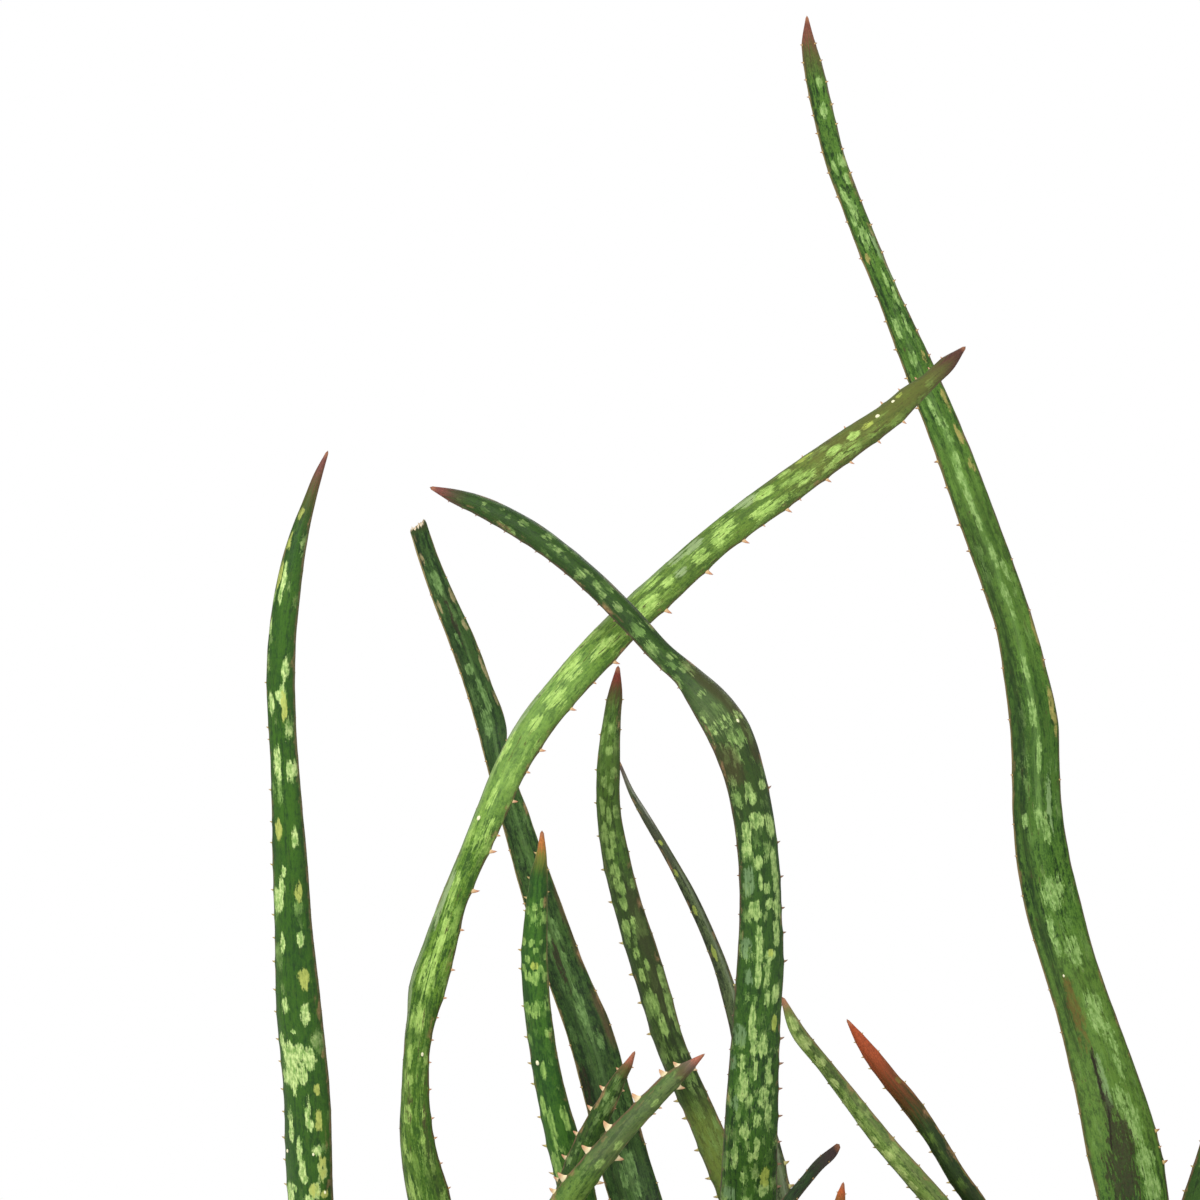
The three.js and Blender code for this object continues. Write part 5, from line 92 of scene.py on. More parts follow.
    {"name": "leaf_right_back_short", "channel": -0.09, "rows": [[97.75, 9.27, 224.0, 17.64], [100.26, 14.57, 232.79, 17.24], [103.49, 21.11, 241.56, 16.5], [107.4, 28.68, 250.09, 15.22], [111.96, 37.09, 258.2, 13.26], [117.08, 46.12, 265.69, 10.45], [122.7, 55.6, 272.35, 6.51], [128.74, 65.34, 278.0, 1.0]], "face": [[0.0, [-0.37, -0.93, 0.75]], [0.4, [-0.47, -0.88, 1.0]], [1.0, [-0.47, -0.88, 1.0]]], "lft": -1, "teeth": {}, "seen": False, "auto": [1.2, 12, 1, 1], "viewer_up": True, "look": {"base": [84, 126, 40], "shade": [48, 86, 28], "tiplen": 6, "tip": [140, 84, 50], "tip2": [110, 100, 50], "share": 0.5}},
    {"name": "leaf_right_front_low", "channel": -0.09, "rows": [[87.84, -7.88, 214.0, 16.66], [83.24, -12.78, 219.44, 16.29], [77.18, -18.9, 224.95, 15.58], [69.84, -25.84, 230.48, 14.37], [61.47, -33.23, 235.99, 12.53], [52.35, -40.73, 241.44, 9.87], [42.77, -48.04, 246.79, 6.15], [33.06, -54.87, 252.0, 1.0]], "face": [[0.0, [0.62, 0.79, 0.75]], [0.4, [0.74, 0.67, 1.0]], [1.0, [0.74, 0.67, 1.0]]], "lft": -1, "teeth": {}, "seen": False, "auto": [1.2, 12, 1, 1], "viewer_up": True, "look": {"base": [84, 126, 40], "shade": [48, 86, 28], "tiplen": 6, "tip": [140, 84, 50], "tip2": [110, 100, 50], "share": 0.5}},
    {"name": "leaf_right_inner", "channel": -0.09, "rows": [[84.6, 3.42, 222.0, 16.66], [79.29, 4.99, 229.5, 16.29], [72.65, 6.85, 236.97, 15.58], [64.88, 8.88, 244.25, 14.37], [56.14, 10.97, 251.16, 12.53], [46.64, 13.06, 257.53, 9.87], [36.55, 15.07, 263.2, 6.15], [26.08, 16.93, 268.0, 1.0]], "face": [[0.0, [0.94, -0.34, 0.75]], [0.4, [0.97, -0.24, 1.0]], [1.0, [0.97, -0.24, 1.0]]], "lft": -1, "teeth": {}, "seen": False, "auto": [1.2, 12, 1, 1], "viewer_up": True, "look": {"base": [84, 126, 40], "shade": [48, 86, 28], "tiplen": 6, "tip": [140, 84, 50], "tip2": [110, 100, 50], "share": 0.5}},
]


# ----------------------------------------------------------------- leaf shape
def curve_through(rows):
    """Cubic Hermite over chord length through rows [x, y, z, width]."""
    R = np.array(rows, float)
    d = np.linalg.norm(np.diff(R[:, :3], axis=0), axis=1)
    k = np.r_[0.0, np.cumsum(d)]
    s = np.diff(R, axis=0) / d[:, None]
    t = np.empty_like(R)
    t[0], t[-1] = s[0], s[-1]
    a, b = d[:-1, None], d[1:, None]
    t[1:-1] = (b * s[:-1] + a * s[1:]) / (a + b)

    def at(u):
        x = np.clip(np.asarray(u, float), 0, 1) * k[-1]
        i = np.clip(np.searchsorted(k, x, side="right") - 1, 0, len(k) - 2)
        h = d[i]
        q = (x - k[i]) / h
        h00 = (1 + 2 * q) * (1 - q) ** 2
        h10 = q * (1 - q) ** 2
        h01 = q * q * (3 - 2 * q)
        h11 = q * q * (q - 1)
        return (h00[:, None] * R[i] + (h10 * h)[:, None] * t[i]
                + h01[:, None] * R[i + 1] + (h11 * h)[:, None] * t[i + 1])
    return at


def table_mix(table, f):
    xs = [row[0] for row in table]
    ys = np.array([row[1] for row in table], float)
    if ys.ndim == 1:
        return np.interp(f, xs, ys)
    return np.stack([np.interp(f, xs, ys[:, j]) for j in range(ys.shape[1])], axis=1)


def along_leaf(leaf, f):
    """Points, widths and the three directions at fractions f of the leaf's length."""
    at = curve_through(leaf["rows"])
    u = np.linspace(0, 1, 1201)
    p = at(u)[:, :3]
    arc = np.r_[0.0, np.cumsum(np.linalg.norm(np.diff(p, axis=0), axis=1))]
    length = arc[-1]
    t = np.interp(np.asarray(f) * length, arc, u)
    P = at(t)
    A = at(np.maximum(0, t - 0.004))[:, :3]
    B = at(np.minimum(1, t + 0.004))[:, :3]
    T = B - A
    T /= np.linalg.norm(T, axis=1)[:, None]
    N = table_mix(leaf["face"], f)
    N = N - np.sum(N * T, axis=1)[:, None] * T
    N /= np.linalg.norm(N, axis=1)[:, None]
    W = np.cross(N, T)
    W /= np.linalg.norm(W, axis=1)[:, None]
    return P[:, :3], P[:, 3], T, N, W, length


UPPER_SEG, LOWER_SEG = 24, 34


def section_tables(leaf):
    c = leaf["channel"]
    upper = [[0, c * 1.1], [0.45, c], [0.75, c * 0.3 + 0.02], [1, 0.10]]
    lower = [[0, 0.28], [0.4, 0.31], [0.8, 0.33], [1, 0.40]]
    return upper, lower


def value_noise(seed, x, scale):
    return np.array([noise.noise((v / scale, seed * 7.31, seed * 1.7)) for v in np.atleast_1d(x)])


class Build:
    """Collects vertices, faces and per-vertex values for one mesh."""

    def __init__(self):
        self.v, self.f, self.n = [], [], 0
        self.a = {"lc": [], "lx": [], "mk": [], "ml": [], "nq": []}

    def add(self, verts, faces, lc, lx, mk=None, ml=None, nq=None):
        self.v.append(np.asarray(verts, float))
        self.f.extend([[i + self.n for i in face] for face in faces])
        self.a["lc"].append(np.asarray(lc, float))
        self.a["lx"].append(np.asarray(lx, float))
        m = len(verts)
        for key, val, blank in (("mk", mk, -1.0), ("ml", ml, -1.0), ("nq", nq, 0.0)):
            self.a[key].append(np.full((m, 3), blank) if val is None else np.asarray(val, float))
        self.n += len(verts)

    def mesh(self, name):
        me = bpy.data.meshes.new(name)
        V = np.concatenate(self.v) * MM
        me.from_pydata(V.tolist(), [], self.f)
        for k, parts in self.a.items():
            at = me.attributes.new(k, "FLOAT_VECTOR", "POINT")
            at.data.foreach_set("vector", np.concatenate(parts).astype(np.float32).ravel())
        me.polygons.foreach_set("use_smooth", [True] * len(me.polygons))
        me.update()
        return me


def hooked_tooth(P, T, W, N, sign, half, height, rng, broad=1.0):
    """A small curved prickle on a margin, leaning towards the leaf's tip."""
    rings, segs = 6, 10
    base_a = (0.40 * height + 0.30) * broad
    base_b = 0.17 * height + 0.22
    out = W * sign
    lean = rng.uniform(0.15, 0.5)
    start = P + out * (half - 0.55)
    verts, faces, tooth = [], [], []
    for r in range(rings):
        t = r / rings
        c = start + out * (t * (height + 0.55)) + T * (lean * height * t * t) + N * (0.12 * height * t * t)
        k = (1 - t) ** 0.85 * (1 - 0.35 * math.sin(math.pi * min(1, t * 1.3)) * 0.6)
        for s in range(segs):
            a = 2 * math.pi * s / segs
            verts.append(c + T * (math.cos(a) * base_a * k) + N * (math.sin(a) * base_b * k))
            tooth.append(max(0.02, t))
    apex = start + out * (height + 0.55) + T * (lean * height) + N * (0.12 * height)
    verts.append(apex)
    tooth.append(1.0)
    verts.append(start - out * 0.05)
    tooth.append(0.02)
    for r in range(rings - 1):
        for s in range(segs):
            a, b = r * segs + s, r * segs + (s + 1) % segs
            faces.append([a, b, b + segs, a + segs])
    last = (rings - 1) * segs
    for s in range(segs):
        faces.append([last + s, last + (s + 1) % segs, rings * segs])
        faces.append([(s + 1) % segs, s, rings * segs + 1])
    return verts, faces, tooth


def leaf_mesh(leaf, index):
    rng = np.random.default_rng(1000 + index)
    _, _, _, _, _, length = along_leaf(leaf, np.array([0.0, 1.0]))
    step = 1.0 if leaf["seen"] else 1.6
    n = max(40, int(length / step))
    f = np.linspace(0, 1, n + 1)
    # closer sections near the tip
    f = 1 - (1 - f) ** 1.06
    P, w, T, N, W, length = along_leaf(leaf, f)
    w = np.maximum(w, 0.75)
    along = f * length
    upper, lower = section_tables(leaf)
    up = table_mix(upper, f) * w
    down = table_mix(lower, f) * w
    # gentle swelling and thinning along the blade
    down = down * (1 + 0.05 * value_noise(index + 3, along, 22))
    up = up + 0.03 * w * value_noise(index + 9, along, 30)

    # teeth: measured ones, and even ones where none are given
    teeth = []
    for sign in (-1, 1):
        given = list(leaf["teeth"].get(str(sign), []))
        lo = min([g[0] for g in given]) if given else 1.0
        hi = max([g[0] for g in given]) if given else 0.0
        size, gap = leaf["auto"][0], leaf["auto"][1]
        small = leaf["auto"][2 if sign == leaf["lft"] else 3]
        s = 16 + rng.uniform(0, 6)
        while s < length - 12:
            ff = s / length
            if not given or ff < lo - 0.02 or (ff > hi + 0.03 and not leaf["seen"]):
                fade = min(1, (length - s) / 70 + 0.35)
                teeth.append([ff, size * small * fade * rng.uniform(0.75, 1.2), sign])
            s += gap * rng.uniform(0.7, 1.35)
        teeth += [[g[0], g[1] * leaf.get("tk", 0.62), sign] for g in given]

    # the margin swells a little under each tooth
    bulge = {-1: np.zeros(n + 1), 1: np.zeros(n + 1)}
    for ff, h, sign in teeth:
        d = along - ff * length
        bulge[sign] += 0.16 * h * np.exp(-(d / (0.8 + 0.55 * h)) ** 2)
    for sign in (-1, 1):
        bulge[sign] = np.minimum(bulge[sign], 0.9) + 0.12 * value_noise(index * 3 + sign + 5, along, 6) * np.minimum(1, w / 8)

    ku = np.cos(np.linspace(math.pi, 0, UPPER_SEG + 1))          # -1 .. 1, upper side
    kl = np.cos(np.linspace(0, math.pi, LOWER_SEG + 1))[1:-1]    # 1 .. -1, lower side
    q = np.r_[ku, kl]
    is_up = np.r_[np.ones(UPPER_SEG + 1, bool), np.zeros(LOWER_SEG - 1, bool)]
    K = len(q)
    half = w / 2
    fold = leaf.get("fold", 0.0)
    nn = np.where(is_up[None, :], up[:, None] * (1 - q[None, :] ** 2),
                  -down[:, None] * np.clip(1 - q[None, :] ** 2, 0, 1) ** 0.72)
    # a crease down the middle of the upper side on channelled blades
    if fold:
        nn = nn - np.where(is_up[None, :], fold * w[:, None] * np.exp(-(q[None, :] / 0.22) ** 2) * np.sin(math.pi * np.clip(f * 1.15, 0, 1))[:, None], 0)
    # thin horny rim that stands a little proud of both faces
    edge_mm = (1 - np.abs(q))[None, :] * half[:, None]
    rim = np.exp(-(edge_mm / 0.45) ** 2) * np.minimum(1, w / 6)[:, None] * 0.10
    nn = nn + np.where(is_up[None, :], rim, -rim)
    side_bulge = np.where(q[None, :] > 0, bulge[1][:, None], bulge[-1][:, None]) * np.abs(q[None, :]) ** 6
    x = q[None, :] * half[:, None] + np.sign(q)[None, :] * side_bulge
    V = P[:, None, :] + W[:, None, :] * x[..., None] + N[:, None, :] * nn[..., None]
    # fine lengthwise ribs and slow dents, in the real surface
    lat = q[None, :] * half[:, None]
    wob = np.zeros((n + 1, K))
    for j in range(0, K):
        wob[:, j] = np.array([noise.noise((float(lat[i, j]) * 0.16 + index * 3.1, float(along[i]) * 0.035, 0.0 if is_up[j] else 9.0)) for i in range(n + 1)])
    taper = np.minimum(1, w / 9)[:, None] * np.clip(1 - np.abs(q), 0, 0.3)[None, :] / 0.3
    V = V + N[:, None, :] * (wob * 0.28 * taper * np.where(is_up, 1, -1)[None, :])[..., None]

    cut = leaf.get("blunt", False)
    if cut:
        jag = np.array([noise.noise((j * 0.45, 3.7, 1.3)) * 1.5 + rng.uniform(-0.3, 0.3) - 1.3 * q[j] for j in range(K)])
        for back, amount in ((0, 1.0), (1, 0.6), (2, 0.25)):
            V[n - back] += T[n - back][None, :] * (jag * amount)[:, None]
        V[n] = P[n] + (V[n] - P[n]) * 0.93

    # marks placed one by one, as smooth fields that pass zero at the mark's edge
    fields = {kind: np.full((n + 1, K), -1.0) for kind in ("pale", "dark", "brown", "wash", "silver", "lime")}
    viewer_up = bool(leaf["viewer_up"])
    on_side = (is_up == viewer_up)[None, :]
    power = 2.8 if leaf.get("look", {}).get("square") else 2.1
    for (mf, mq, ml_, mw, kind, strength) in leaf.get("marks", []):
        da = np.abs((along - mf * length) / (ml_ * 0.54))
        dq = np.abs((q[None, :] - mq) * half[:, None] / (mw * 0.54))
        val = 1 - (np.minimum(da, 9)[:, None] ** power + np.minimum(dq, 9) ** power)
        val = np.where(on_side, np.maximum(np.minimum(val, 0.75) + strength - 1, -1), -1.0)
        np.maximum(fields[kind], val, out=fields[kind])

    b = Build()
    quads = []
    for i in range(n):
        r0, r1 = i * K, (i + 1) * K
        for j in range(K):
            j2 = (j + 1) % K
            quads.append([r0 + j, r0 + j2, r1 + j2, r1 + j])
    side = np.where(is_up, 0.0, 1.0)
    totip = length - along
    lc = np.stack([np.broadcast_to(lat, (n + 1, K)), np.broadcast_to(along[:, None], (n + 1, K)), np.broadcast_to(side[None, :], (n + 1, K))], axis=-1)
    lx = np.stack([edge_mm, np.broadcast_to(totip[:, None], (n + 1, K)), np.zeros((n + 1, K))], axis=-1)
    mk = np.stack([fields["pale"], fields["dark"], fields["brown"]], axis=-1)
    ml = np.stack([fields["wash"], fields["silver"], fields["lime"]], axis=-1)
    nq = np.stack([np.broadcast_to(q[None, :], (n + 1, K)), np.broadcast_to(f[:, None], (n + 1, K)), np.broadcast_to(w[:, None], (n + 1, K))], axis=-1)
    verts = V.reshape(-1, 3)
    lc, lx, mk, ml, nq = (arr.reshape(-1, 3) for arr in (lc, lx, mk, ml, nq))
    first, last = list(range(K)), list(range(n * K, (n + 1) * K))
    centre0 = V[0].mean(axis=0)
    if cut:
        centre1 = V[n].mean(axis=0) - T[n] * 1.3
    else:
        centre1 = P[n] + T[n] * 0.9
    verts = np.vstack([verts, centre0, centre1])
    lc = np.vstack([lc, [0, 0, 0], [0, length, 0]])
    lx = np.vstack([lx, [2, length, 0], [2, -1.0 if cut else 0, 0]])
    mk = np.vstack([mk, [-1, -1, -1], [-1, -1, -1]])
    ml = np.vstack([ml, [-1, -1, -1], [-1, -1, -1]])
    nq = np.vstack([nq, [0, 0, w[0]], [0, 1, w[-1]]])
    c0, c1 = len(verts) - 2, len(verts) - 1
    for j in range(K):
        quads.append([first[(j + 1) % K], first[j], c0])
        quads.append([last[j], last[(j + 1) % K], c1])
    b.add(verts, quads, lc, lx, mk, ml, nq)

    if cut:
        # dried shreds of skin standing up round the cut
        for j in range(0, K, 2):
            a0, a1 = V[n, j], V[n, (j + 2) % K]
            mid = (a0 + a1) / 2
            inward = P[n] - mid
            inward /= max(np.linalg.norm(inward), 1e-6)
            h = rng.uniform(0.1, 0.75) * (1.5 if rng.uniform() < 0.2 else 1)
            tip = mid + T[n] * h + inward * rng.uniform(-0.2, 0.6)
            back = mid + inward * 0.35 + T[n] * 0.1
            low = mid - T[n] * 0.5 + inward * 0.2
            sv = [a0, a1, tip, back, low]
            b.add(sv, [[0, 1, 2], [1, 3, 2], [3, 0, 2], [0, 4, 1], [1, 4, 3], [3, 4, 0]],
                  [[0, length, 0]] * 5, [[2, -2.0, 0]] * 5)

    for ff, h, sign in teeth:
        PP, ww, TT, NN, WW, _ = along_leaf(leaf, np.array([ff]))
        i = int(np.argmin(abs(f - ff)))
        hh = ww[0] / 2 + bulge[sign][i] * 0.8
        tv, tf, tt = hooked_tooth(PP[0], TT[0], WW[0], NN[0], sign, hh, h, rng, leaf.get("broad", 1.0))
        m = len(tv)
        b.add(tv, tf, [[sign * hh, ff * length, 0]] * m, [[0.0, (1 - ff) * length, t] for t in tt])

    for (df, dq, size) in leaf.get("drops", []):
        i = int(np.argmin(abs(f - df)))
        cand = [j for j in range(K) if is_up[j] == viewer_up]
        j = min(cand, key=lambda jj: abs(q[jj] - dq))
        c = V[i, j]
        nrm = N[i] if viewer_up else -N[i]
        ico = drop_shape(c, nrm, T[i], size, rng)
        b.add(ico[0], ico[1], [[0, along[i], 0]] * len(ico[0]), [[3.0, totip[i], 2.0]] * len(ico[0]))
    return b.mesh(leaf["name"] + "_skin")


def drop_shape(c, nrm, along_dir, size, rng):
    bm = bmesh.new()
    bmesh.ops.create_icosphere(bm, subdivisions=3, radius=1.0)
    nrm = nrm / np.linalg.norm(nrm)
    t = along_dir / np.linalg.norm(along_dir)
    s = np.cross(nrm, t)
    verts = []
    for v in bm.verts:
        k = 1 + 0.18 * noise.noise(v.co * 1.3 + Vector((c[0], c[1], c[2])))
        p = c + (t * (v.co.x * 1.15) + s * (v.co.y * 0.85)) * size * 0.5 * k + nrm * (v.co.z * size * 0.22 * k)
        verts.append(p)
    faces = [[v.index for v in fc.verts] for fc in bm.faces]
    bm.free()
    return verts, faces


# ------------------------------------------------------------------ materials
class Nodes:
    """Short ways to wire a shader."""

    def __init__(self, name):
        self.mat = bpy.data.materials.new(name)
        self.mat.use_nodes = True
        self.t = self.mat.node_tree
        self.bsdf = self.t.nodes["Principled BSDF"]

    def new(self, kind, **props):
        nd = self.t.nodes.new(kind)
        for k, v in props.items():
            setattr(nd, k, v)
        return nd

    def link(self, a, b):
        self.t.links.new(a, b)

    def put(self, socket, value):
        if hasattr(value, "is_output"):
            self.link(value, socket)
        else:
            socket.default_value = value

    def attr(self, name):
        nd = self.new("ShaderNodeAttribute", attribute_name=name, attribute_type="GEOMETRY")
        sep = self.new("ShaderNodeSeparateXYZ")
        self.link(nd.outputs["Vector"], sep.inputs[0])
        return sep.outputs[0], sep.outputs[1], sep.outputs[2]

    def math(self, op, a, b=0.0, c=None, clamp=False):
        nd = self.new("ShaderNodeMath", operation=op, use_clamp=clamp)
        self.put(nd.inputs[0], a)
        self.put(nd.inputs[1], b)
        if c is not None:
            self.put(nd.inputs[2], c)
        return nd.outputs[0]

    def xyz(self, x, y, z=0.0):
        nd = self.new("ShaderNodeCombineXYZ")
        self.put(nd.inputs[0], x)
        self.put(nd.inputs[1], y)
        self.put(nd.inputs[2], z)
        return nd.outputs[0]

    def noise(self, vec, scale=1.0, detail=3.0, rough=0.55, dims="3D"):
        nd = self.new("ShaderNodeTexNoise", noise_dimensions=dims)
        self.link(vec, nd.inputs["Vector"])
        nd.inputs["Scale"].default_value = scale
        nd.inputs["Detail"].default_value = detail
        nd.inputs["Roughness"].default_value = rough
        return nd.outputs["Fac"]

    def cells(self, vec, scale=1.0, rand=1.0, metric="EUCLIDEAN"):
        nd = self.new("ShaderNodeTexVoronoi", voronoi_dimensions="2D", feature="F1", distance=metric)
        self.link(vec, nd.inputs["Vector"])
        nd.inputs["Scale"].default_value = scale
        nd.inputs["Randomness"].default_value = rand
        sep = self.new("ShaderNodeSeparateColor")
        self.link(nd.outputs["Color"], sep.inputs[0])
        return nd.outputs["Distance"], sep.outputs[0], sep.outputs[1], sep.outputs[2]

    def ramp(self, x, lo, hi, a=0.0, b=1.0, smooth=True):
        nd = self.new("ShaderNodeMapRange", interpolation_type="SMOOTHSTEP" if smooth else "LINEAR")
        self.put(nd.inputs["Value"], x)
        nd.inputs["From Min"].default_value = lo
        nd.inputs["From Max"].default_value = hi
        nd.inputs["To Min"].default_value = a
        nd.inputs["To Max"].default_value = b
        return nd.outputs["Result"]

    def mix(self, fac, a, b, mode="MIX"):
        nd = self.new("ShaderNodeMix", data_type="RGBA", blend_type=mode)
        self.put(nd.inputs["Factor"], fac)
        self.put(nd.inputs[6], a)
        self.put(nd.inputs[7], b)
        return nd.outputs[2]

    def bump(self, height, distance, strength=1.0, normal=None):
        nd = self.new("ShaderNodeBump")
        nd.inputs["Strength"].default_value = strength
        nd.inputs["Distance"].default_value = distance
        self.link(height, nd.inputs["Height"])
        if normal is not None:
            self.link(normal, nd.inputs["Normal"])
        return nd.outputs["Normal"]


def srgb(r, g, b):
    def lin(c):
        c = c / 255
        return c / 12.92 if c <= 0.04045 else ((c + 0.055) / 1.055) ** 2.4
    return (lin(r), lin(g), lin(b), 1.0)


# Colouring of a leaf.  base, shade, deep: greens; spot, spot2: the pale flecks;
# cx, cy: size in mm of the cells that carry a fleck, across and along; share: how
# many cells have one; reach: how much of its cell it fills; square: flecks with
# straighter sides; streak: how ragged they are lengthwise; tip, tip2, tiplen: the
# dry point; margin: the horny line; stripes: long bands, mostly painted shade and
# painted highlight, a few partly the skin's own tint, see below; edge_shade:
# painted shade just inside the margins; rag: how the edges of the placed marks
# fray, by tufts, mottling, hairs and ribs; fill: how opaque they are; fade:
# [fraction, fraction, opacity] where they thin out.
LOOK = dict(base=(74, 118, 32), shade=(42, 80, 22), deep=(24, 48, 14), spot=(158, 196, 108), spot2=(118, 160, 70),
            cx=4.0, cy=10.0, share=0.45, reach=0.42, share2=0.3, square=False, streak=1.0,
            tip=(120, 46, 36), tip2=(92, 50, 38), tiplen=16, margin=(112, 84, 62), marginw=0.28,
            margin_l=None, marginw_l=0.4, olive=0.0, olive_color=(86, 84, 36), upper_share=0.6, edge_shade=0.45,
            wash=(92, 66, 50), silver=(150, 168, 128), lime=(178, 196, 90), tooth=(196, 170, 112), tooth_tip=(150, 96, 64),
            contrast=1.0, lift=0.0, stripes=(), zones=(), cracks=(),
            rag=(0.75, 0.8, 0.3, 0.2), fill=1.0, fade=None)


def leaf_material(leaf, index):
    L = dict(LOOK)
    L.update(leaf.get("look", {}))
    k = Nodes(leaf["name"] + "_green")
    lat, along, side = k.attr("lc")
    edge, totip, tooth = k.attr("lx")
    pale_f, dark_f, brown_f = k.attr("mk")
    wash_f, silver_f, lime_f = k.attr("ml")
    q, frac, width = k.attr("nq")
    seed = index * 13.7
    sx = k.math("ADD", k.math("MULTIPLY", side, 61.0), seed)

    def field(a, b, off, detail=2.0, rough=0.5, lo=0.34, hi=0.66):
        """Noise stretched to fill 0..1; a and b are its rates across and along the blade."""
        n = k.noise(k.xyz(k.math("MULTIPLY", lat, a), k.math("MULTIPLY", along, b), k.math("ADD", sx, off)), 1.0, detail, rough)
        return k.ramp(n, lo, hi, smooth=False)

    def centred(x, gain):
        return k.math("MULTIPLY", k.math("SUBTRACT", x, 0.5), gain)

    wave = centred(k.noise(k.xyz(k.math("MULTIPLY", lat, 0.2), k.math("MULTIPLY", along, 0.12), k.math("ADD", sx, 3.0)), 1.0, 1.0), 1.6)
    xa = k.math("ADD", lat, wave)
    vn = k.noise(k.xyz(k.math("MULTIPLY", xa, 1.0), k.math("MULTIPLY", along, 0.03), k.math("ADD", sx, 37.0)), 1.0, 2.0)
    vein = k.ramp(vn, 0.34, 0.66, smooth=False)      # ribs that run the whole length
    hair = field(2.3, 0.085, 0.0, 3.0, 0.6)          # long fine streaks
    tuft = field(1.3, 0.26, 7.0, 2.0)                # shorter, broader ones
    grit = field(1.9, 1.2, 13.0, 3.0, 0.7)           # grain of the skin
    fine = field(3.6, 0.30, 31.0, 3.0, 0.65)
    mottle = field(0.75, 0.34, 53.0, 5.0, 0.72)      # uneven green
    cloud = field(0.16, 0.045, 41.0, 2.0)
    patch = field(0.34, 0.13, 47.0, 2.0)
    body = field(0.95, 0.42, 83.0, 4.0, 0.66)        # unevenness inside the pale marks

    ya = k.math("ADD", along, k.math("ADD", centred(hair, 2.6 * L["streak"]), centred(tuft, 1.9 * L["streak"])))
    metric = "CHEBYCHEV" if L["square"] else "EUCLIDEAN"
    ragged = k.math("ADD", centred(fine, 0.20), k.math("ADD", centred(grit, 0.24), centred(tuft, 0.18)))

    def spots(cx, cy, off, share, reach):
        v = k.xyz(k.math("ADD", k.math("DIVIDE", xa, cx), k.math("ADD", sx, off)), k.math("ADD", k.math("DIVIDE", ya, cy), off * 1.7), 0.0)
        dist, r, g, bl = k.cells(v, rand=0.85, metric=metric)
        size = k.math("MULTIPLY_ADD", g, reach * 0.7, reach * 0.5)
        d = k.math("ADD", k.math("SUBTRACT", size, dist), ragged)
        on = k.ramp(r, 1 - share - 0.02, 1 - share + 0.02)
        return k.math("MULTIPLY", k.ramp(d, -0.06, 0.12), on), bl

    m1, b1 = spots(L["cx"], L["cy"], 0.0, L["share"], L["reach"])
    m2, b2 = spots(L["cx"] * 0.6, L["cy"] * 0.62, 5.3, L["share2"], L["reach"] * 0.9)
    band = k.ramp(k.noise(k.xyz(k.math("MULTIPLY", lat, 0.05), k.math("MULTIPLY", along, 0.085), k.math("ADD", sx, 21.0)), 1.0, 1.0), 0.36, 0.60)
    low = k.math("MULTIPLY_ADD", band, 0.75, 0.25)
    face_share = k.math("ADD", k.math("MULTIPLY", side, 1.0 - L["upper_share"]), L["upper_share"])
    clear = k.ramp(totip, L["tiplen"] * 0.8, L["tiplen"] * 1.8)
    keep = k.math("MULTIPLY", k.math("MULTIPLY", low, face_share), clear)
    m1 = k.math("MULTIPLY", m1, keep)
    m2 = k.math("MULTIPLY", m2, keep)

    r_tuft, r_mottle, r_hair, r_vein = L["rag"]
    fray = k.math("ADD", k.math("ADD", centred(tuft, r_tuft), centred(mottle, r_mottle)), k.math("ADD", centred(hair, r_hair), centred(vein, r_vein)))
    fray = k.math("ADD", fray, centred(grit, 0.22))

    def placed(fieldval, lo=-0.2, hi=0.42, gain=1.0):
        return k.ramp(k.math("ADD", fieldval, k.math("MULTIPLY", fray, gain)), lo, hi)

    # green ground
    g = k.math("ADD", k.math("ADD", centred(fine, 0.5 * L["contrast"]), centred(vein, 0.45 * L["contrast"])),
               k.math("ADD", k.math("ADD", centred(cloud, 0.6), centred(mottle, 0.8 * L["contrast"])), centred(grit, 0.7 * L["contrast"])))
    g = k.math("ADD", g, 0.5 + L["lift"], clamp=True)
    col = k.mix(g, srgb(*L["shade"]), srgb(*L["base"]))
    if L["olive"]:
        fac = k.math("MULTIPLY", k.ramp(k.math("ADD", cloud, centred(hair, 0.5)), 0.35, 0.75), L["olive"])
        col = k.mix(fac, col, srgb(*L["olive_color"]))
    # dark threads between the ribs
    thread = k.math("MULTIPLY", k.ramp(k.math("ADD", k.math("ADD", vein, centred(fine, 0.5)), centred(mottle, 1.1)), -0.1, 0.34, 1.0, 0.0), 0.62 * L["contrast"])
    col = k.mix(thread, col, srgb(*L["deep"]))
    # stretches of the blade with a tone of their own
    for (f0, f1, amount, tone) in L["zones"]:
        m = k.math("MULTIPLY", k.ramp(k.math("ADD", frac, centred(hair, 0.03)), f0 - 0.03, f0 + 0.03), k.ramp(frac, f1 - 0.03, f1 + 0.03, 1.0, 0.0))
        m = k.math("MULTIPLY", m, k.math("MULTIPLY_ADD", centred(mottle, 0.7), 1.0, 0.85), clamp=True)
        col = k.mix(k.math("MULTIPLY", m, amount), col, srgb(*tone))
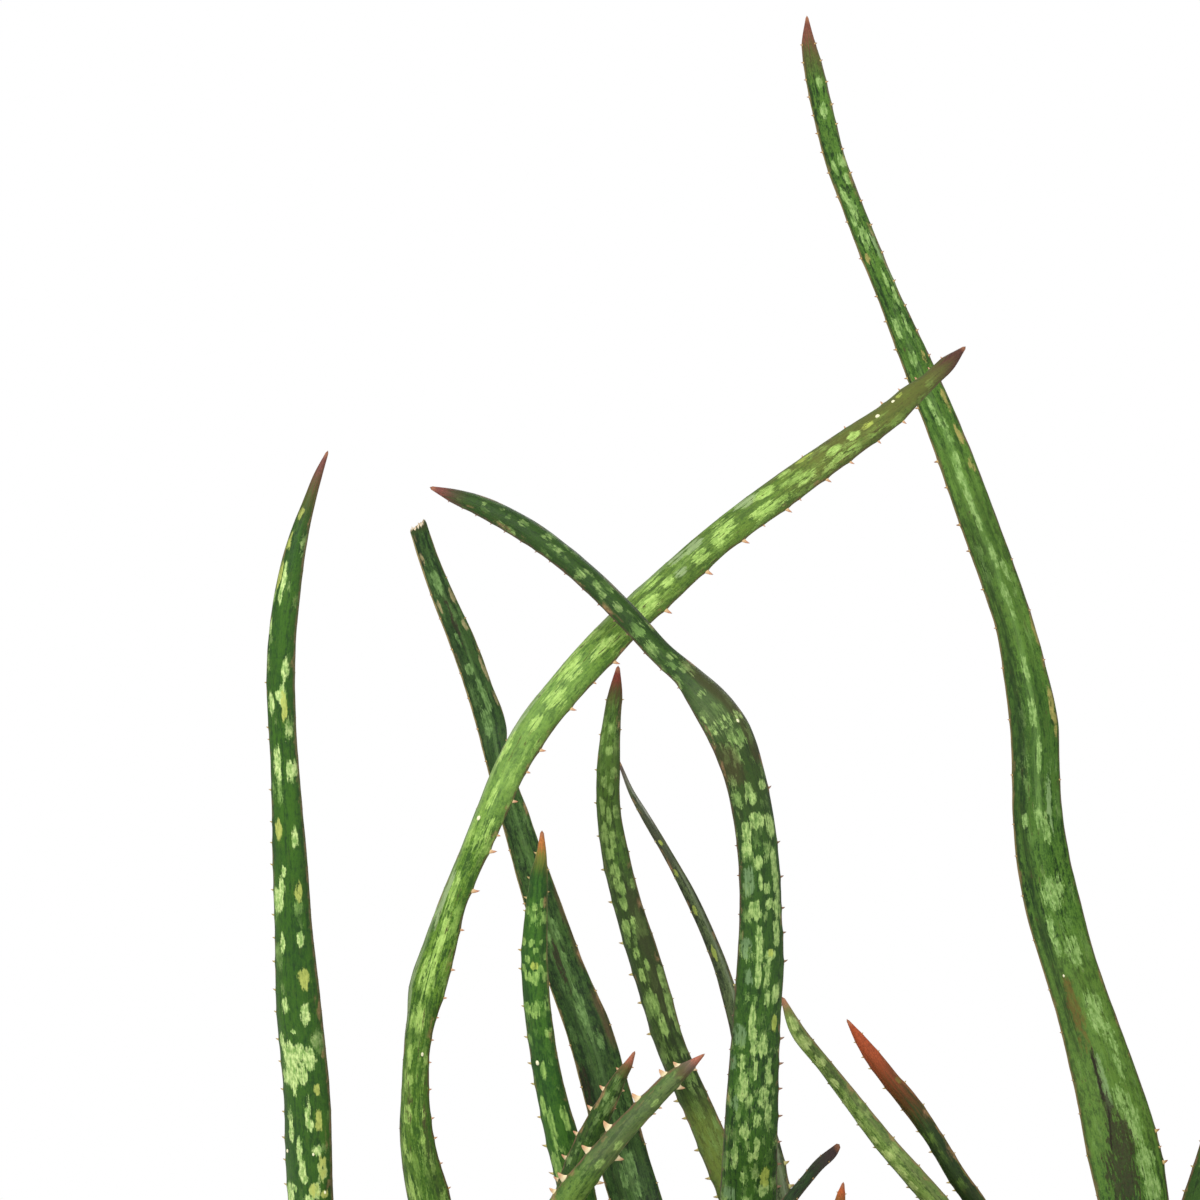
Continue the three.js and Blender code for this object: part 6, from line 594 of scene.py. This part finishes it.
    # long bands, mostly painted shade and painted highlight on the side the camera sees, a few partly the skin's own
    # tint: [q, half width in q, strength, first fraction, last fraction, tone]
    for (q0, hw, amount, f0, f1, tone) in L["stripes"]:
        d = k.math("DIVIDE", k.math("SUBTRACT", q, q0), hw)
        m = k.math("POWER", 2.718, k.math("MULTIPLY", k.math("MULTIPLY", d, d), -1.0))
        m = k.math("MULTIPLY", m, k.math("MULTIPLY", k.ramp(frac, f0 - 0.02, f0 + 0.03), k.ramp(frac, f1 - 0.03, f1 + 0.02, 1.0, 0.0)))
        m = k.math("MULTIPLY", m, k.math("MULTIPLY_ADD", k.math("ADD", centred(hair, 0.8), centred(tuft, 0.5)), 1.0, 0.9), clamp=True)
        m = k.math("MULTIPLY", m, k.ramp(side, 0.4, 0.6, 1.0, 0.0) if leaf["viewer_up"] else k.ramp(side, 0.4, 0.6))
        col = k.mix(k.math("MULTIPLY", m, amount), col, srgb(*tone))
    bright = k.mix(k.ramp(k.math("ADD", body, k.math("MULTIPLY", hair, 0.5)), 0.25, 1.15), srgb(*L["spot2"]), srgb(*L["spot"]))
    bright2 = k.mix(b1, srgb(*L["spot2"]), bright)
    streaky = k.math("MULTIPLY_ADD", k.math("ADD", body, k.math("MULTIPLY", fine, 0.35)), 0.5, 0.3)
    cover = k.math("MULTIPLY", k.math("MAXIMUM", k.math("MULTIPLY", m1, 0.95), k.math("MULTIPLY", m2, 0.6)), streaky)
    col = k.mix(cover, col, bright2)
    wm = k.ramp(k.math("ADD", wash_f, k.math("ADD", centred(hair, 0.5), k.math("ADD", centred(patch, 0.6), centred(mottle, 0.5)))), -0.9, 0.9)
    col = k.mix(k.math("MULTIPLY", wm, 0.72), col, srgb(*L["wash"]))
    sm = k.math("MULTIPLY", placed(silver_f, -0.25, 0.45), k.math("MULTIPLY_ADD", hair, 0.4, 0.45))
    col = k.mix(sm, col, srgb(*L["silver"]))
    solid = k.math("MULTIPLY", k.math("MULTIPLY_ADD", k.math("ADD", body, k.math("MULTIPLY", fine, 0.3)), 0.4, 0.46), L["fill"], clamp=True)
    if L["fade"]:
        solid = k.math("MULTIPLY", solid, k.ramp(frac, L["fade"][0], L["fade"][1], 1.0, L["fade"][2]))
    pm = k.math("MULTIPLY", placed(pale_f), solid)
    col = k.mix(pm, col, bright)
    lm = k.math("MULTIPLY", placed(lime_f), solid)
    col = k.mix(lm, col, srgb(*L["lime"]))
    # painted shade: darker strips just inside the margins
    painted_flank_shade = k.math("MULTIPLY", k.ramp(k.math("ADD", edge, centred(hair, 0.8)), 0.1, 2.0, 1.0, 0.0), L["edge_shade"])
    col = k.mix(painted_flank_shade, col, srgb(*L["deep"]))
    # dried brown scars and dark bruises
    bm = k.math("MULTIPLY", placed(brown_f, -0.4, 0.7, 1.1), k.math("MULTIPLY_ADD", body, 0.4, 0.42))
    col = k.mix(bm, col, srgb(112, 82, 38))
    dm = k.math("MULTIPLY", placed(dark_f, -0.3, 0.3, 1.15), k.math("MULTIPLY_ADD", grit, 0.3, 0.66))
    col = k.mix(dm, col, k.mix(grit, srgb(26, 24, 16), srgb(58, 46, 34)))
    for (l0, a0, l1, a1, hw) in L["cracks"]:
        line_x = k.math("MULTIPLY_ADD", k.math("SUBTRACT", along, a0), (l1 - l0) / (a1 - a0), l0)
        line_x = k.math("ADD", line_x, k.math("ADD", centred(k.noise(k.xyz(0.0, k.math("MULTIPLY", along, 0.5), 9.0), 1.0, 3.0), 1.6), 0.0))
        m = k.ramp(k.math("ABSOLUTE", k.math("SUBTRACT", lat, line_x)), hw * 0.5, hw * 1.6, 1.0, 0.0)
        m = k.math("MULTIPLY", m, k.math("MULTIPLY", k.ramp(along, min(a0, a1) - 1, min(a0, a1) + 2), k.ramp(along, max(a0, a1) - 3, max(a0, a1) + 1, 1.0, 0.0)))
        m = k.math("MULTIPLY", m, k.ramp(side, 0.4, 0.6, 1.0, 0.0) if leaf["viewer_up"] else k.ramp(side, 0.4, 0.6))
        col = k.mix(k.math("MULTIPLY", m, 0.9), col, srgb(34, 26, 16))
        dm = k.math("MAXIMUM", dm, m)
    # rusty and straw flecks along the margins
    fleck = k.ramp(k.noise(k.xyz(k.math("MULTIPLY", lat, 0.5), k.math("MULTIPLY", along, 0.13), k.math("ADD", sx, 77.0)), 1.0, 3.0), 0.56, 0.68)
    fleck = k.math("MULTIPLY", k.math("MULTIPLY", fleck, k.ramp(edge, 0.3, 1.7, 0.8, 0.0)), k.math("MULTIPLY_ADD", grit, 0.6, 0.4))
    col = k.mix(fleck, col, srgb(164, 128, 92))
    # horny margin line, broken, on each side its own colour
    wob = k.math("ADD", edge, k.math("ADD", centred(tuft, 0.22), centred(grit, 0.12)))
    amount = k.math("MULTIPLY_ADD", k.ramp(k.noise(k.xyz(0.0, k.math("MULTIPLY", along, 0.22), k.math("ADD", sx, 5.0)), 1.0, 3.0), 0.38, 0.62), 0.7, 0.25)
    line = k.math("MULTIPLY", k.ramp(wob, L["marginw"] * 0.4, L["marginw"] * 1.6, 1.0, 0.0), amount)
    if L["margin_l"]:
        left = k.ramp(k.math("MULTIPLY", q, leaf["lft"]), 0.2, 0.4)
        dark_in = k.math("MULTIPLY", k.math("MULTIPLY", k.ramp(wob, L["marginw_l"] * 1.2, L["marginw_l"] * 3.2, 0.75, 0.0), left), streaky)
        col = k.mix(dark_in, col, srgb(*L["deep"]))
        lline = k.math("MULTIPLY", k.math("MULTIPLY", k.ramp(wob, L["marginw_l"] * 0.6, L["marginw_l"] * 1.5, 1.0, 0.0), k.math("MULTIPLY_ADD", amount, 0.6, 0.4)), left)
        line = k.math("MULTIPLY", line, k.math("SUBTRACT", 1.0, left))
        col = k.mix(lline, col, srgb(*L["margin_l"]))
    col = k.mix(line, col, srgb(*L["margin"]))
    # tip: green to olive to red-brown, dry at the very end
    tl = L["tiplen"]
    tt = k.math("ADD", totip, k.math("MULTIPLY", centred(hair, 0.45), tl))
    tipcol = k.mix(grit, srgb(*[int(c * 0.78) for c in L["tip"]]), srgb(*L["tip"]))
    col = k.mix(k.ramp(tt, tl * 0.7, tl * 1.9, 0.75, 0.0), col, srgb(*L["tip2"]))
    col = k.mix(k.ramp(tt, tl * 0.3, tl * 1.0, 0.95, 0.0), col, tipcol)
    if leaf.get("blunt"):
        col = k.mix(k.ramp(k.math("ADD", totip, centred(hair, 1.2)), 0.8, 2.6, 0.6, 0.0), col, srgb(50, 50, 26))
        col = k.mix(k.ramp(k.math("ADD", totip, centred(tuft, 1.4)), 0.1, 0.8, 1.0, 0.0), col, k.mix(grit, srgb(206, 178, 138), srgb(240, 230, 210)))
    else:
        col = k.mix(k.ramp(totip, 0.3, 2.4, 0.75, 0.0), col, srgb(160, 108, 80))
    # pale sheathing base
    bt = k.math("ADD", along, centred(hair, 9.0))
    col = k.mix(k.ramp(bt, 6.0, 34.0, 0.85, 0.0), col, srgb(170, 178, 108))
    col = k.mix(k.ramp(bt, 0.0, 14.0, 0.8, 0.0), col, srgb(202, 186, 140))
    # teeth: cream foot, horn-brown point; sap drops are ivory
    tooth_on = k.ramp(tooth, 0.02, 0.16)
    tcol = k.mix(k.ramp(tooth, 0.15, 0.75), srgb(*L["tooth"]), srgb(*L["tooth_tip"]))
    tcol = k.mix(k.ramp(tooth, 0.82, 1.0), tcol, srgb(136, 88, 60))
    col = k.mix(tooth_on, col, tcol)
    sap = k.ramp(tooth, 1.5, 1.6)
    col = k.mix(sap, col, srgb(236, 234, 198))
    k.link(col, k.bsdf.inputs["Base Color"])

    rough = k.math("MULTIPLY_ADD", grit, 0.14, 0.46)
    rough = k.math("SUBTRACT", rough, k.math("MULTIPLY", sap, 0.2))
    k.link(rough, k.bsdf.inputs["Roughness"])
    k.bsdf.inputs["Specular IOR Level"].default_value = 0.22
    h = k.math("ADD", k.math("MULTIPLY", fine, 0.4), k.math("ADD", k.math("MULTIPLY", vein, 0.5), k.math("MULTIPLY", grit, 0.25)))
    nb = k.bump(h, 0.00022, 0.6)
    nb = k.bump(k.math("ADD", dm, bm), 0.00035, 0.4, nb)
    k.link(nb, k.bsdf.inputs["Normal"])
    return k.mat


def put_object(name, me, mat, node):
    ob = bpy.data.objects.new(name, me)
    bpy.context.scene.collection.objects.link(ob)
    me.materials.clear()
    me.materials.append(mat)
    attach(ob, "root")
    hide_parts(node)
    return ob


for index, leaf in enumerate(LEAVES):
    me = leaf_mesh(leaf, index)
    bm = bmesh.new()
    bm.from_mesh(me)
    bmesh.ops.recalc_face_normals(bm, faces=bm.faces)
    bm.to_mesh(me)
    bm.free()
    put_object(leaf["name"] + "_blade", me, leaf_material(leaf, index), leaf["name"])

# ------------------------------------------------------- pot, soil and stems
def inner_radius(z):
    return float(np.interp(z, [12, 120, 231], [80.0, 80 + 40 * 108 / 223, 120.0]))


def outer_radius(z):
    return 89 + 37 * z / 197


def resample(profile, step):
    out = [profile[0]]
    for a, b in zip(profile[:-1], profile[1:]):
        d = math.hypot(b[0] - a[0], b[1] - a[1])
        m = max(1, int(math.ceil(d / step)))
        for i in range(1, m + 1):
            out.append([a[0] + (b[0] - a[0]) * i / m, a[1] + (b[1] - a[1]) * i / m])
    return out


def arc_corner(profile, radii):
    """Rounds the corners of a profile; radii are given by corner index."""
    out = []
    for i, p in enumerate(profile):
        r = radii.get(i, 0)
        if not r or i in (0, len(profile) - 1):
            out.append(p)
            continue
        a, b = np.array(profile[i - 1], float), np.array(profile[i + 1], float)
        c = np.array(p, float)
        da, db = a - c, b - c
        la, lb = np.linalg.norm(da), np.linalg.norm(db)
        r = min(r, la * 0.45, lb * 0.45)
        p0, p2 = c + da / la * r, c + db / lb * r
        for t in np.linspace(0, 1, 6):
            q = (1 - t) ** 2 * p0 + 2 * t * (1 - t) * c + t * t * p2
            out.append([float(q[0]), float(q[1])])
    return out


def lathe(name, profile, segs, shape=None):
    """Turned closed body; profile [radius, z] in mm, starting and ending on the axis."""
    verts, rings = [], []
    for (r, z) in profile:
        if r < 1e-6:
            rings.append([len(verts)])
            verts.append((0.0, 0.0, z))
            continue
        ring = []
        for s in range(segs):
            a = 2 * math.pi * s / segs
            rr, zz = shape(r, z, a) if shape else (r, z)
            ring.append(len(verts))
            verts.append((rr * math.cos(a), rr * math.sin(a), zz))
        rings.append(ring)
    faces = []
    for r0, r1 in zip(rings[:-1], rings[1:]):
        for s in range(segs):
            s2 = (s + 1) % segs
            if len(r0) == 1 and len(r1) > 1:
                faces.append([r0[0], r1[s2], r1[s]])
            elif len(r1) == 1 and len(r0) > 1:
                faces.append([r0[s], r0[s2], r1[0]])
            elif len(r0) > 1:
                faces.append([r0[s], r0[s2], r1[s2], r1[s]])
    me = bpy.data.meshes.new(name)
    me.from_pydata((np.array(verts) * MM).tolist(), [], faces)
    me.polygons.foreach_set("use_smooth", [True] * len(me.polygons))
    me.update()
    return me


pot_profile = [[0, 0], [85, 0], [89, 4], [outer_radius(60), 60], [outer_radius(130), 130], [126, 195], [133, 197], [134, 200],
               [135, 230], [132.5, 234], [129, 235], [124, 235], [120, 231], [inner_radius(120), 120], [80, 12], [0, 12]]
pot_profile = arc_corner(pot_profile, {1: 1.2, 2: 1.2, 5: 1.6, 6: 1.4, 7: 1.2, 8: 1.2, 9: 1.0, 10: 1.0, 11: 1.0, 12: 1.2, 14: 3.0})


def pot_shape(r, z, a):
    if z < 2 or r < 79:
        return r, z
    d = 0.10 * noise.noise((math.cos(a) * 2.2, math.sin(a) * 2.2, z * 0.03))
    d += 0.10 * noise.noise((math.cos(a) * 0.8, math.sin(a) * 0.8, z * 0.45))
    d -= 0.05
    return r + d, z


pot_me = lathe("pot_body", resample(pot_profile, 3.6), 216, pot_shape)
pot = bpy.data.objects.new("pot_turned", pot_me)
bpy.context.scene.collection.objects.link(pot)
bm = bmesh.new()
for deg in (90, 210, 330):
    a = math.radians(deg)
    made = bmesh.ops.create_cone(bm, cap_ends=True, segments=40, radius1=0.007, radius2=0.007, depth=0.03)
    bmesh.ops.translate(bm, verts=made["verts"], vec=(0.046 * math.cos(a), 0.046 * math.sin(a), 0.006))
drill_me = bpy.data.meshes.new("drain_drill")
bm.to_mesh(drill_me)
bm.free()
drill = bpy.data.objects.new("drain_drill", drill_me)
bpy.context.scene.collection.objects.link(drill)
cut = pot.modifiers.new("drain", "BOOLEAN")
cut.operation = "DIFFERENCE"
cut.solver = "EXACT"
cut.object = drill
bpy.context.view_layer.update()
bored = bpy.data.meshes.new_from_object(pot.evaluated_get(bpy.context.evaluated_depsgraph_get()))
pot.modifiers.clear()
bpy.data.objects.remove(pot)
bpy.data.objects.remove(drill)
bored.name = "pot_bored"
bm = bmesh.new()
bm.from_mesh(bored)
bmesh.ops.remove_doubles(bm, verts=bm.verts, dist=1e-6)
bm.to_mesh(bored)
bm.free()
bored.polygons.foreach_set("use_smooth", [True] * len(bored.polygons))
bored.set_sharp_from_angle(angle=math.radians(40))

WALL_SLOPE = (inner_radius(220) - inner_radius(20)) / 200.0
WALL_FOOT = (inner_radius(20) - 20 * WALL_SLOPE + 2.5) * MM
k = Nodes("terracotta")
co = k.new("ShaderNodeTexCoord").outputs["Object"]
sep = k.new("ShaderNodeSeparateXYZ")
k.link(co, sep.inputs[0])
px, py, pz = sep.outputs
cloud = k.noise(co, 14.0, 4.0, 0.6)
grain = k.noise(co, 900.0, 3.0, 0.7)
speck = k.noise(co, 420.0, 2.0, 0.5)
rings = k.noise(k.xyz(k.math("MULTIPLY", px, 3.0), k.math("MULTIPLY", py, 3.0), k.math("MULTIPLY", pz, 260.0)), 1.0, 2.0, 0.5)
clay = k.mix(cloud, srgb(172, 94, 62), srgb(198, 120, 82))
clay = k.mix(k.math("MULTIPLY", grain, 0.4), clay, srgb(214, 146, 108))
clay = k.mix(k.math("MULTIPLY", k.ramp(speck, 0.64, 0.72), 0.5), clay, srgb(120, 66, 48))
clay = k.mix(k.math("MULTIPLY", k.ramp(rings, 0.5, 0.7), 0.18), clay, srgb(150, 84, 58))
# pale lime bloom, thicker low down and under the collar
bloom = k.noise(co, 22.0, 5.0, 0.62)
low = k.ramp(pz, 0.0, 0.11, 0.16, 0.0)
under = k.math("MULTIPLY", k.ramp(pz, 0.165, 0.194, 0.0, 0.12), k.ramp(pz, 0.196, 0.2, 1.0, 0.0))
bl = k.ramp(k.math("ADD", bloom, k.math("ADD", low, under)), 0.56, 0.74)
clay = k.mix(k.math("MULTIPLY", bl, 0.55), clay, srgb(216, 190, 166))
# darker towards the foot, and darker on the inside of the wall just above the soil
foot_darkening = k.ramp(k.math("ADD", pz, k.math("MULTIPLY", k.math("SUBTRACT", bloom, 0.5), 0.16)), 0.0, 0.07, 0.45, 0.0)
clay = k.mix(foot_darkening, clay, srgb(118, 70, 50))
rad = k.math("SQRT", k.math("ADD", k.math("MULTIPLY", px, px), k.math("MULTIPLY", py, py)))
wall = k.math("MULTIPLY_ADD", pz, WALL_SLOPE, WALL_FOOT)    # middle of the wall's thickness
inside = k.math("MULTIPLY", k.ramp(k.math("SUBTRACT", rad, wall), -0.0015, 0.0015, 1.0, 0.0), k.ramp(k.math("ADD", pz, k.math("MULTIPLY", k.math("SUBTRACT", bloom, 0.5), 0.02)), 0.214, 0.228, 0.75, 0.15))
clay = k.mix(inside, clay, srgb(96, 66, 48))
k.link(clay, k.bsdf.inputs["Base Color"])
k.link(k.math("MULTIPLY_ADD", grain, 0.14, 0.74), k.bsdf.inputs["Roughness"])
k.bsdf.inputs["Specular IOR Level"].default_value = 0.3
nb = k.bump(grain, 0.0004, 0.5)
nb = k.bump(rings, 0.0004, 0.3, nb)
k.link(nb, k.bsdf.inputs["Normal"])
put_object("pot_clay", bored, k.mat, "pot")


# soil: one turned body whose top is rough, with grit, bark and perlite on it
def soil_top(r, a):
    x, y = r * math.cos(a), r * math.sin(a)
    base = 210 - 3.5 * (r / 115.2) ** 2
    h = 1.6 * noise.noise((x * 0.03, y * 0.03, 2.0)) + 1.1 * noise.noise((x * 0.11, y * 0.11, 5.0))
    h += 0.9 * noise.noise((x * 0.33, y * 0.33, 8.0)) + 0.6 * noise.noise((x * 0.7, y * 0.7, 11.0))
    return base + h * min(1.0, (115.2 - r) / 2.5 + 0.15)


soil_profile = [[0, 12.3], [76, 12.3], [79.5, 13.2]] + [[inner_radius(z) - 0.35, z] for z in (30, 60, 90, 120, 150, 180, 200, 205)]
soil_profile = resample(soil_profile, 8.0)
soil_profile += [[r, 999.0] for r in np.linspace(114.9, 1.6, 72)] + [[0, 999.0]]
SOIL_SEGS = 288
soil_build = Build()
sv, rings_ix = [], []
for (r, z) in soil_profile:
    if r < 1e-6:
        rings_ix.append([len(sv)])
        sv.append((0.0, 0.0, soil_top(0, 0) if z > 900 else z))
        continue
    ids = []
    for s in range(SOIL_SEGS):
        a = 2 * math.pi * s / SOIL_SEGS
        ids.append(len(sv))
        sv.append((r * math.cos(a), r * math.sin(a), soil_top(r, a) if z > 900 else z))
    rings_ix.append(ids)
sf = []
for r0, r1 in zip(rings_ix[:-1], rings_ix[1:]):
    for s in range(SOIL_SEGS):
        s2 = (s + 1) % SOIL_SEGS
        if len(r0) == 1:
            sf.append([r0[0], r1[s2], r1[s]])
        elif len(r1) == 1:
            sf.append([r0[s], r0[s2], r1[0]])
        else:
            sf.append([r0[s], r0[s2], r1[s2], r1[s]])
zero = np.zeros((len(sv), 3))
soil_build.add(sv, sf, zero, zero, zero)
grit_rng = np.random.default_rng(77)
STEMS = {"stem_left": (-88, -8, 12.0, 34), "stem_middle": (-14, 18, 13.0, 33), "stem_right": (94, 0, 14.0, 34)}
ico = bmesh.new()
bmesh.ops.create_icosphere(ico, subdivisions=2, radius=1.0)
ico_v = [Vector(v.co) for v in ico.verts]
ico_f = [[v.index for v in f.verts] for f in ico.faces]
ico.free()
placed = 0
while placed < 620:
    r = 112.5 * math.sqrt(grit_rng.uniform())
    a = grit_rng.uniform(0, 2 * math.pi)
    x, y = r * math.cos(a), r * math.sin(a)
    if any(math.hypot(x - s[0], y - s[1]) < s[2] + 1.0 for s in STEMS.values()):
        continue
    kind = grit_rng.choice([0, 1, 2], p=[0.5, 0.28, 0.22])   # stone, bark, perlite
    size = grit_rng.uniform(0.9, 2.3) if kind != 1 else grit_rng.uniform(1.4, 3.6)
    if r + size * 1.3 > 114.3:
        continue
    sc = {0: (1, grit_rng.uniform(0.7, 1), grit_rng.uniform(0.55, 0.85)), 1: (1.25, grit_rng.uniform(0.35, 0.6), 0.32),
          2: (1, grit_rng.uniform(0.8, 1), 0.8)}[int(kind)]
    turn = grit_rng.uniform(0, 2 * math.pi)
    tilt = grit_rng.uniform(-0.35, 0.35)
    zc = soil_top(r, a) + size * sc[2] * 0.25
    pts = []
    off = grit_rng.uniform(0, 100)
    for v in ico_v:
        q = v * (1 + 0.35 * noise.noise(v * (1.6 if kind != 2 else 2.4) + Vector((off, 0, 0))))
        lx_, ly_, lz_ = q.x * sc[0] * size, q.y * sc[1] * size, q.z * sc[2] * size
        lz_ += lx_ * math.sin(tilt)
        pts.append((x + lx_ * math.cos(turn) - ly_ * math.sin(turn), y + lx_ * math.sin(turn) + ly_ * math.cos(turn), zc + lz_))
    tone = grit_rng.uniform()
    soil_build.add(pts, ico_f, [[x, y, tone]] * len(pts), [[kind + 1.0, off, 0]] * len(pts), [[0, 0, 0]] * len(pts))
    placed += 1
bit = bmesh.new()
bmesh.ops.create_icosphere(bit, subdivisions=1, radius=1.0)
bit_v = [Vector(v.co) for v in bit.verts]
bit_f = [[v.index for v in f.verts] for f in bit.faces]
bit.free()
for _ in range(1900):
    r = 113.0 * math.sqrt(grit_rng.uniform())
    a = grit_rng.uniform(0, 2 * math.pi)
    x, y = r * math.cos(a), r * math.sin(a)
    size = 0.5 + 1.5 * grit_rng.uniform() ** 2
    if r + size * 1.4 > 114.3 or any(math.hypot(x - s[0], y - s[1]) < s[2] + 1.2 for s in STEMS.values()):
        continue
    zc, off = soil_top(r, a) + size * 0.15, grit_rng.uniform(0, 100)
    turn = grit_rng.uniform(0, 2 * math.pi)
    pts = []
    for v in bit_v:
        q = v * (1 + 0.5 * noise.noise(v * 1.9 + Vector((off, 3, 0))))
        pts.append((x + size * (1.15 * q.x * math.cos(turn) - q.y * math.sin(turn)), y + size * (1.15 * q.x * math.sin(turn) + q.y * math.cos(turn)), zc + 0.75 * size * q.z))
    soil_build.add(pts, bit_f, [[x, y, grit_rng.uniform()]] * len(pts), [[0.2, off, 0]] * len(pts), [[0, 0, 0]] * len(pts))
soil_me = soil_build.mesh("soil_crumb")
k = Nodes("potting_soil")
co = k.new("ShaderNodeTexCoord").outputs["Object"]
gx, gy, tone = k.attr("lc")
kind, off, _ = k.attr("lx")
n1 = k.noise(co, 90.0, 6.0, 0.68)
n2 = k.noise(co, 600.0, 4.0, 0.7)
earth = k.mix(n1, srgb(40, 29, 22), srgb(86, 64, 46))
lump = k.mix(tone, srgb(34, 25, 19), srgb(98, 72, 50))
earth = k.mix(k.ramp(kind, 0.05, 0.15), earth, lump)
earth = k.mix(k.math("MULTIPLY", k.ramp(n2, 0.6, 0.75), 0.6), earth, srgb(124, 98, 72))
stone = k.mix(tone, srgb(92, 84, 76), srgb(168, 156, 140))
bark = k.mix(tone, srgb(72, 46, 30), srgb(128, 84, 54))
perl = k.mix(tone, srgb(206, 202, 192), srgb(236, 233, 226))
stone = k.mix(k.math("MULTIPLY", n2, 0.5), stone, srgb(70, 60, 52))
bark = k.mix(k.math("MULTIPLY", n2, 0.5), bark, srgb(50, 34, 24))
col = k.mix(k.ramp(kind, 0.4, 0.6), earth, stone)
col = k.mix(k.ramp(kind, 1.4, 1.6), col, bark)
col = k.mix(k.ramp(kind, 2.4, 2.6), col, perl)
k.link(col, k.bsdf.inputs["Base Color"])
k.link(k.math("MULTIPLY_ADD", n2, 0.1, 0.85), k.bsdf.inputs["Roughness"])
k.bsdf.inputs["Specular IOR Level"].default_value = 0.25
k.link(k.bump(n2, 0.0008, 0.7), k.bsdf.inputs["Normal"])
put_object("soil_bed", soil_me, k.mat, "soil")

# stems: short, hidden, ringed by old leaf scars
for si, (node, (sx_, sy_, sr, st)) in enumerate(STEMS.items()):
    prof = [[0, 190.3], [sr * 0.8, 190.3], [sr, 196], [sr, 210 + st - 9], [sr * 0.82, 210 + st - 4], [sr * 0.45, 210 + st - 1], [0, 210 + st]]
    prof = resample(arc_corner(prof, {1: 1.0, 2: 2.0, 3: 3.0, 4: 2.0, 5: 1.5}), 0.9)

    def stem_shape(r, z, a, si=si, sr=sr):
        t = (z + 0.9 * math.sin(a * 2 + si)) / 4.2
        step = t - math.floor(t)
        d = (0.7 * (1 - step) ** 1.5 - 0.45) * min(1, r / 4)
        d += 0.5 * noise.noise((math.cos(a) * 1.5, math.sin(a) * 1.5, z * 0.15 + si * 9))
        return max(0.5, r + d * 0.8 - 0.2), z

    me = lathe(node + "_core", prof, 72, stem_shape)
    me.transform(Matrix.Translation((sx_ * MM, sy_ * MM, 0)))
    k = Nodes(node + "_fibre")
    co = k.new("ShaderNodeTexCoord").outputs["Object"]
    sep = k.new("ShaderNodeSeparateXYZ")
    k.link(co, sep.inputs[0])
    z = sep.outputs[2]
    f1 = k.noise(k.xyz(k.math("MULTIPLY", sep.outputs[0], 420.0), k.math("MULTIPLY", sep.outputs[1], 420.0), k.math("MULTIPLY", z, 60.0)), 1.0, 4.0, 0.6)
    f2 = k.noise(co, 130.0, 3.0, 0.6)
    green = k.mix(f1, srgb(142, 150, 88), srgb(190, 188, 134))
    dry = k.mix(f1, srgb(112, 84, 58), srgb(176, 148, 110))
    col = k.mix(k.ramp(k.math("ADD", z, k.math("MULTIPLY", k.math("SUBTRACT", f2, 0.5), 0.03)), 0.214, 0.232), dry, green)
    k.link(col, k.bsdf.inputs["Base Color"])
    k.link(k.math("MULTIPLY_ADD", f1, 0.2, 0.6), k.bsdf.inputs["Roughness"])
    k.link(k.bump(f1, 0.0006, 0.6), k.bsdf.inputs["Normal"])
    put_object(node + "_skin", me, k.mat, node)


# ------------------------------------------------------------------ the stage
floor_me = bpy.data.meshes.new("studio_floor")
floor_me.from_pydata([(-1.5, -1.5, -0.0006), (1.5, -1.5, -0.0006), (1.5, 1.5, -0.0006), (-1.5, 1.5, -0.0006)], [], [[0, 1, 2, 3]])
floor = bpy.data.objects.new("studio_floor", floor_me)
bpy.context.scene.collection.objects.link(floor)
fm = Nodes("pale_floor")
fn = fm.noise(fm.new("ShaderNodeTexCoord").outputs["Object"], 60.0, 3.0)
fm.link(fm.mix(fn, srgb(236, 235, 232), srgb(244, 243, 241)), fm.bsdf.inputs["Base Color"])
fm.bsdf.inputs["Roughness"].default_value = 0.8
floor_me.materials.append(fm.mat)

world = bpy.data.worlds.new("studio")
bpy.context.scene.world = world
world.use_nodes = True
wt = world.node_tree
wt.nodes.clear()
out = wt.nodes.new("ShaderNodeOutputWorld")
mixs = wt.nodes.new("ShaderNodeMixShader")
path = wt.nodes.new("ShaderNodeLightPath")
soft = wt.nodes.new("ShaderNodeBackground")
soft.inputs[0].default_value = (1.0, 0.99, 0.97, 1)
soft.inputs[1].default_value = 0.55
white = wt.nodes.new("ShaderNodeBackground")
white.inputs[0].default_value = (1, 1, 1, 1)
white.inputs[1].default_value = 1.0
wt.links.new(path.outputs["Is Camera Ray"], mixs.inputs[0])
wt.links.new(soft.outputs[0], mixs.inputs[1])
wt.links.new(white.outputs[0], mixs.inputs[2])
wt.links.new(mixs.outputs[0], out.inputs[0])


def area(name, loc, target, size, power, color):
    ld = bpy.data.lights.new(name, "AREA")
    ld.shape = "DISK"
    ld.size = size
    ld.energy = power
    ld.color = color
    ob = bpy.data.objects.new(name, ld)
    ob.location = loc
    ob.rotation_euler = (Vector(target) - Vector(loc)).to_track_quat("-Z", "Y").to_euler()
    bpy.context.scene.collection.objects.link(ob)


area("key", (-1.1, -1.7, 1.9), (0, 0, 0.4), 0.9, 44.0, (1.0, 0.98, 0.94))
area("fill", (1.6, -1.5, 1.0), (0, 0, 0.35), 1.4, 9.0, (1.0, 1.0, 1.0))
area("back", (0.6, 1.8, 1.5), (0, 0, 0.45), 1.4, 12.0, (1.0, 1.0, 1.0))

bpy.context.scene.view_settings.view_transform = "Standard"
bpy.context.scene.view_settings.look = "None"
bpy.context.scene.view_settings.exposure = 0.0
bpy.context.scene.view_settings.gamma = 1.0
